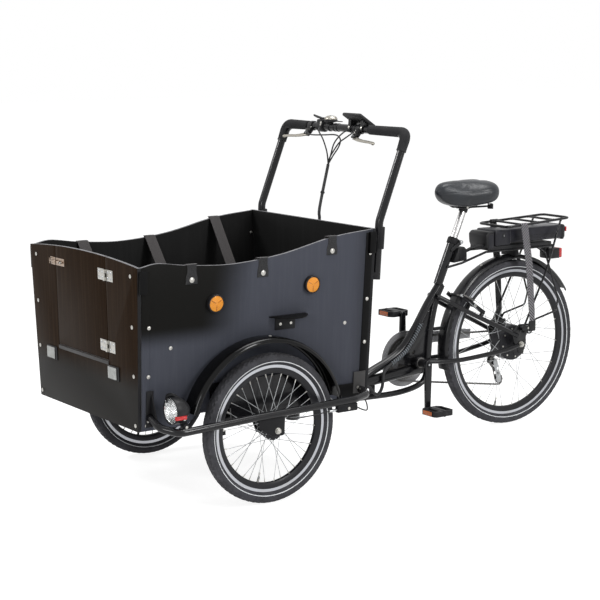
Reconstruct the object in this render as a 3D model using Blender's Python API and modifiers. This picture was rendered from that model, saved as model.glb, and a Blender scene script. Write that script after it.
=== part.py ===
"""Electric cargo tricycle with a front box: every sub-part is its own object.

Metres, +Z up. X runs across, with the rider's left side at +X. The front is at -Y.
The origin is on the ground, in the middle of the length and the width.
The front module (box, handlebar, front wheels) steers about a kingpin under the box.
"""
import math

import bmesh
import bpy
from mathutils import Matrix, Vector

# Clearances
GAP = 0.0003
RUN = 0.0005
PAD_GAP = 0.0020

# Overall sizes
WHEELBASE = 1.407
BOX_LENGTH = 0.905
BOX_WIDTH = 0.684
BOX_FORWARD = 0.0065
BOX_OVER_AXLE = 0.037
FRONT_HEIGHT = 0.526
FRONT_ARCH = 0.018
REAR_HEIGHT = 0.589
SIDE_FLARE = 0.0607
FRONT_FLARE = 0.0228
REAR_FLARE = 0.0120
PANEL = 0.012
FLOOR_RISE = 0.031
SIDE_ARCH = 0.033

# Wheels
FRONT_WHEEL_R = 0.250
REAR_WHEEL_R = 0.3265
TYRE_WIDTH = 0.047
TYRE_HEIGHT = 0.038
RIM_WIDTH = 0.025
RIM_DEPTH = 0.030
SPOKES = 36
SPOKE_R = 0.0013
WHEEL_GAP = 0.0315
FRONT_AXLE_R = 0.005
REAR_AXLE_R = 0.006

# Rear frame
TUBE_R = 0.016
BEAM_R = 0.020
LOWER_TUBE_R = 0.011
STAY_R = 0.009
HEAD_R = 0.026
KINGPIN_R = 0.012
KINGPIN_BEHIND = 0.060
STEM_GAP = 0.1455
BRACKET_DROP = 0.0265
SEAT_ANGLE = 23.6
SEAT_TUBE_TOP = (0.183, 0.460)
POST_R = 0.0136
POST_SHOWS = 0.105

# Front frame
PLATFORM_R = 0.0125
SIDE_PLATE = 0.005
LOOP_R = 0.0125
LOOP_OUT = 0.029
DROPOUT = 0.005

# Drive
CHAINRING_R = 0.0849
SPROCKET_R = 0.036
PULLEY_R = 0.020
CHAIN_R = 0.004
CHAIN_X = -0.056
CRANK = 0.170
CRANK_OUT = 0.078
CRANK_T = 0.012
PEDAL_LENGTH = 0.095

# Rack, battery and mudguards
RACK_R = 0.005
RACK_TOP = 0.800
RACK_START = -0.087
RACK_LENGTH = 0.330
RACK_FRONT_HALF = 0.088
RACK_REAR_HALF = 0.075
BATTERY_HALF = 0.055
BATTERY_LENGTH = 0.350
BATTERY_HEIGHT = 0.062
DOCK_RAIL = 0.014
GUARD_GAP = 0.0200
GUARD_T = 0.002
FENDER_R = 0.303
FENDER_WIDTH = 0.074

# Handlebar
BAR_R = 0.014
GRIP_R = 0.018
BAR_INSET = 0.01775
BAR_OVER_BOX = 0.317
BAR_BEHIND = 0.142
LEVER_RIGHT_X = -0.190
LEVER_LEFT_X = 0.100

# Door, benches, straps and step
DOOR_X0 = -0.182
DOOR_X1 = 0.165
DOOR_RISE = 0.205
DOOR_GAP = 0.0015
HINGE_R = 0.004
HINGE_OUT = 0.0050
HINGE_HEIGHT = 0.037
HINGE_RISES = (0.232, 0.463)
LEAF = 0.049
LEAF_T = 0.0015
LATCH_RISE = 0.487
LATCH_ROD_R = 0.0035
BENCH_RISE = 0.273
BENCH_DEPTH = 0.210
STRAP_WIDTH = 0.042
STRAP_T = 0.002
STRAP_DROP = 0.062
STRAP_PLACES = (-0.275, -0.005, 0.270)
STEP_RISE = 0.330
STEP_OUT = 0.072
STEP_START = 0.016
STEP_LENGTH = 0.149
BEND = 0.001
CORNER_STRIP = 0.002

# Platform, hubs and facets
PLATE_DROP = 0.006
HEAD_LENGTH = 0.135
CROSS_PLACES = (-0.100, 0.220)
RAIL_R = 0.0110
HUB_HALF = 0.034
DRUM_R = 0.046
SEGMENTS = 24

# Controls
BEND_R = 0.055
LEG_FOOT = 0.373
DISPLAY_X = (0.004, 0.178)
LEVER_REACH = 0.040
LEVER_ANGLE = 45.0
LEVER_T = 0.006
LEVER_PIN_R = 0.0022
BELL_X = -0.080
SHIFTER_X = (-0.150, -0.112)
SHIFTER_TOP = 0.026

# Seat tube, stays, brake and motor
SHELL_R = 0.022
SHELL_HALF = 0.034
SPINDLE_R = 0.010
SEAT_TUBE_R = 0.0175
SEAT_TUBE_LENGTH = 0.190
POST_INSIDE = 0.125
DROPOUT_X = 0.0695
STAY_END_X = 0.074
BRAKE_PIVOT_IN = 0.1015
BRAKE_ARM = 0.127
BRAKE_ANGLE = 145.0
BRAKE_X = 0.047
MOTOR_R = 0.070
MOTOR_HALF = 0.036
BEAM_BELOW_HEAD = 0.0959
BEAM_AT_CRANK = 0.0305

# Derailleur, pedals and chain steps
CAGE_AXLE = (-0.022, -0.088)
TENSION_FROM_CAGE = (0.022, -0.075)
CAGE_PLATES = (0.0478, 0.0630)
CAGE_T = 0.0014
PEDAL_AXLE_R = 0.005
CHAIN_STEP = 0.42
GUARD_TAIL = 0.138
TAB_Y = 0.232
TAB_SEAT = 0.00825

# Lower deck and luggage straps
LOWER_DECK = 0.700
STRAP_BAND = 0.034

# Places that follow from the sizes above
WHEEL_X = BOX_WIDTH / 2 + WHEEL_GAP + TYRE_WIDTH / 2
BAR_HALF = BOX_WIDTH / 2 + SIDE_FLARE * REAR_HEIGHT - BAR_INSET
BRAKE_PIVOT_R = REAR_WHEEL_R - BRAKE_PIVOT_IN
BOX_Z = FRONT_WHEEL_R + BOX_OVER_AXLE
LATCH_OUT = 0.012
FRONT_REACH = BOX_LENGTH / 2 + BOX_FORWARD + FRONT_FLARE * FRONT_HEIGHT + LATCH_OUT
FRONT_Y = FRONT_REACH - (FRONT_REACH + WHEELBASE + REAR_WHEEL_R) / 2
REAR_Y = FRONT_Y + WHEELBASE
BOX_Y0 = FRONT_Y - BOX_FORWARD - BOX_LENGTH / 2
BOX_Y1 = BOX_Y0 + BOX_LENGTH
FLOOR_Z = BOX_Z + FLOOR_RISE
PLATFORM_Z = FLOOR_Z - PLATFORM_R - GAP
KINGPIN_Y = FRONT_Y + KINGPIN_BEHIND
REAR_AXLE = Vector((0.0, REAR_Y, REAR_WHEEL_R))
CRANK_AXLE = Vector((0.0, REAR_Y - REAR_WHEEL_R - STEM_GAP, REAR_WHEEL_R - BRACKET_DROP))

FRONT_NODES = [
    "front_frame", "front_loop_left", "front_loop_right", "box_floor", "side_panel_left", "side_panel_right",
    "front_panel", "rear_panel", "fender_left", "fender_right", "headlight", "handlebar", "display",
    "control_cables", "bench_left", "bench_right", "bench_straps_left", "bench_straps_right",
]

PARTS = bpy.data.collections.new("cargo_tricycle")
CUTTERS = bpy.data.collections.new("cutters")
MATERIALS = {}


def clear_scene():
    """Remove whatever the file holds and link the two collections."""
    for item in list(bpy.data.objects):
        bpy.data.objects.remove(item, do_unlink=True)
    bpy.context.scene.collection.children.link(PARTS)
    bpy.context.scene.collection.children.link(CUTTERS)


def material(name, colour, roughness, metallic=0.0):
    """One Principled material for each finish."""
    made = bpy.data.materials.new(name)
    made.use_nodes = True
    shader = made.node_tree.nodes["Principled BSDF"]
    shader.inputs["Base Color"].default_value = (*colour, 1.0)
    shader.inputs["Roughness"].default_value = roughness
    shader.inputs["Metallic"].default_value = metallic
    MATERIALS[name] = made


def make_materials():
    """The finishes that the object shows."""
    material("black_frame_paint", (0.012, 0.012, 0.014), 0.25)
    material("panel_film", (0.035, 0.038, 0.048), 0.32)
    material("door_film", (0.035, 0.028, 0.024), 0.35)
    material("plywood_floor", (0.05, 0.045, 0.04), 0.55)
    material("tyre_rubber", (0.045, 0.045, 0.050), 0.8)
    material("rim_metal", (0.30, 0.31, 0.33), 0.35, 0.9)
    material("gloss_fender", (0.010, 0.010, 0.011), 0.12)
    material("bright_steel", (0.70, 0.70, 0.72), 0.25, 1.0)
    material("alloy", (0.62, 0.62, 0.64), 0.3, 1.0)
    material("black_plastic", (0.02, 0.02, 0.022), 0.45)
    material("saddle_vinyl", (0.018, 0.018, 0.020), 0.5)
    material("battery_case", (0.025, 0.026, 0.030), 0.4)
    material("grey_webbing", (0.09, 0.085, 0.085), 0.9)
    material("clear_grey_plastic", (0.35, 0.34, 0.33), 0.3)
    material("red_lens", (0.55, 0.01, 0.01), 0.2)
    material("chain_steel", (0.25, 0.24, 0.23), 0.4, 1.0)


def new_object(name, mesh):
    """An object that holds a mesh, in the parts collection."""
    item = bpy.data.objects.new(name, mesh)
    PARTS.objects.link(item)
    return item


def adopt(name):
    """Name the object that an operator has just made and apply its placing."""
    item = bpy.context.active_object
    for owner in list(item.users_collection):
        owner.objects.unlink(item)
    PARTS.objects.link(item)
    item.name = name
    item.data.name = name
    item.data.transform(item.matrix_basis)
    item.matrix_basis = Matrix.Identity(4)
    return item


def outward(item):
    """Merge the seams of a closed shape and turn its faces outwards."""
    work = bmesh.new()
    work.from_mesh(item.data)
    bmesh.ops.remove_doubles(work, verts=work.verts, dist=0.00002)
    bmesh.ops.recalc_face_normals(work, faces=work.faces)
    work.to_mesh(item.data)
    work.free()
    return item


def apply_modifiers(item):
    """Keep what the modifiers give and drop them."""
    state = bpy.context.evaluated_depsgraph_get()
    item.data = bpy.data.meshes.new_from_object(item.evaluated_get(state))
    item.modifiers.clear()
    return item


def block(name, low, high, bevel=0.0):
    """A box between two corners, with bevelled edges if asked."""
    low = Vector(low)
    high = Vector(high)
    bpy.ops.mesh.primitive_cube_add(size=1.0, location=(low + high) / 2)
    bpy.context.active_object.scale = high - low
    item = adopt(name)
    if bevel:
        rounding = item.modifiers.new("edges", "BEVEL")
        rounding.width = bevel
        rounding.segments = 1
        apply_modifiers(item)
    return item


def turn_to(direction):
    """The rotation that takes +Z to a direction."""
    return Vector(direction).to_track_quat("Z", "Y").to_matrix().to_4x4()


def rod(name, start, end, radius, sides=12, end_radius=None):
    """A round bar or cone from one point to another."""
    start = Vector(start)
    end = Vector(end)
    last = radius if end_radius is None else end_radius
    bpy.ops.mesh.primitive_cone_add(
        vertices=sides, radius1=radius, radius2=last, depth=(end - start).length
    )
    item = bpy.context.active_object
    item.matrix_basis = Matrix.Translation((start + end) / 2) @ turn_to(end - start)
    return adopt(name)


def through(points, steps):
    """Points on a smooth curve through the given ones, with a few steps for each span."""
    spots = [Vector(p) for p in points]
    spots = [2 * spots[0] - spots[1], *spots, 2 * spots[-1] - spots[-2]]
    path = []
    for i in range(1, len(spots) - 2):
        before, here, there, after = spots[i - 1:i + 3]
        for k in range(steps):
            t = k / steps
            path.append(0.5 * (
                2 * here + (there - before) * t
                + (2 * before - 5 * here + 4 * there - after) * t * t
                + (3 * here - before - 3 * there + after) * t ** 3
            ))
    path.append(spots[-2])
    return path


def bent(points, radius, steps=4):
    """The corners of a bent tube, each one rounded to a radius."""
    spots = [Vector(p) for p in points]
    path = [spots[0]]
    for before, corner, after in zip(spots, spots[1:], spots[2:]):
        into = (before - corner).normalized()
        away = (after - corner).normalized()
        half = into.angle(away) / 2
        reach = radius / math.tan(half)
        reach = min(reach, (before - corner).length * 0.49, (after - corner).length * 0.49)
        for k in range(steps + 1):
            t = k / steps
            first = corner + into * reach * (1 - t)
            second = corner + away * reach * t
            path.append(first.lerp(second, t))
    path.append(spots[-1])
    return path


def tube(name, points, radius, resolution=4, closed=False):
    """A round tube along points, with filled ends, as a mesh."""
    curve = bpy.data.curves.new(name, "CURVE")
    curve.dimensions = "3D"
    curve.bevel_depth = radius
    curve.bevel_resolution = resolution
    curve.use_fill_caps = not closed
    line = curve.splines.new("POLY")
    line.points.add(len(points) - 1)
    for spot, place in zip(line.points, points):
        spot.co = (*place, 1.0)
    line.use_cyclic_u = closed
    return from_curve(name, curve)


def from_curve(name, curve):
    """Make a curve a closed mesh."""
    drawn = bpy.data.objects.new(name + "_curve", curve)
    PARTS.objects.link(drawn)
    state = bpy.context.evaluated_depsgraph_get()
    mesh = bpy.data.meshes.new_from_object(drawn.evaluated_get(state))
    bpy.data.objects.remove(drawn, do_unlink=True)
    item = new_object(name, mesh)
    item.data.name = name
    item.data.materials.clear()
    return outward(item)


def plate(name, outline, thickness, place, holes=()):
    """A flat outline with a thickness. The matrix takes the drawing's X, Y and Z to the object."""
    curve = bpy.data.curves.new(name, "CURVE")
    curve.dimensions = "2D"
    curve.fill_mode = "BOTH"
    curve.extrude = thickness / 2
    for loop in (outline, *holes):
        line = curve.splines.new("POLY")
        line.points.add(len(loop) - 1)
        for spot, corner in zip(line.points, loop):
            spot.co = (corner[0], corner[1], 0.0, 1.0)
        line.use_cyclic_u = True
    item = from_curve(name, curve)
    item.data.transform(place)
    return outward(item)


def across(x, thickness, name, outline, holes=()):
    """A plate that stands across X: its outline is in Y and Z, from x to x + thickness."""
    place = Matrix.Translation((x + thickness / 2, 0, 0)) @ Matrix(
        ((0, 0, 1, 0), (1, 0, 0, 0), (0, 1, 0, 0), (0, 0, 0, 1))
    )
    return plate(name, outline, thickness, place, holes)


def along(y, thickness, name, outline, holes=()):
    """A plate that stands across Y: its outline is in X and Z, from y to y + thickness."""
    place = Matrix.Translation((0, y + thickness / 2, 0)) @ Matrix(
        ((1, 0, 0, 0), (0, 0, -1, 0), (0, 1, 0, 0), (0, 0, 0, 1))
    )
    return plate(name, outline, thickness, place, holes)


def flat(z, thickness, name, outline, holes=()):
    """A level plate: its outline is in X and Y, from z to z + thickness."""
    return plate(name, outline, thickness, Matrix.Translation((0, 0, z + thickness / 2)), holes)


def arc(centre, radius, first, last, steps):
    """Points on an arc in a plane, between two angles in degrees."""
    spots = []
    for k in range(steps + 1):
        angle = math.radians(first + (last - first) * k / steps)
        spots.append((centre[0] + radius * math.cos(angle), centre[1] + radius * math.sin(angle)))
    return spots


def turned(name, profile, centre, steps, twist=0.0):
    """A closed profile of (x, radius) points turned about the X axis at a centre."""
    mesh = bpy.data.meshes.new(name)
    spots = [(x, 0.0, r) for x, r in profile]
    edges = [(i, (i + 1) % len(spots)) for i in range(len(spots))]
    mesh.from_pydata(spots, edges, [])
    item = new_object(name, mesh)
    screw = item.modifiers.new("turn", "SCREW")
    screw.axis = "X"
    screw.steps = steps
    screw.render_steps = steps
    screw.use_merge_vertices = True
    screw.merge_threshold = 0.00005
    apply_modifiers(item)
    item.data.transform(Matrix.Translation(centre) @ Matrix.Rotation(twist, 4, "X"))
    return outward(item)


def boolean(item, other, operation):
    """Join or cut with another mesh, which is used up."""
    step = item.modifiers.new("join", "BOOLEAN")
    step.operation = operation
    step.solver = "EXACT"
    step.object = other
    apply_modifiers(item)
    bpy.data.objects.remove(other, do_unlink=True)
    return outward(item)


def weld(name, items):
    """Join overlapping pieces into one body."""
    whole = items[0]
    for other in items[1:]:
        boolean(whole, other, "UNION")
    whole.name = name
    whole.data.name = name
    return whole


def cut(item, cutters):
    """Take each cutter's shape out of a piece."""
    for cutter in cutters:
        boolean(item, cutter, "DIFFERENCE")
    return item


def mirrored(item, name):
    """A copy on the other side of the middle plane."""
    copy = new_object(name, item.data.copy())
    copy.data.name = name
    copy.data.transform(Matrix.Scale(-1, 4, (1, 0, 0)))
    return outward(copy)


def finish(item, finish_name, smooth=35.0):
    """Give a piece its finish and its shading."""
    item.data.materials.clear()
    item.data.materials.append(MATERIALS[finish_name])
    item.data.shade_smooth()
    item.data.set_sharp_from_angle(angle=math.radians(smooth))
    return item


def pivot(name, place, nodes, parent=None):
    """An empty on a joint's axis that carries the pieces of one moving body."""
    empty = bpy.data.objects.new(name, None)
    empty.empty_display_size = 0.04
    PARTS.objects.link(empty)
    empty.location = place
    bpy.context.view_layer.update()
    if parent is not None:
        empty.parent = parent
        empty.matrix_parent_inverse = parent.matrix_world.inverted()
    bpy.context.view_layer.update()
    for node in nodes:
        item = bpy.data.objects[node]
        item.parent = empty
        item.matrix_parent_inverse = empty.matrix_world.inverted()
    return empty


def side_half(z):
    """Half the box's outside width at a height."""
    return BOX_WIDTH / 2 + SIDE_FLARE * (z - BOX_Z)


def front_face(z):
    """The box's front face at a height."""
    return BOX_Y0 - FRONT_FLARE * (z - BOX_Z)


def rear_face(z):
    """The box's rear face at a height."""
    return BOX_Y1 + REAR_FLARE * (z - BOX_Z)


def side_top():
    """The wavy upper edge of a side, from front to rear: share of the length and height."""
    rise = REAR_HEIGHT - FRONT_HEIGHT
    shape = (
        (0.0, FRONT_HEIGHT), (0.07, FRONT_HEIGHT + 0.009), (0.19, FRONT_HEIGHT - 0.005),
        (0.37, FRONT_HEIGHT - 0.014), (0.58, FRONT_HEIGHT + 0.06 * rise),
        (0.80, FRONT_HEIGHT + 0.72 * rise), (1.0, REAR_HEIGHT),
    )
    first = front_face(BOX_Z + FRONT_HEIGHT) + PANEL + GAP
    last = rear_face(BOX_Z + REAR_HEIGHT)
    return [(first + share * (last - first), height) for share, height in shape]


def side_edge():
    """Points along the side's upper edge in Y and Z."""
    spots = [(y, BOX_Z + height, 0.0) for y, height in side_top()]
    return [(p.x, p.y) for p in through(spots, 2)]


def side_edge_z(y):
    """Height of the side's upper edge at a place along the box."""
    edge = side_edge()
    for (y0, z0), (y1, z1) in zip(edge, edge[1:]):
        if y <= y1:
            return z0 + (z1 - z0) * (y - y0) / (y1 - y0)
    return edge[-1][1]


def lean_out(item):
    """Lean a left part outwards with the side panel, about the panel's lower edge."""
    slant = Matrix.Identity(4)
    slant[0][2] = SIDE_FLARE
    slant[0][3] = -SIDE_FLARE * BOX_Z
    item.data.transform(slant)
    return item


def lean_front(item):
    """Lean a part forwards with the front panel."""
    slant = Matrix.Identity(4)
    slant[1][2] = -FRONT_FLARE
    slant[1][3] = FRONT_FLARE * BOX_Z
    item.data.transform(slant)
    return item


def lean_rear(item):
    """Lean a part backwards with the rear panel."""
    slant = Matrix.Identity(4)
    slant[1][2] = REAR_FLARE
    slant[1][3] = -REAR_FLARE * BOX_Z
    item.data.transform(slant)
    return item


def side_panel(name, side):
    """A wavy-topped plywood side with its corner strips, pole sockets and mudguard step."""
    rear = PANEL + GAP
    ends = ((front_face, rear), (rear_face, -rear))
    front_foot = front_face(BOX_Z) + rear
    rear_foot = rear_face(BOX_Z) - rear
    low = BOX_Z + SIDE_ARCH
    edge = [(min(y, rear_face(z) - rear), z) for y, z in side_edge()]
    outline = [
        (front_foot, BOX_Z), (FRONT_Y - 0.28, BOX_Z), (FRONT_Y - 0.24, low),
        (FRONT_Y + 0.27, low), (FRONT_Y + 0.31, BOX_Z), (rear_foot, BOX_Z), *reversed(edge),
    ]
    face = BOX_WIDTH / 2
    sheet = across(face - PANEL, PANEL, name, outline)
    pieces = [sheet]
    strip = 0.028
    for side_face, offset in ends:
        sign = 1 if offset > 0 else -1
        foot = side_face(BOX_Z + 0.006) + offset + sign * 0.0006
        head = side_face(BOX_Z + FRONT_HEIGHT - 0.012) + offset + sign * 0.0006
        run = [
            (foot, BOX_Z + 0.006), (foot + sign * strip, BOX_Z + 0.006),
            (head + sign * strip, BOX_Z + FRONT_HEIGHT - 0.012), (head, BOX_Z + FRONT_HEIGHT - 0.012),
        ]
        pieces.append(across(face - BEND, BEND + CORNER_STRIP, "strip", run))
        top = BOX_Z + (FRONT_HEIGHT - 0.010 if offset > 0 else REAR_HEIGHT - 0.010)
        near = side_face(top) + offset + sign * 0.004
        low_y, high_y = sorted((near, near + sign * 0.026))
        pieces.append(block("socket", (face - BEND, low_y, top - 0.073), (face + 0.012, high_y, top)))
    step_z = BOX_Z + STEP_RISE
    start = FRONT_Y + STEP_START
    lens = [(face - BEND, start)]
    for k in range(9):
        share = k / 8
        bulge = math.sin(math.pi * share) ** 0.7
        lens.append((face + STEP_OUT * bulge, start + STEP_LENGTH * share))
    lens.append((face - BEND, start + STEP_LENGTH))
    pieces.append(flat(step_z, 0.004, "step", lens))
    middle = start + STEP_LENGTH / 2
    pieces.append(block(
        "flange", (face - BEND, middle - 0.05, step_z - 0.045), (face + 0.003, middle + 0.03,
            step_z + 0.002)
    ))
    panel = weld(name, pieces)
    return sided(lean_out(panel), name, side, "panel_film")


def arch_z(x):
    """Height of the front's arched upper edge."""
    half = side_half(BOX_Z + FRONT_HEIGHT)
    return BOX_Z + FRONT_HEIGHT + FRONT_ARCH * (1 - (x / half) ** 2)


def arch(first, last, steps):
    """Points along the front's upper edge."""
    spots = [first + (last - first) * k / steps for k in range(steps + 1)]
    return [(x, arch_z(x)) for x in spots]


def knuckles(x, thirds):
    """Hinge barrel lengths at the given thirds of each hinge, with their links to one side."""
    pieces = []
    y = BOX_Y0 - HINGE_OUT
    third = HINGE_HEIGHT / 3
    for rise in HINGE_RISES:
        for index in thirds:
            low = BOX_Z + rise + index * third + GAP
            high = low + third - 2 * GAP
            pieces.append(rod("barrel", (DOOR_X1, y, low), (DOOR_X1, y, high), HINGE_R, 10))
            first, last = sorted((DOOR_X1, DOOR_X1 + x))
            pieces.append(block(
                "link", (first, y + 0.001, low), (last, BOX_Y0 - LEAF_T + 0.0006, high)
            ))
    return pieces


def front_panel():
    """The front with its opening for the door, hinge leaves, sill strip and two reflectors."""
    foot = side_half(BOX_Z)
    head = side_half(BOX_Z + FRONT_HEIGHT)
    sill = BOX_Z + DOOR_RISE - DOOR_GAP
    left = DOOR_X1 + DOOR_GAP
    right = DOOR_X0 - DOOR_GAP
    outline = [
        (-foot, BOX_Z), (foot, BOX_Z), *arch(head, left, 4), (left, sill), (right, sill),
        *arch(right, -head, 4),
    ]
    pieces = [along(BOX_Y0, PANEL, "front_panel", outline)]
    pieces.append(block(
        "sill", (right, BOX_Y0 - 0.002, sill - 0.014), (left, BOX_Y0 + BEND, sill - 0.002)
    ))
    for x in (-0.231, 0.202):
        pieces.append(block(
            "reflector", (x - 0.034, BOX_Y0 - 0.008, BOX_Z + 0.145), (x + 0.034, BOX_Y0 + BEND,
                BOX_Z + 0.191)
        ))
    for rise in HINGE_RISES:
        pieces.append(block(
            "leaf", (DOOR_X1 + HINGE_R + RUN, BOX_Y0 - LEAF_T, BOX_Z + rise),
            (DOOR_X1 + LEAF, BOX_Y0 + BEND, BOX_Z + rise + HINGE_HEIGHT),
        ))
    pieces += knuckles(HINGE_R + 0.003, (0, 2))
    pieces.append(block(
        "striker", (DOOR_X0 - 0.036, BOX_Y0 - LEAF_T, BOX_Z + LATCH_RISE - 0.013),
        (right - 0.001, BOX_Y0 + BEND, BOX_Z + LATCH_RISE + 0.013),
    ))
    return finish(lean_front(weld("front_panel", pieces)), "door_film")


def door():
    """The middle of the front, hung at the rider's left edge, with its leaves and bolt housing."""
    sill = BOX_Z + DOOR_RISE
    outline = [(DOOR_X0, sill), (DOOR_X1 - DOOR_GAP, sill), *arch(DOOR_X1 - DOOR_GAP, DOOR_X0, 6)]
    pieces = [along(BOX_Y0, PANEL, "door", outline)]
    for rise in HINGE_RISES:
        pieces.append(block(
            "leaf", (DOOR_X1 - LEAF, BOX_Y0 - LEAF_T, BOX_Z + rise),
            (DOOR_X1 - HINGE_R - RUN, BOX_Y0 + BEND, BOX_Z + rise + HINGE_HEIGHT),
        ))
    pieces += knuckles(-HINGE_R - 0.003, (1,))
    latch_z = BOX_Z + LATCH_RISE
    housing = block(
        "housing", (DOOR_X0 + 0.002, BOX_Y0 - LATCH_OUT + 0.001, latch_z - 0.011),
        (DOOR_X0 + 0.044, BOX_Y0 + BEND, latch_z + 0.011),
    )
    bore = rod(
        "bore", (DOOR_X0 - 0.01, latch_y(), latch_z), (DOOR_X0 + 0.06, latch_y(), latch_z),
        LATCH_ROD_R + RUN, 10,
    )
    pieces.append(cut(housing, [bore]))
    return finish(lean_front(weld("door", pieces)), "door_film")


def latch_y():
    """Where the door bolt's axis stands in front of the panel."""
    return BOX_Y0 - LATCH_OUT / 2


def door_latch():
    """The sliding bolt with its knob, in front of an open striker plate."""
    z = BOX_Z + LATCH_RISE
    bolt = rod("bolt", (DOOR_X0 - 0.032, latch_y(), z), (DOOR_X0 + 0.056, latch_y(), z), LATCH_ROD_R, 10)
    knob = rod(
        "knob", (DOOR_X0 + 0.051, latch_y() + 0.001, z), (DOOR_X0 + 0.051, BOX_Y0 - LATCH_OUT,
            z), 0.004, 8
    )
    return finish(lean_front(weld("door_latch", [bolt, knob])), "bright_steel")


def rear_panel():
    """The straight-topped rear wall of the box."""
    foot = side_half(BOX_Z)
    head = side_half(BOX_Z + REAR_HEIGHT)
    top = BOX_Z + REAR_HEIGHT
    outline = [(-foot, BOX_Z), (foot, BOX_Z), (head, top), (-head, top)]
    sheet = along(BOX_Y1 - PANEL, PANEL, "rear_panel", outline)
    return finish(lean_rear(sheet), "panel_film")


def box_floor():
    """The plywood floor, which lies on the platform tubes."""
    half = side_half(FLOOR_Z) - PANEL - GAP
    front = front_face(FLOOR_Z) + PANEL + GAP
    back = rear_face(FLOOR_Z) - PANEL - GAP
    return finish(block("box_floor", (-half, front, FLOOR_Z), (half, back, FLOOR_Z + PANEL)),
        "plywood_floor")


def bench_edge():
    """Half the distance between the two benches."""
    return side_half(BOX_Z + BENCH_RISE) - PANEL - BENCH_DEPTH


def bench(name, side):
    """A side bench with a cleat along the wall and a lip along its free edge."""
    top = BOX_Z + BENCH_RISE
    wall = BOX_WIDTH / 2 - PANEL - GAP
    drop = SIDE_FLARE * BENCH_RISE
    front = BOX_Y0 + 0.045
    back = BOX_Y1 - 0.030
    edge = bench_edge() - drop
    board = block(name, (edge, front, top - PANEL), (wall, back, top))
    cleat = block("cleat", (wall - 0.025, front + 0.01, top - PANEL - 0.028),
        (wall, back - 0.01, top - 0.001))
    lip = block("lip", (edge, front, top - 0.035), (edge + PANEL, back, top - 0.001))
    seat = weld(name, [board, cleat, lip])
    lean_out(seat)
    return sided(seat, name, side, "plywood_floor")


def sided(item, name, side, finish_name):
    """Keep a piece on the rider's left, or flip it to the right."""
    if side < 0:
        flipped = mirrored(item, name + "_flip")
        bpy.data.objects.remove(item, do_unlink=True)
        flipped.name = name
        item = flipped
    return finish(item, finish_name)


def bench_straps(name, side):
    """Three webbing straps over the side's edge that hold the bench's free edge, with a runner."""
    rest = BOX_Z + BENCH_RISE + GAP
    edge = bench_edge()
    pieces = []
    for place in STRAP_PLACES:
        y = FRONT_Y + place
        top = max(side_edge_z(y - STRAP_WIDTH / 2), side_edge_z(y + STRAP_WIDTH / 2)) + GAP
        foot = top - STRAP_DROP
        out = side_half(top) + GAP
        outline = [
            (side_half(foot) + GAP, foot), (out, top), (out - PANEL - 2 * GAP, top),
            (edge + 0.020, rest), (edge + 0.002, rest), (edge + 0.002, rest + STRAP_T),
            (edge + 0.020, rest + STRAP_T), (out - PANEL - 2 * GAP - STRAP_T * 0.4, top + STRAP_T),
            (out + STRAP_T, top + STRAP_T), (side_half(foot) + GAP + STRAP_T, foot),
        ]
        pieces.append(along(y - STRAP_WIDTH / 2, STRAP_WIDTH, "strap", outline))
    pieces.append(block(
        "runner",
        (edge + 0.001, FRONT_Y + STRAP_PLACES[0] - STRAP_WIDTH / 2 - 0.01, rest + 0.0004),
        (edge + 0.013, FRONT_Y + STRAP_PLACES[-1] + STRAP_WIDTH / 2 + 0.01, rest + STRAP_T + 0.001),
    ))
    return sided(weld(name, pieces), name, side, "grey_webbing")


def build_box():
    """All of the box."""
    side_panel("side_panel_left", 1)
    side_panel("side_panel_right", -1)
    front_panel()
    door()
    door_latch()
    rear_panel()
    box_floor()
    for side, word in ((1, "left"), (-1, "right")):
        bench("bench_" + word, side)
        bench_straps("bench_straps_" + word, side)


def head_top():
    """The upper face of the head tube, under the pivot plate."""
    return PLATFORM_Z - PLATFORM_R - PLATE_DROP + 0.002 - GAP


def side_plate_x():
    """Inner face of the plates that stand outside the box beside each wheel."""
    return side_half(FRONT_WHEEL_R + 0.165) + 0.0015


def front_frame():
    """The steering platform: tubes under the box, side plates for the axles, and the kingpin."""
    z = PLATFORM_Z
    half = side_half(BOX_Z) - PANEL - 0.02
    front = BOX_Y0 + 0.045
    back = BOX_Y1 - 0.045
    plate_x = side_plate_x()
    pieces = [rod("rail", (s * 0.16, front, z), (s * 0.16, back, z), RAIL_R, 8) for s in (1, -1)]
    for y in (front, back):
        pieces.append(rod("cross", (-half, y, z), (half, y, z), PLATFORM_R, 8))
    reach = plate_x + SIDE_PLATE / 2
    for place in CROSS_PLACES:
        y = FRONT_Y + place
        pieces.append(rod("cross", (-reach, y, z), (reach, y, z), PLATFORM_R, 8))
    under = z - PLATFORM_R - PLATE_DROP + 0.002
    pieces.append(block(
        "pivot_plate", (-0.05, FRONT_Y + CROSS_PLACES[0] - 0.015, under),
        (0.05, FRONT_Y + CROSS_PLACES[1] + 0.015, under + PLATE_DROP),
    ))
    foot = head_top() - HEAD_LENGTH - GAP
    pieces.append(rod("kingpin", (0, KINGPIN_Y, foot - 0.012), (0, KINGPIN_Y, under + 0.003), KINGPIN_R,
        16))
    pieces.append(rod("nut", (0, KINGPIN_Y, foot - 0.014), (0, KINGPIN_Y, foot - GAP), HEAD_R - 0.004, 6))
    for s in (1, -1):
        pieces.append(inner_plate(s, plate_x))
    return finish(weld("front_frame", pieces), "black_frame_paint")


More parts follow.
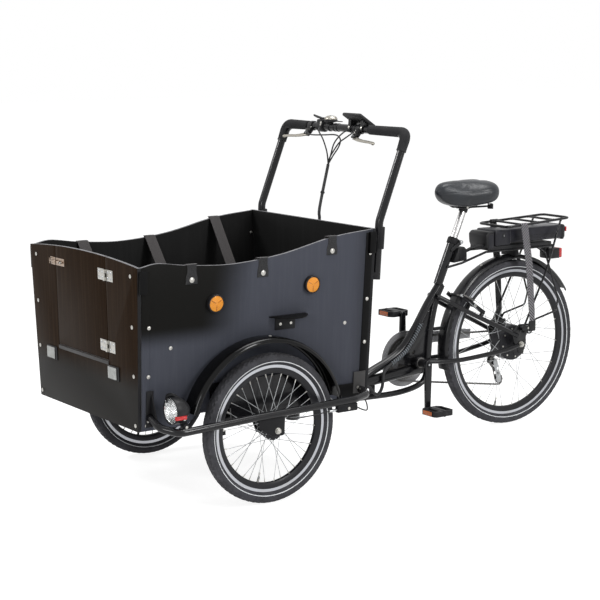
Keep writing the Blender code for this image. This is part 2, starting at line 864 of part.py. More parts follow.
def inner_plate(side, x):
    """The plate outside the box that holds a wheel's inner axle end."""
    low = FRONT_WHEEL_R + 0.105
    high = FRONT_WHEEL_R + 0.165
    outline = [
        (FRONT_Y - 0.20, low), (FRONT_Y - 0.125, low - 0.006), (FRONT_Y - 0.120, PLATFORM_Z - 0.014),
        (FRONT_Y - 0.045, PLATFORM_Z - 0.0155), (FRONT_Y - 0.022, FRONT_WHEEL_R - 0.02),
        (FRONT_Y + 0.022, FRONT_WHEEL_R - 0.02), (FRONT_Y + 0.05, PLATFORM_Z - 0.0135),
        (FRONT_Y + 0.240, PLATFORM_Z - 0.015), (FRONT_Y + 0.245, low - 0.007), (FRONT_Y + 0.26,
            low + 0.003),
        (FRONT_Y + 0.26, high), (FRONT_Y - 0.20, high),
    ]
    hole = arc((FRONT_Y, FRONT_WHEEL_R), FRONT_AXLE_R + GAP, 360, 30, 11)
    start = x if side > 0 else -x - SIDE_PLATE
    return across(start, SIDE_PLATE, "inner_plate", outline, (hole,))


def loop_x():
    """Where the loop tube runs outside the wheel."""
    return WHEEL_X + TYRE_WIDTH / 2 + LOOP_OUT


def front_loop(name, side):
    """The tube round the outside of a front wheel, with its dropout, axle and corner brackets."""
    x = loop_x()
    z = FRONT_WHEEL_R
    near = side_half(z + 0.08)
    front = FRONT_Y - 0.422
    back = BOX_Y1 - 0.036
    path = bent([
        (near + 0.0042, front, z + 0.082), (near + 0.014, front, z + 0.0815), (x - 0.045, front + 0.004,
            z + 0.058), (x, front + 0.05, z + 0.043),
        (x, FRONT_Y - 0.10, z + 0.055), (x, back - 0.10, z + 0.066), (x - 0.03, back - 0.025, z + 0.068),
        (near + 0.016, back, z + 0.070), (near + 0.0042, back, z + 0.070),
    ], 0.05, 2)
    pieces = [tube("loop", path, LOOP_R, 1)]
    outline = [
        (FRONT_Y - 0.075, z + 0.055), (FRONT_Y - 0.070, z + 0.015), (FRONT_Y - 0.02, z - 0.016),
        (FRONT_Y + 0.026, z - 0.016), (FRONT_Y + 0.030, z + 0.062),
    ]
    pieces.append(across(x - DROPOUT - 0.001, DROPOUT, "dropout", outline))
    tip = side_plate_x() - 0.004
    pieces.append(rod("axle", (tip, FRONT_Y, z), (x + 0.006, FRONT_Y, z), FRONT_AXLE_R, 10))
    inner = WHEEL_X - HUB_HALF - RUN
    pieces.append(rod("inner_cone", (side_plate_x() + SIDE_PLATE + GAP, FRONT_Y, z), (inner, FRONT_Y, z),
        0.009, 8))
    outer = WHEEL_X + HUB_HALF + RUN
    pieces.append(rod("outer_cone", (outer, FRONT_Y, z), (x - DROPOUT, FRONT_Y, z), 0.009, 8))
    pieces.append(rod("nut", (x - 0.002, FRONT_Y, z), (x + 0.008, FRONT_Y, z), 0.010, 6))
    pieces.append(block(
        "lamp_boss", (x - 0.022, FRONT_Y - 0.357, z + 0.048), (x + 0.002, FRONT_Y - 0.337, z + 0.070)
    ))
    pieces.append(rod(
        "cable_stop", (x, FRONT_Y + 0.17, z + 0.047), (x, FRONT_Y + 0.22, z + 0.047), 0.010, 8
    ))
    skin = CORNER_STRIP + 0.0015
    gusset = [
        (side_half(z + 0.165) + skin, z + 0.165), (side_half(z + 0.055) + skin, z + 0.055),
        (near + 0.055, z + 0.052), (near + 0.045, z + 0.075),
    ]
    pieces.append(along(front + 0.004, 0.004, "gusset", gusset))
    pieces.append(corner_foot(front - 0.012, front + 0.040, z + 0.050, z + 0.172))
    pieces.append(corner_foot(back - 0.050, back + 0.018, z + 0.045, z + 0.115))
    return sided(weld(name, pieces), name, side, "black_frame_paint")


def corner_foot(first, last, low, high):
    """A thin steel bracket that lies on the leaning side of the box."""
    face = BOX_WIDTH / 2 + CORNER_STRIP + GAP
    return lean_out(block("foot", (face, first, low), (face + 0.003, last, high)))


def tyre(name, centre, wheel_r):
    """A tyre whose lowest facet lies on the ground."""
    outer = wheel_r / math.cos(math.pi / SEGMENTS)
    seat = wheel_r - TYRE_HEIGHT + GAP
    half = TYRE_WIDTH / 2
    profile = [
        (-0.0110, seat), (0.0110, seat), (half, seat + 0.015), (half * 0.80, outer - 0.0080),
        (half * 0.42, outer), (-half * 0.42, outer), (-half * 0.80, outer - 0.0080), (-half,
            seat + 0.015),
    ]
    item = turned(name, profile, centre, SEGMENTS, math.pi / SEGMENTS)
    return finish(item, "tyre_rubber", 25.0)


def spoke_curve(wheel_r, flanges):
    """Straight crossed spokes from the hub's flanges to the rim."""
    curve = bpy.data.curves.new("spokes", "CURVE")
    curve.dimensions = "3D"
    curve.bevel_depth = SPOKE_R
    curve.bevel_resolution = 0
    curve.use_fill_caps = True
    rim = wheel_r - TYRE_HEIGHT - RIM_DEPTH + 0.006
    for index in range(SPOKES):
        x, flange_r = flanges[index % 2]
        leading = 1 if (index // 2) % 2 else -1
        rim_angle = 2 * math.pi * (index + 0.5) / SPOKES
        hub_angle = rim_angle + leading * 0.95
        lift = 0.0025 * leading
        start = (x + lift, flange_r * math.sin(hub_angle), flange_r * math.cos(hub_angle))
        end = (x * 0.12, rim * math.sin(rim_angle), rim * math.cos(rim_angle))
        line = curve.splines.new("POLY")
        line.points.add(1)
        line.points[0].co = (*start, 1.0)
        line.points[1].co = (*end, 1.0)
    return from_curve("spokes", curve)


def wheel(name, centre, wheel_r, hub_profile, flanges, side=1):
    """Rim, spokes and hub as they are laced together."""
    rim_out = wheel_r - TYRE_HEIGHT
    rim_in = rim_out - RIM_DEPTH
    half = RIM_WIDTH / 2
    profile = [(-half, rim_out), (half, rim_out), (half, rim_in + 0.010), (0.0, rim_in),
        (-half, rim_in + 0.010)]
    rim = turned("rim", profile, (0, 0, 0), SEGMENTS, math.pi / SEGMENTS)
    hub = turned("hub", hub_profile, (0, 0, 0), 12)
    whole = weld(name, [hub, spoke_curve(wheel_r, flanges), rim])
    if side < 0:
        whole.data.transform(Matrix.Scale(-1, 4, (1, 0, 0)))
        outward(whole)
    whole.data.transform(Matrix.Translation(centre))
    return finish(whole, "rim_metal")


def front_hub():
    """Profile of a front hub: a plain flange inside and a brake drum outside."""
    bore = FRONT_AXLE_R + RUN
    return [
        (-HUB_HALF, bore), (HUB_HALF, bore), (HUB_HALF, 0.012), (0.027, DRUM_R), (0.006, DRUM_R),
        (0.004, 0.017), (-0.0215, 0.017), (-0.0225, 0.030), (-0.0280, 0.030), (-HUB_HALF, 0.012),
    ]


def fender(name, side):
    """A wide front mudguard with turned-down edges, on a lug at the box side."""
    first = WHEEL_X - FENDER_WIDTH / 2
    last = WHEEL_X + FENDER_WIDTH / 2
    radius = FENDER_R
    profile = [
        (first, radius - 0.016), (first + 0.004, radius - 0.004), (first + 0.016, radius),
        (last - 0.016, radius), (last - 0.004, radius - 0.004), (last, radius - 0.016),
    ]
    centre = (0, FRONT_Y - 0.020, FRONT_WHEEL_R + 0.003)
    sheet = swept(profile, centre, 13, 163, 12, GUARD_T)
    top = FRONT_WHEEL_R + 0.003 + radius
    lug_top = top - 0.004
    lug = block(
        "lug", (side_half(lug_top) + GAP, centre[1] - 0.02, lug_top - 0.014), (first + 0.003,
            centre[1] + 0.02, lug_top)
    )
    return sided(weld(name, [sheet, lug]), name, side, "gloss_fender")


def swept(profile, centre, first, last, steps, thickness):
    """An open profile of (x, radius) swept about an axle between two angles, then thickened."""
    work = bmesh.new()
    start = math.radians(first)
    spots = [work.verts.new((x, r * math.cos(start), r * math.sin(start))) for x, r in profile]
    edges = [work.edges.new(pair) for pair in zip(spots, spots[1:])]
    bmesh.ops.spin(
        work, geom=spots + edges, cent=(0, 0, 0), axis=(1, 0, 0),
        angle=math.radians(last - first), steps=steps, use_duplicate=False,
    )
    mesh = bpy.data.meshes.new("swept")
    work.to_mesh(mesh)
    work.free()
    item = new_object("swept", mesh)
    wall = item.modifiers.new("wall", "SOLIDIFY")
    wall.thickness = thickness
    wall.offset = 0.0
    apply_modifiers(item)
    item.data.transform(Matrix.Translation(centre))
    return outward(item)


def headlight():
    """The single lamp above the rider's left loop: drum, domed lens and foot."""
    x = loop_x() - 0.034
    y = FRONT_Y - 0.385
    z = FRONT_WHEEL_R + 0.110
    profile = [
        (0.0, 0.0), (0.0, 0.020), (0.004, 0.033), (0.012, 0.037), (0.032, 0.037), (0.052, 0.030), (0.066,
            0.014), (0.068, 0.0),
    ]
    body = turned_open(profile, Matrix.Translation((x, y, z)) @ Matrix.Rotation(math.pi / 2, 4, "Z"), 14)
    top = FRONT_WHEEL_R + 0.070 + GAP
    foot = block(
        "foot", (loop_x() - 0.020, FRONT_Y - 0.355, top), (loop_x() - 0.006, FRONT_Y - 0.339, z - 0.010)
    )
    return finish(weld("headlight", [body, foot]), "black_plastic")


def turned_open(profile, place, steps):
    """A profile of (x, radius) that starts and ends on the axis, turned about X."""
    mesh = bpy.data.meshes.new("turned")
    spots = [(x, 0.0, r) for x, r in profile]
    mesh.from_pydata(spots, [(i, i + 1) for i in range(len(spots) - 1)], [])
    item = new_object("turned", mesh)
    screw = item.modifiers.new("turn", "SCREW")
    screw.axis = "X"
    screw.steps = steps
    screw.render_steps = steps
    screw.use_merge_vertices = True
    screw.merge_threshold = 0.00005
    apply_modifiers(item)
    item.data.transform(place)
    return outward(item)


def build_front():
    """The steering platform, its two wheels, mudguards and lamp."""
    front_frame()
    flanges = ((-0.025, 0.026), (0.0245, 0.042))
    for side, word in ((1, "left"), (-1, "right")):
        front_loop("front_loop_" + word, side)
        centre = (side * WHEEL_X, FRONT_Y, FRONT_WHEEL_R)
        tyre("front_tyre_" + word, centre, FRONT_WHEEL_R)
        wheel("front_wheel_" + word, centre, FRONT_WHEEL_R, front_hub(), flanges, side)
        fender("fender_" + word, side)
    headlight()


def bar_line():
    """Corner points of the handlebar hoop, from the left foot over the top to the right foot."""
    top = BOX_Z + REAR_HEIGHT
    foot = BOX_Z + LEG_FOOT
    leg = [
        (BAR_HALF - 0.006, rear_face(foot) + 0.019, foot), (BAR_HALF, rear_face(top) + 0.026,
            top + 0.020),
        (BAR_HALF, bar_y(), bar_z()),
    ]
    return leg + [(-x, y, z) for x, y, z in reversed(leg)]


def bar_y():
    """How far back the crossbar is."""
    return rear_face(BOX_Z + REAR_HEIGHT) + BAR_BEHIND


def bar_z():
    """Height of the crossbar."""
    return BOX_Z + REAR_HEIGHT + BAR_OVER_BOX


def grip(side, start):
    """A foam grip that goes round the corner of the hoop."""
    knee = Vector(bar_line()[1])
    corner = Vector(bar_line()[2])
    end = corner + (knee - corner).normalized() * (BEND_R + 0.018)
    path = bent([(start, *corner[1:]), corner, end], BEND_R, 2)
    if side < 0:
        path = [(-p[0], p[1], p[2]) for p in path]
    return tube("grip", path, GRIP_R, 2)


def lever_place(x):
    """Places a lever's drawing: across the bar, away from the bar, and its thickness."""
    angle = math.radians(LEVER_ANGLE)
    forward = Vector((0, -math.cos(angle), -math.sin(angle)))
    normal = Vector((1, 0, 0)).cross(forward)
    place = Matrix(((1, 0, 0), forward, normal)).transposed().to_4x4()
    place.translation = (x, bar_y(), bar_z())
    return place


def lever_bracket(x):
    """The clamp and fork that hold a brake lever."""
    place = lever_place(x)
    clamp = rod("clamp", (x - 0.010, bar_y(), bar_z()), (x + 0.010, bar_y(), bar_z()), BAR_R + 0.0035, 8)
    fork = plate("fork", [
        (-0.009, 0.008), (0.009, 0.008), (0.011, LEVER_REACH + 0.006), (-0.011, LEVER_REACH + 0.006)
    ], 0.016, place)
    slot = plate("slot", [
        (-0.03, LEVER_REACH - 0.010), (0.03, LEVER_REACH - 0.010), (0.03, 0.09), (-0.03, 0.09)
    ], LEVER_T + 2 * RUN, place)
    ends = [place @ Vector((0, LEVER_REACH, n)) for n in (-0.007, 0.007)]
    pin = rod("pin", ends[0], ends[1], LEVER_PIN_R, 8)
    return [clamp, cut(fork, [slot]), pin]


def brake_lever(name, x, side):
    """A brake lever's blade, which turns on the fork's pin."""
    place = lever_place(x) @ Matrix.Scale(side, 4, (1, 0, 0))
    eye = arc((0, LEVER_REACH), 0.008, 150, 310, 6)
    outline = eye + [
        (0.040, 0.045), (0.085, 0.050), (0.122, 0.054), (0.132, 0.059), (0.130, 0.065), (0.118, 0.064),
        (0.080, 0.060), (0.030, 0.056), (0.0, 0.049),
    ]
    blade = plate(name, outline, LEVER_T, place, (arc((0, LEVER_REACH), LEVER_PIN_R + RUN, 360, 45, 7),))
    return finish(blade, "alloy")


def handlebar():
    """The hoop with its grips, lever forks, gear shifter and bell."""
    y = bar_y()
    z = bar_z()
    pieces = [tube("handlebar", bent(bar_line(), BEND_R, 2), BAR_R, 2)]
    pieces.append(grip(1, 0.157))
    pieces.append(grip(-1, 0.215))
    for x in (LEVER_RIGHT_X, LEVER_LEFT_X):
        pieces += lever_bracket(x)
    pieces.append(rod("shifter", (SHIFTER_X[0], y, z), (SHIFTER_X[1], y, z), BAR_R + 0.006, 8))
    pieces.append(block(
        "shifter_top", (SHIFTER_X[0] + 0.002, y - 0.014, z + 0.008),
        (SHIFTER_X[1] - 0.002, y + 0.014, z + SHIFTER_TOP),
    ))
    pieces.append(rod("bell_foot", (BELL_X, y, z + 0.008), (BELL_X, y, z + 0.020), 0.010, 10))
    pieces.append(rod("bell", (BELL_X, y, z + 0.018), (BELL_X, y, z + 0.032), 0.024, 10))
    pieces.append(rod("bell_dome", (BELL_X, y, z + 0.030), (BELL_X, y, z + 0.042), 0.022, 10, 0.011))
    foot = BOX_Z + LEG_FOOT
    for side in (1, -1):
        for height in (foot + 0.020, BOX_Z + REAR_HEIGHT - 0.035):
            wall = rear_face(height) + GAP
            pieces.append(block(
                "clamp", (side * (BAR_HALF - 0.004) - 0.010, wall, height - 0.012),
                (side * (BAR_HALF - 0.004) + 0.010, wall + 0.022, height + 0.012),
            ))
    return finish(weld("handlebar", pieces), "black_frame_paint")


def shift_lever():
    """The thumb lever on top of the shifter."""
    y = bar_y()
    top = bar_z() + SHIFTER_TOP + GAP
    x = (SHIFTER_X[0] + SHIFTER_X[1]) / 2
    disc = rod("shift_lever", (x, y, top), (x, y, top + 0.006), 0.012, 14)
    arm = flat(top + 0.001, 0.004, "arm", [(x, y - 0.004), (x - 0.038, y - 0.012),
        (x - 0.042, y - 0.004), (x, y + 0.006)])
    return finish(weld("shift_lever", [disc, arm]), "black_plastic")


def bell_pin():
    """The foot of the striker lever's pin, behind the bell."""
    return Vector((BELL_X, bar_y() + 0.029, bar_z() + 0.021))


def bell_lever():
    """The striker lever beside the bell."""
    pin = bell_pin()
    y = pin.y - 0.003
    z = pin.z
    disc = rod("bell_lever", pin, pin + Vector((0, 0, 0.007)), 0.0042, 10)
    arm = flat(z + 0.001, 0.003, "arm", [
        (BELL_X - 0.002, y + 0.001), (BELL_X + 0.020, y + 0.006), (BELL_X + 0.022,
            y + 0.012), (BELL_X - 0.002, y + 0.006)
    ])
    return finish(weld("bell_lever", [disc, arm]), "black_plastic")


def display():
    """The wide display case on two saddle feet on the bar."""
    y = bar_y()
    z = bar_z()
    first, last = DISPLAY_X
    case = block("display", (first, y - 0.036, z + 0.020), (last, y + 0.020, z + 0.040), 0.004)
    pieces = [case]
    for x in (first + 0.040, last - 0.050):
        foot = block("foot", (x - 0.009, y - 0.012, z), (x + 0.009, y + 0.012, z + 0.022))
        seat = rod("seat", (x - 0.02, y, z), (x + 0.02, y, z), BAR_R + GAP, 20)
        pieces.append(cut(foot, [seat]))
    return finish(weld("display", pieces), "black_plastic")


def control_cables():
    """Brake, gear and motor cables from the bar down the rear panel to the kingpin."""
    y = bar_y()
    z = bar_z()
    wall = rear_face(BOX_Z + REAR_HEIGHT)
    under = BOX_Z - 0.011
    tails = [
        (0.0, wall + 0.035, z - 0.280), (0.0, wall + 0.012, BOX_Z + REAR_HEIGHT - 0.040),
        (0.0, rear_face(BOX_Z) + 0.012, BOX_Z + 0.100), (0.0, rear_face(BOX_Z) + 0.013, BOX_Z + 0.008),
        (0.0, BOX_Y1 - 0.002, under - 0.003), (0.0, BOX_Y1 - 0.040, under), (0.030, KINGPIN_Y + 0.180,
            under), (0.030, KINGPIN_Y + 0.060, under - 0.004),
    ]
    right = [
        (LEVER_RIGHT_X, *fork_end()), (LEVER_RIGHT_X + 0.050, y - 0.060, z - 0.050),
        (-0.080, y - 0.052, z - 0.075), (-0.030, y - 0.048, z - 0.130), *tails,
    ]
    left = [
        (LEVER_LEFT_X, *fork_end()), (LEVER_LEFT_X - 0.035, y - 0.058, z - 0.052),
        (0.035, y - 0.050, z - 0.080), (0.010, y - 0.046, z - 0.140), *tails[:2],
    ]
    pieces = [tube("cable", through(right, 2), 0.0055, 1), tube("cable", through(left, 2), 0.0040, 1)]
    return finish(weld("control_cables", pieces), "black_plastic")


def fork_end():
    """Y and Z just outside a brake lever's fork."""
    spot = lever_place(0.0) @ Vector((0, LEVER_REACH - 0.012, -0.0155))
    return spot.y, spot.z


def build_controls():
    """The handlebar and all that is on it."""
    handlebar()
    brake_lever("brake_lever_left", LEVER_LEFT_X, 1)
    brake_lever("brake_lever_right", LEVER_RIGHT_X, -1)
    shift_lever()
    bell_lever()
    display()
    control_cables()


def by_crank(x, y, z):
    """A place measured from the crank axle."""
    return CRANK_AXLE + Vector((x, y, z))


def by_axle(x, y, z):
    """A place measured from the rear axle."""
    return REAR_AXLE + Vector((x, y, z))


def seat_way():
    """The direction of the seat tube."""
    angle = math.radians(SEAT_ANGLE)
    return Vector((0, math.sin(angle), math.cos(angle)))


def seat_top():
    """The middle of the seat tube's upper end."""
    return by_crank(0, *SEAT_TUBE_TOP)


def clamp_bolt():
    """The middle of the bolt behind the seat tube's collar."""
    return seat_top() - seat_way() * 0.015 + Vector((0, SEAT_TUBE_R + 0.007, -0.003))


def beam_drop(y):
    """Height of the main beam's middle from the crank axle, at a place along the frame."""
    head_y = KINGPIN_Y - CRANK_AXLE.y
    head_drop = head_top() - BEAM_BELOW_HEAD - CRANK_AXLE.z
    return -BEAM_AT_CRANK + (head_drop + BEAM_AT_CRANK) * y / head_y


def main_frame():
    """The welded spine: head tube, beam, curved tubes, seat tube and bracket shell."""
    top = seat_top()
    foot = top - seat_way() * SEAT_TUBE_LENGTH
    head_y = KINGPIN_Y - CRANK_AXLE.y
    pieces = [rod("beam", by_crank(0, head_y, beam_drop(head_y)), by_crank(0, 0.055, beam_drop(0.055)),
        BEAM_R, 12)]
    pieces.append(rod("seat_tube", foot, top, SEAT_TUBE_R, 12))
    curve = [(0.118, 0.290), (0.055, 0.210), (-0.005, 0.122), (-0.067, 0.053), (-0.125, 0.018),
        (-0.205, -0.013), (-0.262, -0.040)]
    pieces.append(tube("curved_tube", through([by_crank(0, y, z) for y, z in curve], 2), TUBE_R, 2))
    inner = [(0.123, 0.282), (0.095, 0.227), (0.069, 0.114), (0.060, 0.018), (0.050, -0.020)]
    pieces.append(tube("inner_tube", through([by_crank(0, y, z) for y, z in inner], 2), TUBE_R - 0.001,
        2))
    lower = [(-0.500, -0.074), (-0.403, -0.102), (-0.233, -0.110), (-0.071, -0.110), (0.035, -0.085),
        (0.062, -0.020)]
    pieces.append(tube("lower_tube", through([by_crank(0, y, z) for y, z in lower], 2), LOWER_TUBE_R, 1))
    pieces.append(block("strut", by_crank(-0.004, -0.217, -0.108), by_crank(0.004, -0.193, -0.055)))
    pieces.append(rod("shell", by_crank(-SHELL_HALF, 0, 0), by_crank(SHELL_HALF, 0, 0), SHELL_R, 12))
    low = head_top() - HEAD_LENGTH
    pieces.append(rod("head", (0, KINGPIN_Y, low), (0, KINGPIN_Y, head_top()), HEAD_R, 14))
    pieces.append(rod("collar", top - seat_way() * 0.026, top - seat_way() * 0.004, SEAT_TUBE_R + 0.0035,
        12))
    boss = clamp_bolt()
    pieces.append(rod("boss", boss - Vector((0.015, 0, 0)), boss + Vector((0.015, 0, 0)), 0.0075, 10))
    frame = weld("main_frame", pieces)
    bore = seat_way() * (POST_INSIDE + 0.050)
    cut(frame, [
        rod("post_bore", top - bore, top + seat_way() * 0.02, POST_R + GAP, 16),
        rod("shell_bore", by_crank(-0.05, 0, 0), by_crank(0.05, 0, 0), SPINDLE_R + RUN, 14),
        rod("head_bore", (0, KINGPIN_Y, low - 0.02), (0, KINGPIN_Y, head_top() + 0.02), KINGPIN_R + RUN,
            16),
    ])
    return finish(frame, "black_frame_paint")


def chainstay_line():
    """The left chainstay's middle line, from the bracket shell to the dropout."""
    return through([
        by_crank(0.022, 0.026, 0.0), by_crank(0.048, 0.130, -0.006), by_crank(0.053, 0.220, -0.006),
        by_axle(0.070, -0.087, -0.0165), by_axle(STAY_END_X, -0.012, -0.0025),
    ], 2)


def brake_pin(side):
    """Where a rim brake arm turns."""
    angle = math.radians(BRAKE_ANGLE)
    return by_axle(side * BRAKE_X, BRAKE_PIVOT_R * math.cos(angle), BRAKE_PIVOT_R * math.sin(angle))


def height_on(line, y):
    """Height of a line of points at a place along Y."""
    for here, there in zip(line, line[1:]):
        if y <= there.y:
            return here.z + (there.z - here.z) * (y - here.y) / (there.y - here.y)
    return line[-1].z


def rear_triangle(name, side):
    """One side's stays with the dropout and the brake boss."""
    pin = brake_pin(1)
    upper = through([
        by_crank(0.0228, 0.086, 0.246), pin + Vector((0.001, -0.1377, 0.0544)),
        pin + Vector((0.005, -0.0377, 0.0044)),
        by_axle(0.066, -0.092, 0.0715), by_axle(STAY_END_X, -0.020, 0.0355),
    ], 2)
    pieces = [tube("chainstay", chainstay_line(), STAY_R, 1), tube("seatstay", upper, STAY_R, 1)]
    outline = [
        (-0.032, 0.004), (-0.014, -0.018), (-0.010, -0.038), (0.014, -0.040), (0.020, -0.010),
        (0.024, 0.030), (0.050, 0.062), (0.048, 0.078), (-0.010, 0.080), (-0.046, 0.050),
    ]
    spots = [(REAR_AXLE.y + y, REAR_AXLE.z + z) for y, z in outline]
    hole = arc(REAR_AXLE.yz, REAR_AXLE_R + GAP, 360, 30, 11)
    pieces.append(across(DROPOUT_X, DROPOUT, "dropout", spots, (hole,)))
    angle = math.radians(BRAKE_ANGLE)
    away = Vector((0, math.sin(angle), -math.cos(angle)))
    pieces.append(rod("boss", pin - away * 0.010, pin + away * 0.0070, 0.0085, 8))
    pieces.append(rod("stud", pin, pin + away * 0.0215, 0.0040, 8))
    return sided(weld(name, pieces), name, side, "black_frame_paint")


def rear_axle():
    """The rear axle with its spacers and nuts."""
    y = REAR_AXLE.y
    z = REAR_AXLE.z
    outer = DROPOUT_X + DROPOUT
    pieces = [rod("rear_axle", (-outer - 0.014, y, z), (outer + 0.014, y, z), REAR_AXLE_R, 10)]
    for side, inner in ((1, MOTOR_HALF + 0.008 + RUN), (-1, 0.0640 + RUN)):
        pieces.append(rod("spacer", (side * inner, y, z), (side * (DROPOUT_X - GAP), y, z), 0.0095, 8))
        pieces.append(rod("nut", (side * (outer + GAP), y, z), (side * (outer + 0.009), y, z), 0.0110, 6))
    return finish(weld("rear_axle", pieces), "bright_steel")


def motor_hub():
    """Profile of the hub motor, with a boss on the left side."""
    bore = REAR_AXLE_R + RUN
    return [
        (-MOTOR_HALF - 0.002, bore), (MOTOR_HALF + 0.008, bore), (MOTOR_HALF + 0.008,
            0.016), (MOTOR_HALF, 0.024),
        (MOTOR_HALF - 0.004, MOTOR_R - 0.008), (MOTOR_HALF - 0.010, MOTOR_R), (-MOTOR_HALF + 0.010,
            MOTOR_R),
        (-MOTOR_HALF + 0.004, MOTOR_R - 0.008), (-MOTOR_HALF - 0.002, 0.030),
    ]


def cassette():
    """The sprockets on the freewheel, as one stepped piece."""
    bore = REAR_AXLE_R + RUN
    ring = tooth_edge(SPROCKET_R)
    profile = [
        (-0.0386, bore), (-0.0386, 0.022), (-0.0450, 0.0240), (-0.0450, 0.0480), (-0.0468, 0.0480),
        (-0.0500, 0.0420), (-0.0512, 0.0420), (-0.0515, 0.022),
        (-0.0550, 0.022), (-0.0550, ring), (-0.0570, ring), (-0.0600, 0.0260),
        (-0.0625, 0.0260), (-0.0635, bore),
    ]
    item = turned("cassette", list(reversed(profile)), REAR_AXLE, 14)
    return finish(item, "chain_steel")


def tooth_edge(radius):
    """Radius of a toothed wheel just inside the chain's straight steps."""
    return radius * math.cos(CHAIN_STEP / 2) - CHAIN_R - GAP


def drive_circles():
    """Middle, radius and turning sense of each wheel that the chain goes round, in its order."""
    crank = Vector((CRANK_AXLE.y, CRANK_AXLE.z))
    axle = Vector((REAR_AXLE.y, REAR_AXLE.z))
    guide = axle + Vector(CAGE_AXLE)
    tension = guide + Vector(TENSION_FROM_CAGE)
    return [(crank, CHAINRING_R, -1), (axle, SPROCKET_R, -1), (guide, PULLEY_R, 1),
        (tension, PULLEY_R, -1)]


def tangent(first, second):
    """Where a belt leaves one circle and meets the next."""
    centre, radius, sense = first
    other, other_radius, other_sense = second
    span = other - centre
    lean = math.asin((other_radius * other_sense - radius * sense) / span.length)
    heading = math.atan2(span.y, span.x) - lean
    normal = Vector((math.sin(heading), -math.cos(heading)))
    return centre + normal * radius * sense, other + normal * other_radius * other_sense


def chain():
    """The chain as one closed band round the chainring, sprocket and both pulleys."""
    circles = drive_circles()
    count = len(circles)
    links = [tangent(circles[i], circles[(i + 1) % count]) for i in range(count)]
    path = []
    for i, (centre, radius, sense) in enumerate(circles):
        into = links[i - 1][1] - centre
        away = links[i][0] - centre
        first = math.atan2(into.y, into.x)
        turn = (math.atan2(away.y, away.x) - first) * sense % (2 * math.pi)
        steps = max(3, math.ceil(turn / CHAIN_STEP))
        for k in range(steps + 1):
            angle = first + sense * turn * k / steps
            path.append((CHAIN_X, centre.x + radius * math.cos(angle),
                centre.y + radius * math.sin(angle)))
    return finish(tube("chain", path, CHAIN_R, 1, True), "chain_steel")


def crank_arm(side, way):
    """A crank arm outline from the spindle to the pedal, up or down."""
    y = CRANK_AXLE.y
    z = CRANK_AXLE.z
    tip = z + way * CRANK
    big = arc((y, z), 0.017, 0, -way * 180, 6)
    small = arc((y, tip), 0.012, way * 180, 0, 5) if way > 0 else arc((y, tip), 0.012, -180, 0, 5)
    start = CRANK_OUT - CRANK_T / 2 if side > 0 else -CRANK_OUT - CRANK_T / 2
    return across(start, CRANK_T, "arm", big + small)


def crank_right():
    """The drive side: arm, spindle and chainring."""
    y = CRANK_AXLE.y
    z = CRANK_AXLE.z
    ring = tooth_edge(CHAINRING_R)
    holes = []
    for k in range(5):
        angle = math.radians(90 + 72 * k)
        centre = (y + 0.053 * math.cos(angle), z + 0.053 * math.sin(angle))
        holes.append(arc(centre, 0.017, 360, 60, 5))
    disc = across(CHAIN_X - 0.0015, 0.003, "chainring", arc((y, z), ring, 0, 346.15, 25), holes)
    spindle = rod("spindle", (-CRANK_OUT, y, z), (SHELL_HALF + 0.0365, y, z), SPINDLE_R, 12)
    spacer = rod("spacer", (-CRANK_OUT, y, z), (-SHELL_HALF - RUN, y, z), 0.0155, 12)
    axle = rod("pedal_axle", (-CRANK_OUT, y, z + CRANK),
        (-CRANK_OUT - PEDAL_LENGTH + 0.004, y, z + CRANK), PEDAL_AXLE_R, 10)
    whole = weld("crank_right", [disc, spindle, spacer, crank_arm(-1, 1), axle])
    return finish(whole, "black_frame_paint")


def crank_left():
    """The other arm, which sits on the spindle's end."""
    y = CRANK_AXLE.y
    z = CRANK_AXLE.z
    collar = rod("collar", (SHELL_HALF + RUN, y, z), (CRANK_OUT, y, z), 0.0155, 12)
    whole = weld("crank_left", [crank_arm(1, -1), collar])
    seat = rod("seat", (0, y, z), (SHELL_HALF + 0.0370, y, z), SPINDLE_R + GAP, 14)
    cut(whole, [seat])
    axle = rod("pedal_axle", (CRANK_OUT, y, z - CRANK), (CRANK_OUT + PEDAL_LENGTH - 0.004, y, z - CRANK),
        PEDAL_AXLE_R, 10)
    return finish(weld("crank_left", [whole, axle]), "black_frame_paint")


def pedal(name, side, way):
    """A platform pedal with a reflector front and rear."""
    y = CRANK_AXLE.y
    z = CRANK_AXLE.z + way * CRANK
    first = CRANK_OUT + CRANK_T / 2 + 0.001
    last = first + PEDAL_LENGTH
    body = block(name, (first, y - 0.046, z - 0.011), (last, y + 0.046, z + 0.011), 0.004)
    pieces = [body]
    for s in (1, -1):
        pieces.append(block(
            "reflector", (first + 0.024, y + s * 0.047 - 0.003, z - 0.0075), (last - 0.024,
                y + s * 0.047 + 0.003, z + 0.0075)
        ))
    for s in (1, -1):
        pieces.append(block(
            "window", (first + 0.020, y + s * 0.024 - 0.010, z - 0.03), (last - 0.020,
                y + s * 0.024 + 0.010, z + 0.03)
        ))
    whole = cut(weld(name, pieces[:3]), pieces[3:])
    cut(whole, [rod("bore", (first - 0.02, y, z), (last - 0.010, y, z), PEDAL_AXLE_R + RUN, 10)])
    return sided(whole, name, side, "black_plastic")


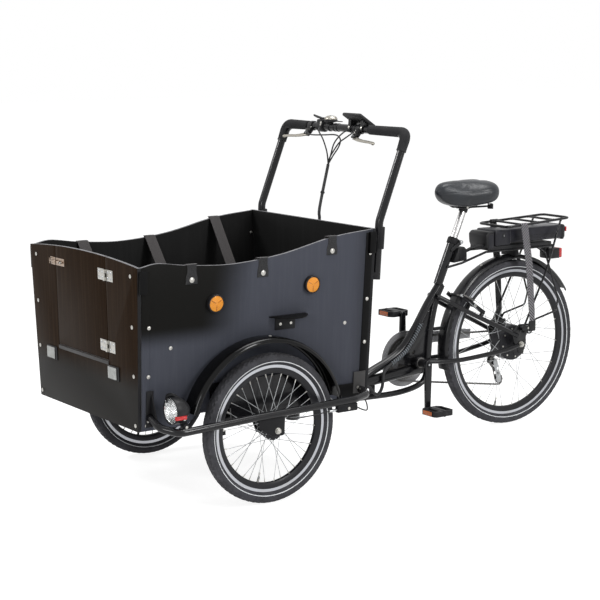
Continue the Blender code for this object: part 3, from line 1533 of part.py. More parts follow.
def chain_guard():
    """The translucent guard outside the chain, on a tab from the right stay."""
    y = CRANK_AXLE.y
    z = CRANK_AXLE.z
    disc = arc((y, z), 0.107, 62, 330, 24)
    tail = REAR_AXLE.y - GUARD_TAIL
    outline = disc + [(y + 0.105, z + 0.048), (tail - 0.004, z + 0.046), (tail, z + 0.082),
        (y + 0.105, z + 0.094)]
    x = CHAIN_X - 0.0125
    hole = arc((y, z), 0.030, 360, 24, 14)
    sheet = across(x, GUARD_T, "chain_guard", outline, (hole,))
    lip = flat(z + 0.0850, GUARD_T, "lip", [
        (x + 0.001, y + 0.130), (x + 0.014, y + 0.130), (x + 0.014, tail - 0.034), (x + 0.001,
            tail - 0.034)
    ])
    foot = height_on(chainstay_line(), y + TAB_Y + 0.012) + TAB_SEAT
    tab = block("tab", (x + 0.0005, y + TAB_Y, foot), (x + 0.0125, y + TAB_Y + 0.012, z + 0.0500))
    return finish(weld("chain_guard", [sheet, lip, tab]), "clear_grey_plastic")


def derailleur():
    """The gear mechanism's body and its sprung cage with two pulleys."""
    guide = REAR_AXLE.yz + Vector(CAGE_AXLE)
    tension = guide + Vector(TENSION_FROM_CAGE)
    hanger = REAR_AXLE.yz + Vector((0.003, -0.031))
    outer = DROPOUT_X + DROPOUT
    body = across(-outer - 0.0115, 0.011, "body", [
        (hanger.x + 0.011, hanger.y + 0.008), (hanger.x - 0.010, hanger.y + 0.010),
        (guide.x - 0.013, guide.y + 0.004), (guide.x - 0.008, guide.y - 0.011),
        (guide.x + 0.008, guide.y - 0.009), (hanger.x + 0.013, hanger.y - 0.010),
    ])
    pin = rod("pin", (-outer - 0.004, *guide), (-CAGE_PLATES[1] - CAGE_T - GAP, *guide), 0.0070, 12)
    finish(weld("derailleur_body", [body, pin]), "black_plastic")
    pieces = []
    way = (tension - guide).normalized()
    bearing = math.degrees(math.atan2(way.y, way.x))
    shape = arc(guide, 0.011, bearing + 90, bearing + 270, 6) + arc(tension, 0.011, bearing - 90,
        bearing + 90, 6)
    for x in CAGE_PLATES:
        pieces.append(across(-x - (CAGE_T if x > 0.055 else 0.0), CAGE_T, "cage", shape))
    for spot in (guide, tension):
        pieces.append(rod("bolt", (-CAGE_PLATES[0] + 0.0005, *spot), (-CAGE_PLATES[1] - 0.0005, *spot),
            0.0025, 8))
    finish(weld("derailleur_cage", pieces), "alloy")
    for name, spot in (("guide_pulley", guide), ("tension_pulley", tension)):
        ring = PULLEY_R * 0.92 - CHAIN_R - GAP
        disc = turned(name, [
            (CHAIN_X + 0.004, 0.003), (CHAIN_X - 0.004, 0.003), (CHAIN_X - 0.004,
                0.006), (CHAIN_X - 0.001, 0.007),
            (CHAIN_X - 0.001, ring), (CHAIN_X + 0.001, ring), (CHAIN_X + 0.001, 0.007), (CHAIN_X + 0.004,
                0.006),
        ], (0, *spot), 9)
        finish(disc, "black_plastic")


def brake_arm(name, side):
    """One arm of the rear rim brake, with its pad 2 mm from the rim."""
    angle = math.radians(BRAKE_ANGLE)
    outward_way = Vector((0, math.cos(angle), math.sin(angle)))
    away = Vector((0, math.sin(angle), -math.cos(angle)))
    place = Matrix(((1, 0, 0), outward_way, away)).transposed().to_4x4()
    place.translation = REAR_AXLE + away * 0.0140
    start = BRAKE_PIVOT_R
    eye = arc((BRAKE_X, start), 0.0085, 160, 380, 7)
    knee = start + 0.59 * BRAKE_ARM
    tip = start + BRAKE_ARM
    outline = eye + [(BRAKE_X + 0.006, knee), (BRAKE_X, tip), (BRAKE_X - 0.010, tip),
        (BRAKE_X - 0.006, knee)]
    hole = arc((BRAKE_X, start), 0.0040 + RUN, 360, 36, 9)
    arm = plate(name, outline, 0.010, place, (hole,))
    rim = REAR_WHEEL_R - TYRE_HEIGHT - 0.0085
    low = RIM_WIDTH / 2 + PAD_GAP
    pad = plate("pad", [(low, rim - 0.0055), (low + 0.009, rim - 0.0055), (low + 0.009, rim + 0.0055),
        (low, rim + 0.0055)], 0.055, place)
    stud = plate("stud", [(low + 0.007, rim - 0.003), (BRAKE_X, rim - 0.003), (BRAKE_X, rim + 0.003),
        (low + 0.007, rim + 0.003)], 0.006, place)
    return sided(weld(name, [arm, stud, pad]), name, side, "black_plastic")


def build_rear():
    """The rear frame, wheel, drive and brake."""
    main_frame()
    rear_triangle("rear_triangle_left", 1)
    rear_triangle("rear_triangle_right", -1)
    rear_axle()
    tyre("rear_tyre", REAR_AXLE, REAR_WHEEL_R)
    flange = MOTOR_HALF - 0.012
    wheel("rear_wheel", REAR_AXLE, REAR_WHEEL_R, motor_hub(),
        ((-flange, MOTOR_R - 0.004), (flange, MOTOR_R - 0.004)))
    cassette()
    chain()
    crank_right()
    crank_left()
    pedal("pedal_right", -1, 1)
    pedal("pedal_left", 1, -1)
    chain_guard()
    derailleur()
    brake_arm("rear_brake_arm_left", 1)
    brake_arm("rear_brake_arm_right", -1)


def rack_half(y):
    """Half the platform's width at a place along it."""
    share = (y - RACK_START) / RACK_LENGTH
    return RACK_FRONT_HALF + (RACK_REAR_HALF - RACK_FRONT_HALF) * share


def rear_rack():
    """The welded wire rack: platform, lower rods, stays and feet."""
    last = RACK_START + RACK_LENGTH
    top = RACK_TOP - REAR_AXLE.z
    deck = LOWER_DECK - REAR_AXLE.z
    path = []
    for y, z, side in ((RACK_START, top - 0.006, 1), (last, top + 0.010, 1), (last, top + 0.010, -1),
        (RACK_START, top - 0.006, -1)):
        path.append(by_axle(side * rack_half(y), y, z))
    pieces = [tube("platform", bent([(path[0] + path[-1]) / 2, *path, (path[0] + path[-1]) / 2], 0.022,
        2)[:-1], RACK_R, 1, True)]
    for share in (0.33, 0.66):
        y = RACK_START + RACK_LENGTH * share
        z = top - 0.006 + 0.016 * share
        pieces.append(rod("bar", by_axle(-rack_half(y), y, z), by_axle(rack_half(y), y, z),
            RACK_R - 0.0006, 6))
    for side in (1, -1):
        x = side * 0.046
        front = seat_top() - seat_way() * 0.118
        pieces.append(tube("lower", bent([
            front + Vector((side * (SEAT_TUBE_R + RACK_R), 0, 0)), by_axle(x, -0.286, deck - 0.033),
            by_axle(x, -0.165, deck), by_axle(x, 0.190, deck),
        ], 0.02, 1), RACK_R - 0.0004, 1))
        pieces.append(tube("rod", bent([
            by_axle(side * 0.091, -0.004, 0.066), by_axle(side * 0.089, 0.115, 0.288),
            by_axle(side * rack_half(0.195), 0.195, top + 0.004),
        ], 0.03, 1), RACK_R - 0.0008, 1))
        pieces.append(tube("wire", bent([
            by_axle(side * 0.091, 0.040, 0.068), by_axle(side * 0.091, 0.056,
                0.096), by_axle(side * 0.091, 0.168, 0.120),
            by_axle(side * 0.088, 0.180, 0.170), by_axle(side * 0.082, 0.112,
                deck - 0.020), by_axle(side * 0.046, 0.100, deck),
        ], 0.018, 1), RACK_R - 0.0011, 0))
        low, high = sorted((side * (DROPOUT_X + DROPOUT + GAP), side * 0.096))
        pieces.append(block("foot", by_axle(low, -0.010, 0.058), by_axle(high, 0.046, 0.074)))
    pieces.append(rod("tail", by_axle(-0.046, 0.190, deck), by_axle(0.046, 0.190, deck), RACK_R - 0.0002,
        6))
    return finish(weld("rear_rack", pieces), "black_frame_paint")


def battery_parts():
    """The battery, the rail and front case that it slides off, and the box behind the seat tube."""
    deck = LOWER_DECK - REAR_AXLE.z + RACK_R
    low = deck + DOCK_RAIL
    front = RACK_START - 0.040
    rail = block("battery_dock", by_axle(-0.052, front - 0.034, deck), by_axle(0.052, front + 0.300, low))
    case = block("case", by_axle(-0.052, front - 0.040, deck + 0.001),
        by_axle(0.052, front - GAP, low + 0.054), 0.006)
    finish(weld("battery_dock", [rail, case]), "black_plastic")
    body = block(
        "battery", by_axle(-BATTERY_HALF, front, low + GAP),
        by_axle(BATTERY_HALF, front + BATTERY_LENGTH + 0.022, low + GAP + BATTERY_HEIGHT), 0.009,
    )
    cap = block(
        "cap", by_axle(-BATTERY_HALF - 0.002, front + BATTERY_LENGTH, low + GAP + 0.004),
        by_axle(BATTERY_HALF + 0.002, front + BATTERY_LENGTH + 0.012, low + GAP + BATTERY_HEIGHT + 0.001),
    )
    finish(weld("battery", [body, cap]), "battery_case")
    way = seat_way()
    start = seat_top() - way * 0.094
    side_step = Vector((0, way.z, -way.y)) * (SEAT_TUBE_R + 0.0008)
    first = start + side_step
    second = seat_top() - way * 0.034 + side_step
    box = across(-0.028, 0.056, "controller_box", [
        (first.y, first.z), (second.y, second.z), (second.y + 0.030,
            second.z + 0.004), (second.y + 0.042, first.z + 0.006),
    ])
    finish(box, "black_plastic")


def rear_light():
    """The light under the rack's tail."""
    deck = LOWER_DECK - REAR_AXLE.z - RACK_R
    body = block("rear_light", by_axle(-0.030, 0.196, deck - 0.052), by_axle(0.030, 0.252, deck - 0.010),
        0.004)
    lens = block("lens", by_axle(-0.026, 0.250, deck - 0.050), by_axle(0.026, 0.268, deck - 0.012), 0.003)
    neck = block("neck", by_axle(-0.012, 0.180, deck - 0.040), by_axle(0.012, 0.202, deck))
    return finish(weld("rear_light", [body, lens, neck]), "red_lens")


def rear_mudguard():
    """The rear mudguard with a lug to the frame and one to the rack."""
    radius = REAR_WHEEL_R + GUARD_GAP
    half = 0.0275
    profile = [
        (-half, radius - 0.014), (-half + 0.006, radius - 0.003), (-half + 0.016, radius),
        (half - 0.016, radius), (half - 0.006, radius - 0.003), (half, radius - 0.014),
    ]
    sheet = swept(profile, REAR_AXLE, 33, 192, 13, GUARD_T)
    y = 0.0868 - (REAR_AXLE.y - CRANK_AXLE.y)
    lug = block("lug", by_axle(-0.007, y, 0.083), by_axle(0.007, y + 0.056, 0.095))
    deck = LOWER_DECK - REAR_AXLE.z
    bridge = block("bridge", by_axle(-0.041 + GAP, -0.010, radius - 0.002),
        by_axle(0.041 - GAP, 0.010, deck + 0.003))
    return finish(weld("rear_mudguard", [sheet, lug, bridge]), "gloss_fender")


def carrier_strap(name, side):
    """An elastic luggage strap that hangs down a side of the rack."""
    y = REAR_AXLE.y
    z = REAR_AXLE.z
    band = STRAP_BAND / 2
    outline = [
        (y - 0.010 - band, z + 0.474), (y - 0.010 + band, z + 0.474), (y + 0.018 + band, z + 0.312),
        (y + 0.036 + band * 0.8, z + 0.120), (y + 0.044, z + 0.066), (y + 0.034, z + 0.066),
        (y + 0.034 - band * 0.8, z + 0.120), (y + 0.018 - band, z + 0.312),
    ]
    strap = across(0.0965, 0.0024, name, outline)
    share = (0.474 - 0.070)
    edge = rack_half(-0.010) + RACK_R + 0.0007
    slant = Matrix.Identity(4)
    slant[0][2] = (edge - 0.0965) / share
    slant[0][3] = -slant[0][2] * (z + 0.070)
    strap.data.transform(slant)
    return sided(outward(strap), name, side, "grey_webbing")


def seat_post():
    """The polished post, in the seat tube."""
    top = seat_top()
    return finish(rod("seat_post", top - seat_way() * POST_INSIDE, top + seat_way() * POST_SHOWS, POST_R,
        16), "alloy")


def saddle():
    """A wide padded saddle with a crown, narrow nose and drawn-in sides."""
    stations = (
        (-0.168, 0.018, 0.026, 0.014), (-0.148, 0.031, 0.046, 0.003), (-0.070, 0.047, 0.062, -0.011),
        (0.015, 0.086, 0.074, -0.026), (0.070, 0.112, 0.088, -0.036),
        (0.105, 0.108, 0.086, -0.038), (0.122, 0.080, 0.056, -0.022),
    )
    ring = ((0.0, 0.0), (0.62, 0.0), (0.90, 0.10), (1.0, 0.42), (0.93, 0.76), (0.64, 0.96), (0.0, 1.0))
    centre = saddle_centre()
    work = bmesh.new()
    rows = []
    for y, half, height, low in stations:
        shape = [(x, z) for x, z in ring] + [(-x, z) for x, z in reversed(ring[1:-1])]
        rows.append([work.verts.new((centre.x + x * half, centre.y + y,
            centre.z + low + z * height)) for x, z in shape])
    count = len(rows[0])
    for near, far in zip(rows, rows[1:]):
        for i in range(count):
            work.faces.new((near[i], near[(i + 1) % count], far[(i + 1) % count], far[i]))
    work.faces.new(rows[0])
    work.faces.new(reversed(rows[-1]))
    mesh = bpy.data.meshes.new("saddle")
    work.to_mesh(mesh)
    work.free()
    item = new_object("saddle", mesh)
    smoothing = item.modifiers.new("padding", "SUBSURF")
    smoothing.levels = 1
    smoothing.render_levels = 1
    apply_modifiers(item)
    return finish(outward(item), "saddle_vinyl", 80.0)


def saddle_centre():
    """The middle of the saddle's base."""
    return seat_top() + seat_way() * POST_SHOWS + Vector((0, 0.018, 0.066))


def saddle_frame():
    """The rails and clamp under the saddle."""
    head = seat_top() + seat_way() * (POST_SHOWS + GAP)
    pieces = [rod("clamp", head, head + seat_way() * 0.028, 0.017, 10)]
    centre = saddle_centre()
    for side in (1, -1):
        pieces.append(tube("rail", bent([
            centre + Vector((side * 0.012, -0.115, -0.012)), centre + Vector((side * 0.020, -0.050,
                -0.048)),
            centre + Vector((side * 0.022, 0.035, -0.048)), centre + Vector((side * 0.045, 0.083,
                -0.046)),
        ], 0.02, 1), 0.0036, 0))
        pieces.append(rod(
            "spring", centre + Vector((side * 0.045, 0.083, -0.055)), centre + Vector((side * 0.045,
                0.083, -0.0366)), 0.011, 8
        ))
    pieces.append(block("yoke", centre + Vector((-0.024, -0.034, -0.054)),
        centre + Vector((0.024, 0.0, -0.040))))
    return finish(weld("saddle_frame", pieces), "black_plastic")


def seat_clamp_lever():
    """The quick-release lever on the left of the seat tube's collar."""
    base = clamp_bolt()
    x = 0.015 + GAP
    hub = rod("hub", base + Vector((x, 0, 0)), base + Vector((x + 0.012, 0, 0)), 0.0075, 10)
    arm = across(x + 0.0065, 0.005, "arm", [
        (base.y - 0.006, base.z + 0.003), (base.y - 0.048, base.z - 0.022), (base.y - 0.044,
            base.z - 0.034), (base.y + 0.003, base.z - 0.006),
    ])
    return finish(weld("seat_clamp_lever", [hub, arm]), "alloy")


def frame_cables():
    """The wrapped bundle from the kingpin along the beam, with its slack loop, to the crank."""
    path = [
        by_crank(0.026, KINGPIN_Y - CRANK_AXLE.y + 0.110, -0.052), by_crank(0.0262, -0.420,
            beam_drop(-0.420)),
        by_crank(0.0262, -0.265, beam_drop(-0.265) - 0.002), by_crank(0.028, -0.215,
            -0.092), by_crank(0.028, -0.195, -0.096),
        by_crank(0.028, -0.178, -0.070), by_crank(0.026, -0.170, -0.020), by_crank(0.0235, -0.130, 0.010),
        by_crank(0.0235, -0.070, 0.046), by_crank(0.0235, -0.030, 0.090), by_crank(0.024, 0.010, 0.150),
    ]
    return finish(tube("frame_cables", through(path, 2), 0.0060, 1), "black_plastic")


def build_carrier():
    """The rack, battery, light, mudguard, straps, seat and cables."""
    rear_rack()
    battery_parts()
    rear_light()
    rear_mudguard()
    carrier_strap("carrier_strap_left", 1)
    carrier_strap("carrier_strap_right", -1)
    seat_post()
    saddle()
    saddle_frame()
    seat_clamp_lever()
    frame_cables()


def build_pivots():
    """An empty on each joint's axis, which carries the pieces that the joint moves."""
    front = pivot("front_module_pivot", (0, KINGPIN_Y, head_top()), FRONT_NODES)
    for side, word in ((1, "left"), (-1, "right")):
        pivot("front_wheel_%s_pivot" % word, (side * WHEEL_X, FRONT_Y, FRONT_WHEEL_R),
            ["front_tyre_" + word, "front_wheel_" + word], front)
        x = LEVER_LEFT_X if side > 0 else LEVER_RIGHT_X
        pivot("brake_lever_%s_pivot" % word, lever_place(x) @ Vector((0, LEVER_REACH, 0)),
            ["brake_lever_" + word], front)
        pivot("rear_brake_%s_pivot" % word, brake_pin(side), ["rear_brake_arm_" + word])
    shift_x = (SHIFTER_X[0] + SHIFTER_X[1]) / 2
    pivot("shift_lever_pivot", (shift_x, bar_y(), bar_z() + SHIFTER_TOP), ["shift_lever"], front)
    pivot("bell_lever_pivot", bell_pin(), ["bell_lever"], front)
    hinge = pivot("door_pivot", (DOOR_X1, BOX_Y0 - HINGE_OUT, BOX_Z), ["door"], front)
    pivot("door_latch_pivot", (DOOR_X0, latch_y(), BOX_Z + LATCH_RISE), ["door_latch"], hinge)
    pivot("rear_wheel_pivot", REAR_AXLE, ["rear_tyre", "rear_wheel"])
    pivot("cassette_pivot", REAR_AXLE, ["cassette"])
    crank = pivot("crank_pivot", CRANK_AXLE, ["crank_right", "crank_left"])
    pivot("pedal_left_pivot", by_crank(CRANK_OUT, 0, -CRANK), ["pedal_left"], crank)
    pivot("pedal_right_pivot", by_crank(-CRANK_OUT, 0, CRANK), ["pedal_right"], crank)
    guide, tension = [circle[0] for circle in drive_circles()[2:]]
    cage = pivot("derailleur_cage_pivot", (CHAIN_X, *guide), ["derailleur_cage"])
    pivot("guide_pulley_pivot", (CHAIN_X, *guide), ["guide_pulley"], cage)
    pivot("tension_pulley_pivot", (CHAIN_X, *tension), ["tension_pulley"], cage)
    pivot("seat_pivot", seat_top(), ["seat_post", "saddle", "saddle_frame"])
    pivot("seat_clamp_pivot", clamp_bolt(), ["seat_clamp_lever"])
    pivot("battery_pivot", by_axle(0, RACK_START, LOWER_DECK - REAR_AXLE.z), ["battery"])


def main():
    """Build every part in order."""
    clear_scene()
    make_materials()
    build_box()
    build_front()
    build_controls()
    build_rear()
    build_carrier()
    build_pivots()


main()
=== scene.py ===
"""Visual model of an electric cargo tricycle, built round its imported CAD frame.

Metres, +Z up. The front is at -Y and the rider's left side is at +X.
"""

import logging
import math
from contextlib import contextmanager
from dataclasses import dataclass
from enum import Enum
from typing import Callable, Iterable, Iterator, Sequence

import bpy
from mathutils import Matrix, Vector


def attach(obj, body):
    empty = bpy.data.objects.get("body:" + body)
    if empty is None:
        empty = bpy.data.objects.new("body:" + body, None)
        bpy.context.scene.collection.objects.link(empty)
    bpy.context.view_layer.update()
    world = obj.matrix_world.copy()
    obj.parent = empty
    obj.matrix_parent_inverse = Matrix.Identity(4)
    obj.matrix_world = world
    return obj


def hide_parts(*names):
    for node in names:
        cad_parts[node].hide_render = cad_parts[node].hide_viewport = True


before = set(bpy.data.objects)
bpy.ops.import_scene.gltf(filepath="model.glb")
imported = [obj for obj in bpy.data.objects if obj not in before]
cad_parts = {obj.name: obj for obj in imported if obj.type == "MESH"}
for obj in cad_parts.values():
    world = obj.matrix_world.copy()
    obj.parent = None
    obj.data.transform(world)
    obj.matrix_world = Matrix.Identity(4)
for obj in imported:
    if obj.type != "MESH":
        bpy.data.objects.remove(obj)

LOG = logging.getLogger("cargo_tricycle")
SAME_SPOT = 0.00002  # corners nearer to each other than this are merged
ROUND = 60.0  # edges of tubes that turn by fewer degrees than this shade smoothly
HERE = Matrix.Identity(4)  # leaves a drawing where it is drawn
Point = Sequence[float]
Item = bpy.types.Object
Test = Callable[[Vector, Vector], bool]


class Side(Enum):
    """The rider's left or right."""

    LEFT = 1
    RIGHT = -1

    @property
    def word(self) -> str:
        """The side's name in node and body names."""
        return self.name.lower()


class Signal:
    """A node's output that written maths can use."""

    def __init__(self, painter: "Painter", socket: bpy.types.NodeSocket) -> None:
        """Hold a socket and the painter that made it.

        Args:
            painter: The painter of the material.
            socket: The output to use.
        """
        self.painter = painter
        self.socket = socket

    def maths(self, operation: str, *values: "Signal | float") -> "Signal":
        """Add a Math node on this signal.

        Args:
            operation: The Math node's operation.
            values: The other operands.

        Returns:
            The result as a signal.
        """
        return self.painter.node("ShaderNodeMath", {"operation": operation}, (self, *values))

    def __add__(self, other: "Signal | float") -> "Signal":
        """Sum."""
        return self.maths("ADD", other)

    __radd__ = __add__

    def __sub__(self, other: "Signal | float") -> "Signal":
        """Difference."""
        return self.maths("SUBTRACT", other)

    def __rsub__(self, other: float) -> "Signal":
        """Difference from a number."""
        return self * -1.0 + other

    def __mul__(self, other: "Signal | float") -> "Signal":
        """Product."""
        return self.maths("MULTIPLY", other)

    __rmul__ = __mul__

    def __truediv__(self, other: "Signal | float") -> "Signal":
        """Quotient."""
        return self.maths("DIVIDE", other)

    def __gt__(self, other: "Signal | float") -> "Signal":
        """One where this signal is greater, and else zero."""
        return self.maths("GREATER_THAN", other)

    def __abs__(self) -> "Signal":
        """Size without sign."""
        return self.maths("ABSOLUTE")

    def sine(self) -> "Signal":
        """Sine of the signal."""
        return self.maths("SINE")

    def between(self, low: float, high: float) -> "Signal":
        """Ramp from zero to one between two values.

        Args:
            low: Where the ramp is zero.
            high: Where the ramp is one.

        Returns:
            The smooth ramp.
        """
        settings = {"interpolation_type": "SMOOTHSTEP"}
        return self.painter.node("ShaderNodeMapRange", settings, {0: self, 1: low, 2: high})


class Painter:
    """Writes one material's nodes."""

    def __init__(self, tree: bpy.types.NodeTree) -> None:
        """Start on an empty tree.

        Args:
            tree: The material's node tree.
        """
        self.tree = tree
        self.tree.nodes.clear()

    def node(
        self, kind: str, settings: dict | None = None, values: dict | Sequence = (), out: int | str = 0
    ) -> Signal:
        """Add a node, set it, and feed it.

        Args:
            kind: The node's type.
            settings: Its own settings, or a ramp's stops.
            values: Numbers, colours or signals for its sockets, by number or name.
            out: Which output to give back.

        Returns:
            The output as a signal.
        """
        made = self.tree.nodes.new(kind)
        for key, value in (settings or {}).items():
            if key == "stops":
                self.set_stops(made.color_ramp, value)
            else:
                setattr(made, key, value)
        pairs = values.items() if isinstance(values, dict) else enumerate(values)
        for key, value in pairs:
            socket = made.inputs[key]
            if isinstance(value, Signal):
                self.tree.links.new(value.socket, socket)
            elif socket.type == "RGBA":
                socket.default_value = (*value[:3], 1.0)
            else:
                socket.default_value = value
        return Signal(self, made.outputs[out])

    @staticmethod
    def set_stops(ramp: bpy.types.ColorRamp, stops: Sequence[tuple[float, Point]]) -> None:
        """Give a ramp its stops.

        Args:
            ramp: The colour ramp.
            stops: Place and colour of each stop, in order.
        """
        while len(ramp.elements) < len(stops):
            ramp.elements.new(0.5)
        for element, (place, colour) in zip(ramp.elements, stops):
            element.position = place
            element.color = (*colour, 1.0)

    def coords(self, centre: Point = (0, 0, 0), turn: Point = (0, 0, 0), unit: Point = (1, 1, 1)) -> Signal:
        """Object coordinates measured from a place.

        Args:
            centre: The place that becomes the origin.
            turn: Rotation of the pattern in radians.
            unit: Size of one pattern unit along each axis.

        Returns:
            The mapped vector.
        """
        spot = self.node("ShaderNodeTexCoord", out="Object")
        settings = {"vector_type": "TEXTURE"}
        return self.node("ShaderNodeMapping", settings, {0: spot, 1: centre, 2: turn, 3: unit})

    def split(self, vector: Signal) -> tuple[Signal, Signal, Signal]:
        """The three numbers of a vector.

        Args:
            vector: The vector.

        Returns:
            X, Y and Z as signals.
        """
        first = self.node("ShaderNodeSeparateXYZ", values=(vector,))
        outputs = first.socket.node.outputs
        return first, Signal(self, outputs[1]), Signal(self, outputs[2])

    def noise(self, where: Signal, scale: float, detail: float = 3.0, rough: float = 0.55) -> Signal:
        """A noise between zero and one."""
        values = {"Vector": where, "Scale": scale, "Detail": detail, "Roughness": rough}
        return self.node("ShaderNodeTexNoise", values=values)

    def cells(self, where: Signal, scale: float) -> Signal:
        """Distance to the nearest cell's middle."""
        return self.node("ShaderNodeTexVoronoi", values={"Vector": where, "Scale": scale})

    def mix(self, share: Signal | float, first: Signal | Point, second: Signal | Point) -> Signal:
        """A colour between two colours."""
        return self.node("ShaderNodeMix", {"data_type": "RGBA"}, {0: share, 6: first, 7: second}, out=2)

    def bump(self, height: Signal, depth: float, strength: float = 1.0) -> Signal:
        """A normal from a height in metres."""
        return self.node(
            "ShaderNodeBump", values={"Strength": strength, "Distance": depth, "Height": height}
        )

    def surface(
        self, colour: Signal | Point, roughness: Signal | float, normal: Signal | None = None,
        **fixed: object,
    ) -> None:
        """End the material in a Principled shader.

        Args:
            colour: Base colour.
            roughness: Roughness.
            normal: Normal, where the surface has relief.
            fixed: Other sockets by name, with underscores for blanks.
        """
        values = {"Base Color": colour, "Roughness": roughness}
        if normal is not None:
            values["Normal"] = normal
        for key, value in fixed.items():
            values[key.replace("_", " ")] = value
        shader = self.node("ShaderNodeBsdfPrincipled", values=values)
        self.node_end(shader)

    def node_end(self, shader: Signal) -> None:
        """Join a shader to the material's output."""
        end = self.tree.nodes.new("ShaderNodeOutputMaterial")
        self.tree.links.new(shader.socket, end.inputs["Surface"])


@dataclass(frozen=True)
class Finish:
    """A surface that pieces can have, with the record's slot that it belongs to."""

    name: str
    slot: str
    colour: tuple[float, float, float]
    roughness: float

    def paint(self, painter: Painter) -> None:
        """Write the nodes; each kind of finish has its own.

        Args:
            painter: The painter of the new material.
        """
        raise NotImplementedError

    def material(self) -> bpy.types.Material:
        """The material, made when it is first asked for.

        Returns:
            The material.
        """
        if self.name not in MADE:
            made = bpy.data.materials.new(self.name)
            made.use_nodes = True
            self.paint(Painter(made.node_tree))
            made.diffuse_color = (*self.colour, 1.0)
            MADE[self.name] = made
        return MADE[self.name]


MADE: dict[str, bpy.types.Material] = {}


def shade_of(colour: Point, factor: float) -> tuple[float, ...]:
    """A colour made lighter or darker by a factor."""
    return tuple(min(1.0, part * factor) for part in colour)


@dataclass(frozen=True)
class Lacquer(Finish):
    """Sprayed or powder-coated paint with a faint orange peel and some dust."""

    coat: float = 0.1
    specular: float = 0.18
    dust: float = 0.35

    def paint(self, painter: Painter) -> None:
        """Write the paint's nodes.

        Args:
            painter: The painter of the new material.
        """
        where = painter.coords()
        cloud = painter.noise(where, 9.0, 4.0)
        speck = painter.noise(where, 260.0, 2.0)
        colour = painter.mix(cloud.between(0.35, 0.75) * self.dust, self.colour, shade_of(self.colour, 2.2))
        rough = self.roughness + cloud * 0.1 + speck * 0.04
        normal = painter.bump(painter.noise(where, 420.0, 1.0), 0.0001, 0.35)
        painter.surface(
            colour, rough, normal, Coat_Weight=self.coat, Coat_Roughness=0.06,
            Specular_IOR_Level=self.specular,
        )


@dataclass(frozen=True)
class Film(Finish):
    """Smooth phenolic film on plywood: faint upright grain, a painted dark reflection towards the upper
    front and the rear where given, and a foot of another colour below a set height where given.
    """

    streak: tuple[float, float, float] = (0.05, 0.05, 0.05)
    specular: float = 0.1
    painted_dark_reflection: tuple[float, float, float] | None = None
    foot: tuple[float, float, float] | None = None
    # Where the painted dark reflection lies: towards the front high up, and towards the rear.
    front_fade: tuple[float, float] = (-0.71, -0.9)
    front_rise: tuple[float, float] = (0.54, 0.615)
    rear_fade: tuple[float, float] = (-0.28, -0.19)
    foot_rise: tuple[float, float] = (0.42, 0.52)

    def paint(self, painter: Painter) -> None:
        """Write the film's nodes.

        Args:
            painter: The painter of the new material.
        """
        grain = painter.noise(painter.coords(unit=(0.012, 0.012, 0.55)), 1.0, 4.0, 0.6)
        fine = painter.noise(painter.coords(unit=(0.0022, 0.0022, 0.09)), 1.0, 3.0, 0.6)
        cloud = painter.noise(painter.coords(), 3.0, 3.0)
        colour = painter.mix(grain.between(0.42, 0.68), self.colour, self.streak)
        _, y, z = painter.split(painter.coords())
        # Painted dark reflection: darker towards the panel's upper front, and at 0.45 of that strength
        # towards its rear.
        if self.painted_dark_reflection:
            front = (y - (z - 0.6) * 0.3 - cloud * 0.05).between(*self.front_fade)
            front = front * z.between(*self.front_rise)
            rear = y.between(*self.rear_fade) * 0.45
            colour = painter.mix(front * 0.97 + rear, colour, self.painted_dark_reflection)
        if self.foot:
            colour = painter.mix((z + cloud * 0.04).between(*self.foot_rise), self.foot, colour)
        rough = self.roughness + cloud * 0.08 + fine * 0.05
        relief = painter.bump(fine * 0.6 + grain * 0.4, 0.00015, 0.4)
        painter.surface(colour, rough, relief, Specular_IOR_Level=self.specular)


@dataclass(frozen=True)
class PlyEdge(Finish):
    """A painted plywood edge where the layers show as fine lines."""

    def paint(self, painter: Painter) -> None:
        """Write the edge's nodes.

        Args:
            painter: The painter of the new material.
        """
        where = painter.coords()
        rub = painter.noise(where, 26.0, 5.0, 0.7)
        layers = painter.noise(painter.coords(unit=(0.0016, 0.0016, 0.0016)), 1.0, 1.0)
        colour = painter.mix(rub.between(0.35, 0.7), self.colour, shade_of(self.colour, 1.7))
        painter.surface(colour, self.roughness, painter.bump(layers, 0.0003, 0.5), Specular_IOR_Level=0.3)


@dataclass(frozen=True)
class Rubber(Finish):
    """Tyre or grip rubber with a dusty grey bloom."""

    grain: float = 900.0

    def paint(self, painter: Painter) -> None:
        """Write the rubber's nodes.

        Args:
            painter: The painter of the new material.
        """
        where = painter.coords()
        dust = painter.noise(where, 14.0, 5.0, 0.65)
        colour = painter.mix(dust.between(0.35, 0.75), self.colour, shade_of(self.colour, 1.9))
        relief = painter.bump(painter.noise(where, self.grain, 2.0), 0.0002, 0.5)
        painter.surface(colour, self.roughness + dust * 0.1, relief, Specular_IOR_Level=0.25)


@dataclass(frozen=True)
class Metal(Finish):
    """Bare metal, brushed along one axis, with dull spots."""

    brush: tuple[float, float, float] = (0.003, 0.0003, 0.0003)
    tint: tuple[float, float, float] = (0.42, 0.42, 0.41)
    spots: float = 0.4

    def paint(self, painter: Painter) -> None:
        """Write the metal's nodes.

        Args:
            painter: The painter of the new material.
        """
        lines = painter.noise(painter.coords(unit=self.brush), 1.0, 3.0)
        dull = painter.noise(painter.coords(), 40.0, 4.0, 0.65).between(0.45, 0.75) * self.spots
        colour = painter.mix(dull, self.colour, self.tint)
        rough = self.roughness + dull * 0.22 + lines * 0.1
        painter.surface(colour, rough, painter.bump(lines, 0.00006, 0.3), Metallic=1.0)


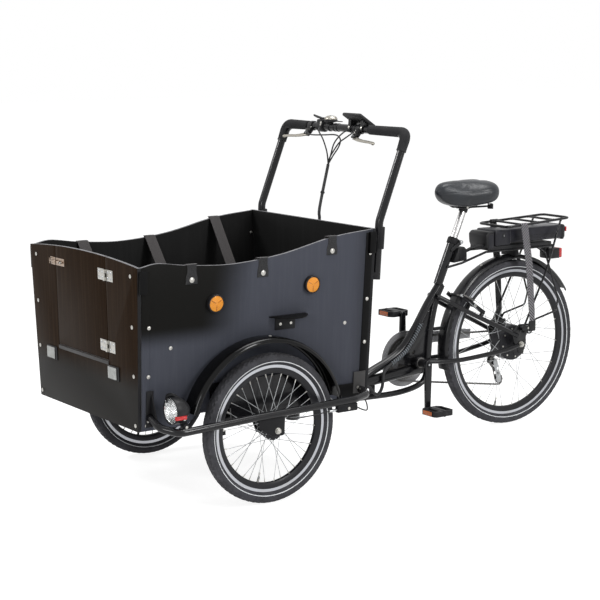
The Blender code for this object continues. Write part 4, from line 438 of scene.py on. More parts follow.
@dataclass(frozen=True)
class Plastic(Finish):
    """Moulded plastic with a fine spark-eroded grain and scuffs."""

    grain: float = 700.0
    depth: float = 0.00015
    specular: float = 0.2

    def paint(self, painter: Painter) -> None:
        """Write the plastic's nodes.

        Args:
            painter: The painter of the new material.
        """
        where = painter.coords()
        scuff = painter.noise(where, 30.0, 5.0, 0.7).between(0.45, 0.8)
        colour = painter.mix(scuff * 0.5, self.colour, shade_of(self.colour, 1.8))
        relief = painter.bump(painter.noise(where, self.grain, 2.0), self.depth, 0.5)
        painter.surface(colour, self.roughness + scuff * 0.12, relief, Specular_IOR_Level=self.specular)


@dataclass(frozen=True)
class Webbing(Finish):
    """Woven strap with ribs along it and cross threads."""

    chevron: bool = False
    pitch: float = 0.0022
    pale: tuple[float, float, float] = (0.3, 0.3, 0.3)
    middle: float = 0.0
    band: float = 0.0115

    def paint(self, painter: Painter) -> None:
        """Write the weave's nodes.

        Args:
            painter: The painter of the new material.
        """
        x, y, z = painter.split(painter.coords(centre=(0.0, self.middle, 0.0)))
        warp = (y * (math.tau / self.pitch)).sine()
        weft = ((z + x * 0.5) * (math.tau / (self.pitch * 0.8))).sine()
        fuzz = painter.noise(painter.coords(), 500.0, 3.0)
        colour = painter.mix(warp * weft * 0.25 + fuzz * 0.5, self.colour, shade_of(self.colour, 2.0))
        if self.chevron:
            bands = ((z + abs(y) * 0.9) * (math.tau / self.band)).sine()
            colour = painter.mix((bands > 0.05) * 0.92, colour, self.pale)
        relief = painter.bump(warp * weft + fuzz * 0.6, 0.0005, 0.7)
        painter.surface(colour, self.roughness, relief, Sheen_Weight=0.2, Specular_IOR_Level=0.2)


@dataclass(frozen=True)
class Vinyl(Finish):
    """Padded vinyl with a pebbled leather grain."""

    def paint(self, painter: Painter) -> None:
        """Write the vinyl's nodes.

        Args:
            painter: The painter of the new material.
        """
        where = painter.coords()
        wear = painter.noise(where, 12.0, 4.0)
        pebble = painter.cells(where, 420.0)
        crease = painter.noise(where, 60.0, 4.0, 0.7)
        colour = painter.mix(wear.between(0.4, 0.8), self.colour, shade_of(self.colour, 1.8))
        relief = painter.bump(pebble + crease * 0.5, 0.00035, 0.5)
        painter.surface(
            colour, self.roughness + wear * 0.12, relief, Specular_IOR_Level=0.42, Sheen_Weight=0.02
        )


@dataclass(frozen=True)
class Lens(Finish):
    """Coloured or clear moulded lens with prisms in it."""

    through: float = 0.0
    prism: float = 0.0025
    glow: tuple[float, float, float] = (1.0, 1.0, 1.0)

    def paint(self, painter: Painter) -> None:
        """Write the lens's nodes.

        Args:
            painter: The painter of the new material.
        """
        x, y, z = painter.split(painter.coords())
        turn = math.tau / self.prism
        facets = ((y + x) * turn).sine() * (z * turn).sine()
        colour = painter.mix(facets.between(-0.8, 0.8), self.colour, self.glow)
        relief = painter.bump(facets, 0.0006, 0.8)
        painter.surface(
            colour, self.roughness, relief, Transmission_Weight=self.through, Coat_Weight=0.12,
            Specular_IOR_Level=0.4,
        )


GLOSS_BLACK = Lacquer("gloss_black_paint", "black_frame_paint", (0.0055, 0.0055, 0.0065), 0.14, 0.12, 0.22)
FENDER_BLACK = Lacquer("fender_black_paint", "gloss_fender", (0.003, 0.003, 0.0032), 0.06, 0.06, 0.15, 0.15)
TRIM_BLACK = Lacquer("trim_black", "black_frame_paint", (0.0045, 0.0045, 0.0047), 0.38, 0.0, 0.06, 0.15)
SATIN_BLACK = Lacquer("satin_black_paint", "black_frame_paint", (0.01, 0.01, 0.011), 0.4, 0.0, 0.12)
# The side film is near-black: its slate colour and lighter streaks are painted reflection, and its last
# colour paints a dark reflection towards the upper front and the rear.
SIDE_FILM = Film(
    "side_film", "panel_film", (0.0515, 0.055, 0.069), 0.32, (0.056, 0.0595, 0.074), 0.06,
    (0.0035, 0.0032, 0.0022),
)
INNER_FILM = Film("inner_film", "panel_film", (0.0075, 0.0075, 0.0075), 0.46, (0.009, 0.009, 0.009), 0.04)
DOOR_FILM = Film(
    "door_film_brown", "door_film", (0.0135, 0.0065, 0.0025), 0.38, (0.021, 0.0115, 0.0055), 0.03, None,
    (0.024, 0.023, 0.022),
)
FLOOR_FILM = Film("floor_film", "plywood_floor", (0.01, 0.009, 0.008), 0.5, (0.014, 0.012, 0.011), 0.06)
PLY_EDGE = PlyEdge("ply_edge", "panel_film", (0.108, 0.107, 0.113), 0.5)
TYRE = Rubber("tyre_side", "tyre_rubber", (0.03, 0.03, 0.034), 0.72)
TREAD = Rubber("tyre_tread", "tyre_rubber", (0.038, 0.038, 0.042), 0.85, 500.0)
GRIP = Rubber("grip_foam", "black_plastic", (0.014, 0.014, 0.015), 0.9, 260.0)
REFLECT_LINE = Plastic("reflective_line", "tyre_rubber", (0.66, 0.68, 0.7), 0.35, 1500.0)
ZINC = Metal("bright_zinc", "bright_steel", (0.46, 0.45, 0.42), 0.26)
BRASSY = Metal("aged_latch_steel", "bright_steel", (0.36, 0.28, 0.22), 0.34)
STEEL = Metal("stainless", "bright_steel", (0.38, 0.39, 0.4), 0.28)
POLISHED = Metal("polished_alloy", "alloy", (0.62, 0.61, 0.61), 0.2, (0.0004, 0.006, 0.006))
LEVER_ALLOY = Metal("lever_alloy", "alloy", (0.34, 0.32, 0.28), 0.3)
BRAKE_TRACK = Metal("machined_rim", "rim_metal", (0.44, 0.45, 0.48), 0.3, (0.02, 0.0004, 0.0004))
DARK_STEEL = Metal("dark_steel", "chain_steel", (0.14, 0.137, 0.133), 0.38, tint=(0.2, 0.19, 0.18))
CHROME = Metal(
    "chrome_bowl", "bright_steel", (0.9, 0.9, 0.9), 0.04, (0.01, 0.01, 0.01), (0.85, 0.85, 0.85), 0.1
)
RIM_BLACK = Lacquer("rim_black", "rim_metal", (0.01, 0.01, 0.012), 0.3, 0.05, 0.2)
HUB_BLACK = Lacquer("hub_black", "rim_metal", (0.012, 0.012, 0.014), 0.36, 0.0, 0.2)
BRACKET_GREY = Lacquer("bracket_grey", "black_frame_paint", (0.036, 0.035, 0.035), 0.42, 0.0, 0.2)
BLACK_PLASTIC = Plastic("black_moulding", "black_plastic", (0.012, 0.012, 0.013), 0.42)
CASE_PLASTIC = Plastic("battery_moulding", "battery_case", (0.013, 0.013, 0.017), 0.28, 600.0, 0.0001, 0.22)
GREY_PLASTIC = Plastic("grey_rib", "alloy", (0.4, 0.41, 0.4), 0.32, 900.0)
STRAP = Webbing("bench_webbing", "grey_webbing", (0.034, 0.031, 0.031), 0.85)
CHEVRON = Webbing(
    "luggage_webbing", "grey_webbing", (0.014, 0.014, 0.015), 0.8, True, 0.0016, (0.24, 0.23, 0.25), 0.8
)
SADDLE_VINYL = Vinyl("saddle_cover", "saddle_vinyl", (0.007, 0.0088, 0.012), 0.3)
GUARD_BLACK = Lacquer("rear_guard_black", "gloss_fender", (0.008, 0.008, 0.009), 0.2, 0.1, 0.2)
BLACK_WEB = Webbing("black_webbing", "grey_webbing", (0.012, 0.012, 0.013), 0.8)
SMOKE = Lens("smoke_guard", "clear_grey_plastic", (0.3, 0.3, 0.31), 0.22, 0.35, 0.012, (0.34, 0.34, 0.35))
CABLE = Rubber("cable_sheath", "black_plastic", (0.018, 0.018, 0.019), 0.5, 600.0)
# Pale grey-blue, partly painted highlight: it stands for the glints along the wrap's coils.
WRAP = Plastic("spiral_wrap", "black_plastic", (0.22, 0.25, 0.28), 0.4, 900.0)
SCREEN = Plastic("display_glass", "black_plastic", (0.005, 0.006, 0.008), 0.08, 300.0, 0.00002, 0.4)
AMBER = Lens("amber_lens", "clear_grey_plastic", (0.58, 0.17, 0.003), 0.3, 0.0, 0.006, (0.8, 0.32, 0.008))
AMBER_RIB = Lens(
    "amber_rib", "clear_grey_plastic", (0.26, 0.062, 0.002), 0.35, 0.0, 0.004, (0.36, 0.1, 0.003)
)
ORANGE = Lens(
    "orange_reflector", "clear_grey_plastic", (0.5, 0.09, 0.004), 0.3, 0.0, 0.004, (0.6, 0.14, 0.01)
)
CLEAR = Lens("clear_lens", "clear_grey_plastic", (0.96, 0.98, 0.98), 0.04, 1.0, 0.008, (1.0, 1.0, 1.0))
RED = Lens("red_lens_ribbed", "red_lens", (0.42, 0.006, 0.008), 0.2, 0.0, 0.004, (0.6, 0.02, 0.02))


def alone(item: Item | None = None) -> None:
    """Go to object mode with one object selected, or none.

    Args:
        item: The object to select and make active.
    """
    if bpy.context.mode != "OBJECT":
        bpy.ops.object.mode_set(mode="OBJECT")
    bpy.ops.object.select_all(action="DESELECT")
    if item is not None:
        item.select_set(True)
        bpy.context.view_layer.objects.active = item


def settle(name: str) -> Item:
    """Name the active object and apply its placing.

    Args:
        name: The piece's name.

    Returns:
        The object.
    """
    item = bpy.context.active_object
    item.name = name
    item.data.name = name
    alone(item)
    bpy.ops.object.transform_apply(location=True, rotation=True, scale=True)
    return item


def put(item: Item, place: Matrix) -> Item:
    """Move an object by a matrix, in its mesh.

    Args:
        item: The object.
        place: Where its own axes go.

    Returns:
        The same object.
    """
    item.matrix_world = place
    alone(item)
    bpy.ops.object.transform_apply(location=True, rotation=True, scale=True)
    return item


def modify(item: Item, kind: str, **settings: object) -> Item:
    """Apply one modifier.

    Args:
        item: The object.
        kind: The modifier's type.
        settings: The modifier's settings.

    Returns:
        The same object.
    """
    alone(item)
    step = item.modifiers.new(kind.lower(), kind)
    for key, value in settings.items():
        setattr(step, key, value)
    bpy.ops.object.modifier_apply(modifier=step.name)
    return item


def soften(item: Item, width: float, segments: int = 2, angle: float = 38.0) -> Item:
    """Bevel the sharp edges of a piece.

    Args:
        item: The object.
        width: Width of the bevel.
        segments: Steps in it.
        angle: Edges that turn by less, in degrees, stay as they are.

    Returns:
        The same object.
    """
    return modify(
        item, "BEVEL", width=width, segments=segments, limit_method="ANGLE",
        angle_limit=math.radians(angle), use_clamp_overlap=True, harden_normals=False,
    )


@contextmanager
def editing() -> Iterator[None]:
    """Edit mode with everything selected, and object mode again afterwards."""
    bpy.ops.object.mode_set(mode="EDIT")
    bpy.ops.mesh.select_all(action="SELECT")
    yield
    bpy.ops.object.mode_set(mode="OBJECT")


def extrude(step: Point) -> None:
    """Extrude what is selected by a step."""
    bpy.ops.mesh.extrude_region_move(TRANSFORM_OT_translate={"value": step})


def merge_and_face_out(item: Item) -> Item:
    """Merge doubles and turn the faces outwards.

    Args:
        item: The object.

    Returns:
        The same object.
    """
    alone(item)
    with editing():
        bpy.ops.mesh.remove_doubles(threshold=SAME_SPOT)
        bpy.ops.mesh.normals_make_consistent(inside=False)
    return item


def pick(item: Item, test: Test) -> None:
    """Enter edit mode with the faces selected that pass a test on middle and normal.

    Args:
        item: The object.
        test: Says whether a face is wanted.
    """
    alone(item)
    bpy.ops.object.mode_set(mode="EDIT")
    bpy.ops.mesh.select_mode(type="FACE")
    bpy.ops.mesh.select_all(action="DESELECT")
    bpy.ops.object.mode_set(mode="OBJECT")
    for face in item.data.polygons:
        face.select = test(face.center, face.normal)
    bpy.ops.object.mode_set(mode="EDIT")


def block(name: str, low: Point, high: Point, bevel: float = 0.0, segments: int = 2) -> Item:
    """A box between two corners, with rounded edges.

    Args:
        name: The piece's name.
        low: Lowest corner.
        high: Highest corner.
        bevel: Width of the rounding.
        segments: Steps in the rounding.

    Returns:
        The object.
    """
    alone()
    middle = (Vector(low) + Vector(high)) / 2
    bpy.ops.mesh.primitive_cube_add(size=1.0, location=middle)
    bpy.context.active_object.scale = Vector(high) - Vector(low)
    item = settle(name)
    if bevel:
        modify(item, "BEVEL", width=bevel, segments=segments)
    return item


def rod(
    name: str, start: Point, end: Point, radius: float, sides: int = 24, tip: float | None = None,
    bevel: float = 0.0,
) -> Item:
    """A round bar or cone from one point to another.

    Args:
        name: The piece's name.
        start: Middle of one end.
        end: Middle of the other end.
        radius: Radius at the start.
        sides: How many flats it has.
        tip: Radius at the end, where it differs.
        bevel: Width of the rounding of both ends.

    Returns:
        The object.
    """
    alone()
    start, end = Vector(start), Vector(end)
    turn = (end - start).to_track_quat("Z", "Y").to_euler()
    bpy.ops.mesh.primitive_cone_add(
        vertices=sides, radius1=radius, radius2=radius if tip is None else tip, depth=(end - start).length,
        location=(start + end) / 2, rotation=turn,
    )
    item = settle(name)
    return soften(item, bevel, 2, 50.0) if bevel else item


def cross_rod(
    name: str, first: float, last: float, place: Point, radius: float, sides: int = 24, **more: float
) -> Item:
    """A round bar along X.

    Args:
        name: The piece's name.
        first: Where along X it starts.
        last: Where along X it ends.
        place: Its place in Y and Z.
        radius: Its radius.
        sides: How many flats it has.
        more: The tip or bevel of rod.

    Returns:
        The object.
    """
    return rod(name, (first, *place), (last, *place), radius, sides, **more)


def draw(name: str, points: Sequence[Point]) -> Item:
    """A chain of edges, extruded point by point from one vertex.

    Args:
        name: The piece's name.
        points: The corners in order.

    Returns:
        The object.
    """
    alone()
    bpy.ops.mesh.primitive_plane_add(size=0.01, location=points[0])
    bpy.ops.object.mode_set(mode="EDIT")
    bpy.ops.mesh.select_mode(type="VERT")
    bpy.ops.mesh.select_all(action="SELECT")
    bpy.ops.mesh.merge(type="CENTER")
    for here, there in zip(points, points[1:]):
        step = Vector(there) - Vector(here)
        extrude(step)
    bpy.ops.object.mode_set(mode="OBJECT")
    return settle(name)


def across(x: float, y: float = 0.0, z: float = 0.0) -> Matrix:
    """Places a drawing in Y and Z, with its thickness along X."""
    return Matrix(((0, 0, 1, x), (1, 0, 0, y), (0, 1, 0, z), (0, 0, 0, 1)))


def along(y: float, z: float = 0.0) -> Matrix:
    """Places a drawing in X and Z, with its thickness along Y."""
    return Matrix(((1, 0, 0, 0), (0, 0, -1, y), (0, 1, 0, z), (0, 0, 0, 1)))


def level(z: float) -> Matrix:
    """Places a drawing in X and Y at a height."""
    return Matrix.Translation((0, 0, z))


def plate(
    name: str, outline: Sequence[Point], thickness: float, place: Matrix, bevel: float = 0.0,
    holes: Iterable[tuple[float, float, float]] = (),
) -> Item:
    """A flat outline filled, extruded to a thickness and put in its place.

    Args:
        name: The piece's name.
        outline: Corners in the drawing's plane.
        thickness: The thickness, centred on the drawing's plane.
        place: Where the drawing's axes go.
        bevel: Width of the rounded edges.
        holes: Middle and radius of each round hole.

    Returns:
        The object.
    """
    spots = [(u, v, -thickness / 2) for u, v in outline]
    item = draw(name, [*spots, spots[0]])
    with editing():
        bpy.ops.mesh.remove_doubles(threshold=SAME_SPOT)
        bpy.ops.mesh.edge_face_add()
        extrude((0, 0, thickness))
        bpy.ops.mesh.select_all(action="SELECT")
        bpy.ops.mesh.normals_make_consistent(inside=False)
    for u, v, radius in holes:
        cut(item, rod("hole", (u, v, -thickness), (u, v, thickness), radius, 32))
    if bevel:
        soften(item, bevel)
    return put(item, place)


def cut(item: Item, cutter: Item) -> Item:
    """Take a cutter's shape out of a piece and remove the cutter.

    Args:
        item: The piece.
        cutter: The shape to take out, which is used up.

    Returns:
        The piece.
    """
    modify(item, "BOOLEAN", operation="DIFFERENCE", solver="EXACT", object=cutter)
    bpy.data.objects.remove(cutter, do_unlink=True)
    return item


def lathe(name: str, profile: Sequence[Point], place: Matrix, steps: int = 48, closed: bool = True) -> Item:
    """A profile of places along X and radii, spun about X.

    Args:
        name: The piece's name.
        profile: Place along X and radius of each corner.
        place: Where the drawing's axes go.
        steps: Steps in the full turn.
        closed: Whether the profile joins its own start.

    Returns:
        The object.
    """
    spots = [(x, 0.0, radius) for x, radius in profile]
    item = draw(name, [*spots, spots[0]] if closed else spots)
    with editing():
        bpy.ops.mesh.remove_doubles(threshold=SAME_SPOT)
        bpy.ops.mesh.spin(steps=steps, angle=math.tau, center=(0, 0, 0), axis=(1, 0, 0))
    return put(merge_and_face_out(item), place)


def mirrored(right: Sequence[Point]) -> list[tuple[float, float]]:
    """A profile from one half of it, which the other half mirrors in X."""
    return [*right, *[(-x, r) for x, r in reversed(right)]]


def sweep(
    name: str, profile: Sequence[Point], centre: Point, first: float, last: float, steps: int, wall: float
) -> Item:
    """An open profile swept about an axle between two angles, with a wall.

    Args:
        name: The piece's name.
        profile: Place along X and radius of each corner.
        centre: The axle.
        first: Start angle in degrees, from +Y towards +Z.
        last: End angle in degrees.
        steps: Steps between them.
        wall: Thickness of the wall.

    Returns:
        The object.
    """
    start = math.radians(first)
    spots = [(x, r * math.cos(start), r * math.sin(start)) for x, r in profile]
    item = draw(name, spots)
    with editing():
        bpy.ops.mesh.spin(
            steps=steps, angle=math.radians(last - first), center=(0, 0, 0), axis=(-1, 0, 0)
        )
    merge_and_face_out(item)
    modify(item, "SOLIDIFY", thickness=wall, offset=0.0)
    return put(item, Matrix.Translation(centre))


def through(points: Sequence[Point], steps: int = 6) -> list[Vector]:
    """Points on a smooth curve through the given ones.

    Args:
        points: Places that the curve passes.
        steps: Steps in each span.

    Returns:
        The curve's points.
    """
    spots = [Vector(p) for p in points]
    spots = [2 * spots[0] - spots[1], *spots, 2 * spots[-1] - spots[-2]]
    path = []
    for i in range(1, len(spots) - 2):
        before, here, there, after = spots[i - 1:i + 3]
        for k in range(steps):
            t = k / steps
            path.append(0.5 * (
                2 * here + (there - before) * t
                + (2 * before - 5 * here + 4 * there - after) * t * t
                + (3 * here - before - 3 * there + after) * t ** 3
            ))
    return [*path, spots[-2]]


def bent(points: Sequence[Point], radius: float, steps: int = 8) -> list[Vector]:
    """The line of a bent tube, each corner rounded to a radius.

    Args:
        points: The corners.
        radius: Radius of the bends.
        steps: Steps in each bend.

    Returns:
        The line's points.
    """
    spots = [Vector(p) for p in points]
    path = [spots[0]]
    for before, corner, after in zip(spots, spots[1:], spots[2:]):
        into = (before - corner).normalized()
        away = (after - corner).normalized()
        reach = radius / math.tan(into.angle(away) / 2)
        reach = min(reach, (before - corner).length * 0.49, (after - corner).length * 0.49)
        for k in range(steps + 1):
            t = k / steps
            path.append((corner + into * reach * (1 - t)).lerp(corner + away * reach * t, t))
    path.append(spots[-1])
    return path


def tube(
    name: str, points: Sequence[Point], radius: float, sides: int = 12, closed: bool = False,
    radii: Sequence[float] | None = None,
) -> Item:
    """A round tube along a line.

    Args:
        name: The piece's name.
        points: The line.
        radius: Radius of the tube.
        sides: How many flats it has.
        closed: Whether the line joins its own start.
        radii: Share of the radius at each point.

    Returns:
        The object, as a mesh.
    """
    alone()
    curve = bpy.data.curves.new(name, "CURVE")
    curve.dimensions = "3D"
    curve.bevel_depth = radius
    curve.bevel_resolution = max(0, (sides - 4) // 2)
    curve.use_fill_caps = not closed
    line = curve.splines.new("POLY")
    line.points.add(len(points) - 1)
    for index, (spot, place) in enumerate(zip(line.points, points)):
        spot.co = (*place, 1.0)
        spot.radius = radii[index] if radii else 1.0
    line.use_cyclic_u = closed
    item = bpy.data.objects.new(name, curve)
    bpy.context.scene.collection.objects.link(item)
    alone(item)
    bpy.ops.object.convert(target="MESH")
    return merge_and_face_out(settle(name))


def arc(centre: Point, radius: float, first: float, last: float, steps: int) -> list[tuple[float, float]]:
    """Points on an arc in a plane, between two angles in degrees.

    Args:
        centre: Middle of the arc.
        radius: Its radius.
        first: Start angle.
        last: End angle.
        steps: Steps between them.

    Returns:
        The points.
    """
    spots = []
    for k in range(steps + 1):
        angle = math.radians(first + (last - first) * k / steps)
        spots.append((centre[0] + radius * math.cos(angle), centre[1] + radius * math.sin(angle)))
    return spots


def join(name: str, items: Sequence[Item]) -> Item:
    """Make several pieces one object, with all their finishes.

    Args:
        name: The new piece's name.
        items: The pieces.

    Returns:
        The joined object.
    """
    alone(items[0])
    for item in items:
        item.select_set(True)
    bpy.ops.object.join()
    return settle(name)


def copied(item: Item, place: Matrix) -> Item:
    """A copy with its own mesh, put in another place.

    Args:
        item: The piece.
        place: Where the copy goes.

    Returns:
        The copy.
    """
    alone(item)
    bpy.ops.object.duplicate()
    return put(bpy.context.active_object, place)


def repeated(name: str, item: Item, places: Iterable[Matrix]) -> Item:
    """Copies of a piece at several places, as one object; the first one is used up.

    Args:
        name: The new piece's name.
        item: The piece to copy.
        places: Where each copy goes.

    Returns:
        The joined object.
    """
    made = [copied(item, place) for place in places]
    bpy.data.objects.remove(item, do_unlink=True)
    return join(name, made)


def turn_row(count: int, step: float, first: float = 0.0) -> list[Matrix]:
    """Turns about X, each a step in degrees after the one before."""
    return [Matrix.Rotation(math.radians(step * k + first), 4, "X") for k in range(count)]


def shift_row(count: int, step: Point) -> list[Matrix]:
    """Places in a row, each a step after the one before."""
    return [Matrix.Translation([part * k for part in step]) for k in range(count)]


def flipped(item: Item, side: Side = Side.RIGHT) -> Item:
    """The piece itself on the left, or its mirror image on the right.

    Args:
        item: The piece as it is on the left.
        side: The side that it goes to.

    Returns:
        The same piece.
    """
    if side is Side.LEFT:
        return item
    item.scale = (-1, 1, 1)
    alone(item)
    bpy.ops.object.transform_apply(location=True, rotation=True, scale=True)
    return merge_and_face_out(item)


def dress(item: Item, finish: Finish, *areas: tuple[Finish, Test], angle: float = 32.0) -> Item:
    """Give a piece its finish, other finishes on chosen faces, and its shading.

    Args:
        item: The object.
        finish: The finish of most of it.
        areas: Another finish and the test for its faces, for each area.
        angle: Edges sharper than this many degrees stay sharp.

    Returns:
        The same object.
    """
    item.data.materials.clear()
    item.data.materials.append(finish.material())
    for other, _ in areas:
        item.data.materials.append(other.material())
    for face in item.data.polygons:
        face.material_index = 0
        for index, (_, test) in enumerate(areas, 1):
            if test(face.center, face.normal):
                face.material_index = index
    alone(item)
    bpy.ops.object.shade_smooth_by_angle(angle=math.radians(angle))
    return item


class Kit(list):
    """Pieces that will be joined into one."""

    def add(self, item: Item, finish: Finish, *areas: tuple[Finish, Test], angle: float = 32.0) -> None:
        """Take in a piece with its finish."""
        self.append(dress(item, finish, *areas, angle=angle))

    def keep(self, name: str, body: str, slot: str, *nodes: str) -> Item:
        """Join the pieces and tie the one that they make to its body."""
        return keep(join(name, self), body, slot, *nodes)

    def keep_sided(self, side: Side, name: str, body: str, slot: str, node: str = "") -> Item:
        """Join the pieces as they are on the left and put the one that they make on its side."""
        return keep_sided(join(name, self), side, name, body, slot, node)


def keep(item: Item, body: str, slot: str, *nodes: str) -> Item:
    """Tie a finished piece to its body, hide the CAD nodes that it replaces and log it.

    Args:
        item: The piece.
        body: The CAD body that it rides on.
        slot: The record's material slot; not used.
        nodes: CAD nodes that it replaces.

    Returns:
        The same piece.
    """
    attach(item, body)
    if nodes:
        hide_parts(*nodes)
    LOG.info("%s on %s, %d faces", item.name, body, len(item.data.polygons))
    return item


def keep_sided(item: Item, side: Side, name: str, body: str, slot: str, node: str = "") -> Item:
    """Put a left-hand piece on its side, name it after the side and tie it to its body.

    Args:
        item: The piece as it is on the left.
        side: The side that it goes to.
        name: Its name up to the side's word.
        body: The CAD body that it rides on.
        slot: The record's material slot.
        node: The CAD node that it replaces, up to the side's word.

    Returns:
        The piece on its side.
    """
    item = flipped(item, side)
    item.name = name + side.word
    return keep(item, body, slot, *([node + side.word] if node else []))


def repaint(node: str, finish: Finish) -> None:
    """Give a CAD node that keeps its shape a better finish.

    Args:
        node: The node's name.
        finish: Its finish.
    """
    item = bpy.data.objects[node]
    item.data.materials.clear()
    item.data.materials.append(finish.material())


def bolt_head(name: str, radius: float = 0.0048, height: float = 0.003) -> Item:
    """A domed bolt on a thin washer, with its axis along X and its seat at the origin.

    Args:
        name: The piece's name.
        radius: Radius of the dome.
        height: Its height.

    Returns:
        The bolt's head.
    """
    profile = [
        (0.0, 0.0), (0.0, radius * 1.28), (0.001, radius * 1.34), (0.0016, radius * 1.28), (0.0016, radius),
        (height * 0.62, radius * 0.86), (height * 0.92, radius * 0.52), (height, 0.0),
    ]
    return dress(lathe(name, profile, HERE, 20, False), ZINC, angle=50.0)


def off_axle(spot: Vector) -> float:
    """Distance from the X axis."""
    return math.hypot(spot.y, spot.z)


def facing(place: Point, normal: Point) -> Matrix:
    """Puts a drawing's X axis along a normal at a place."""
    return Matrix.Translation(place) @ Vector(normal).to_track_quat("X", "Z").to_matrix().to_4x4()


@dataclass(frozen=True)
class Plan:
    """Sizes that the CAD frame fixes and that several sub-assemblies share."""

    front_y: float = -0.62525
    rear_y: float = 0.78175
    front_r: float = 0.25
    rear_r: float = 0.3265
    box_y0: float = -1.08425
    box_y1: float = -0.17925
    box_z: float = 0.287
    half: float = 0.342
    front_high: float = 0.526
    rear_high: float = 0.589
    side_lean: float = 0.0607
    front_lean: float = 0.0228
    rear_lean: float = 0.012
    panel: float = 0.012
    gap: float = 0.0003
    crank_y: float = 0.30975
    crank_z: float = 0.3

    @property
    def side_normal(self) -> tuple[float, float, float]:
        """The way that the left side panel faces."""
        return 1.0, 0.0, -self.side_lean

    def side(self, z: float) -> float:
        """Half the box's outside width at a height."""
        return self.half + self.side_lean * (z - self.box_z)

    def front(self, z: float) -> float:
        """The box's front face at a height."""
        return self.box_y0 - self.front_lean * (z - self.box_z)

    def rear(self, z: float) -> float:
        """The box's rear face at a height."""
        return self.box_y1 + self.rear_lean * (z - self.box_z)

    def side_edge(self, steps: int = 8) -> list[tuple[float, float]]:
        """Points in Y and Z along a side's wavy upper edge.

        Args:
            steps: Steps in each span.

        Returns:
            The points, from front to rear.
        """
        rise = self.rear_high - self.front_high
        low = self.front_high
        shape = (
            (0.0, low), (0.07, low + 0.009), (0.19, low - 0.005), (0.37, low - 0.014),
            (0.58, low + 0.06 * rise), (0.8, low + 0.72 * rise), (1.0, self.rear_high),
        )
        first = self.front(self.box_z + low) + self.panel + self.gap
        last = self.rear(self.box_z + self.rear_high)
        spots = [(first + share * (last - first), self.box_z + height, 0.0) for share, height in shape]
        return [(p.x, p.y) for p in through(spots, steps)]

    def edge_z(self, y: float) -> float:
        """Height of the side's upper edge at a place along the box.

        Args:
            y: The place.

        Returns:
            The height.
        """
        edge = self.side_edge()
        for (y0, z0), (y1, z1) in zip(edge, edge[1:]):
            if y <= y1:
                return z0 + (z1 - z0) * (y - y0) / (y1 - y0)
        return edge[-1][1]

    def arch(self, first: float, last: float, steps: int) -> list[tuple[float, float]]:
        """Points in X and Z along the front's arched upper edge.

        Args:
            first: Where along X it starts.
            last: Where along X it ends.
            steps: Steps between them.

        Returns:
            The points.
        """
        half = self.side(self.box_z + self.front_high)
        spots = [first + (last - first) * k / steps for k in range(steps + 1)]
        return [(x, self.box_z + self.front_high + 0.018 * (1 - (x / half) ** 2)) for x in spots]

    def lean(self, item: Item, axis: int, share: float) -> Item:
        """Lean a piece along X or Y with the height above the box's foot.

        Args:
            item: The piece.
            axis: 0 to lean along X, 1 along Y.
            share: How far it leans for each metre of height.

        Returns:
            The same piece.
        """
        slant = Matrix.Identity(4)
        slant[axis][2] = share
        slant[axis][3] = -share * self.box_z
        item.data.transform(slant)
        return item

    def lean_side(self, item: Item) -> Item:
        """Lean a piece outwards with the left side panel."""
        return self.lean(item, 0, self.side_lean)

    def lean_front(self, item: Item) -> Item:
        """Lean a piece forwards with the front panel."""
        return self.lean(item, 1, -self.front_lean)

    def lean_rear(self, item: Item) -> Item:
        """Lean a piece backwards with the rear panel."""
        return self.lean(item, 1, self.rear_lean)


PLAN = Plan()


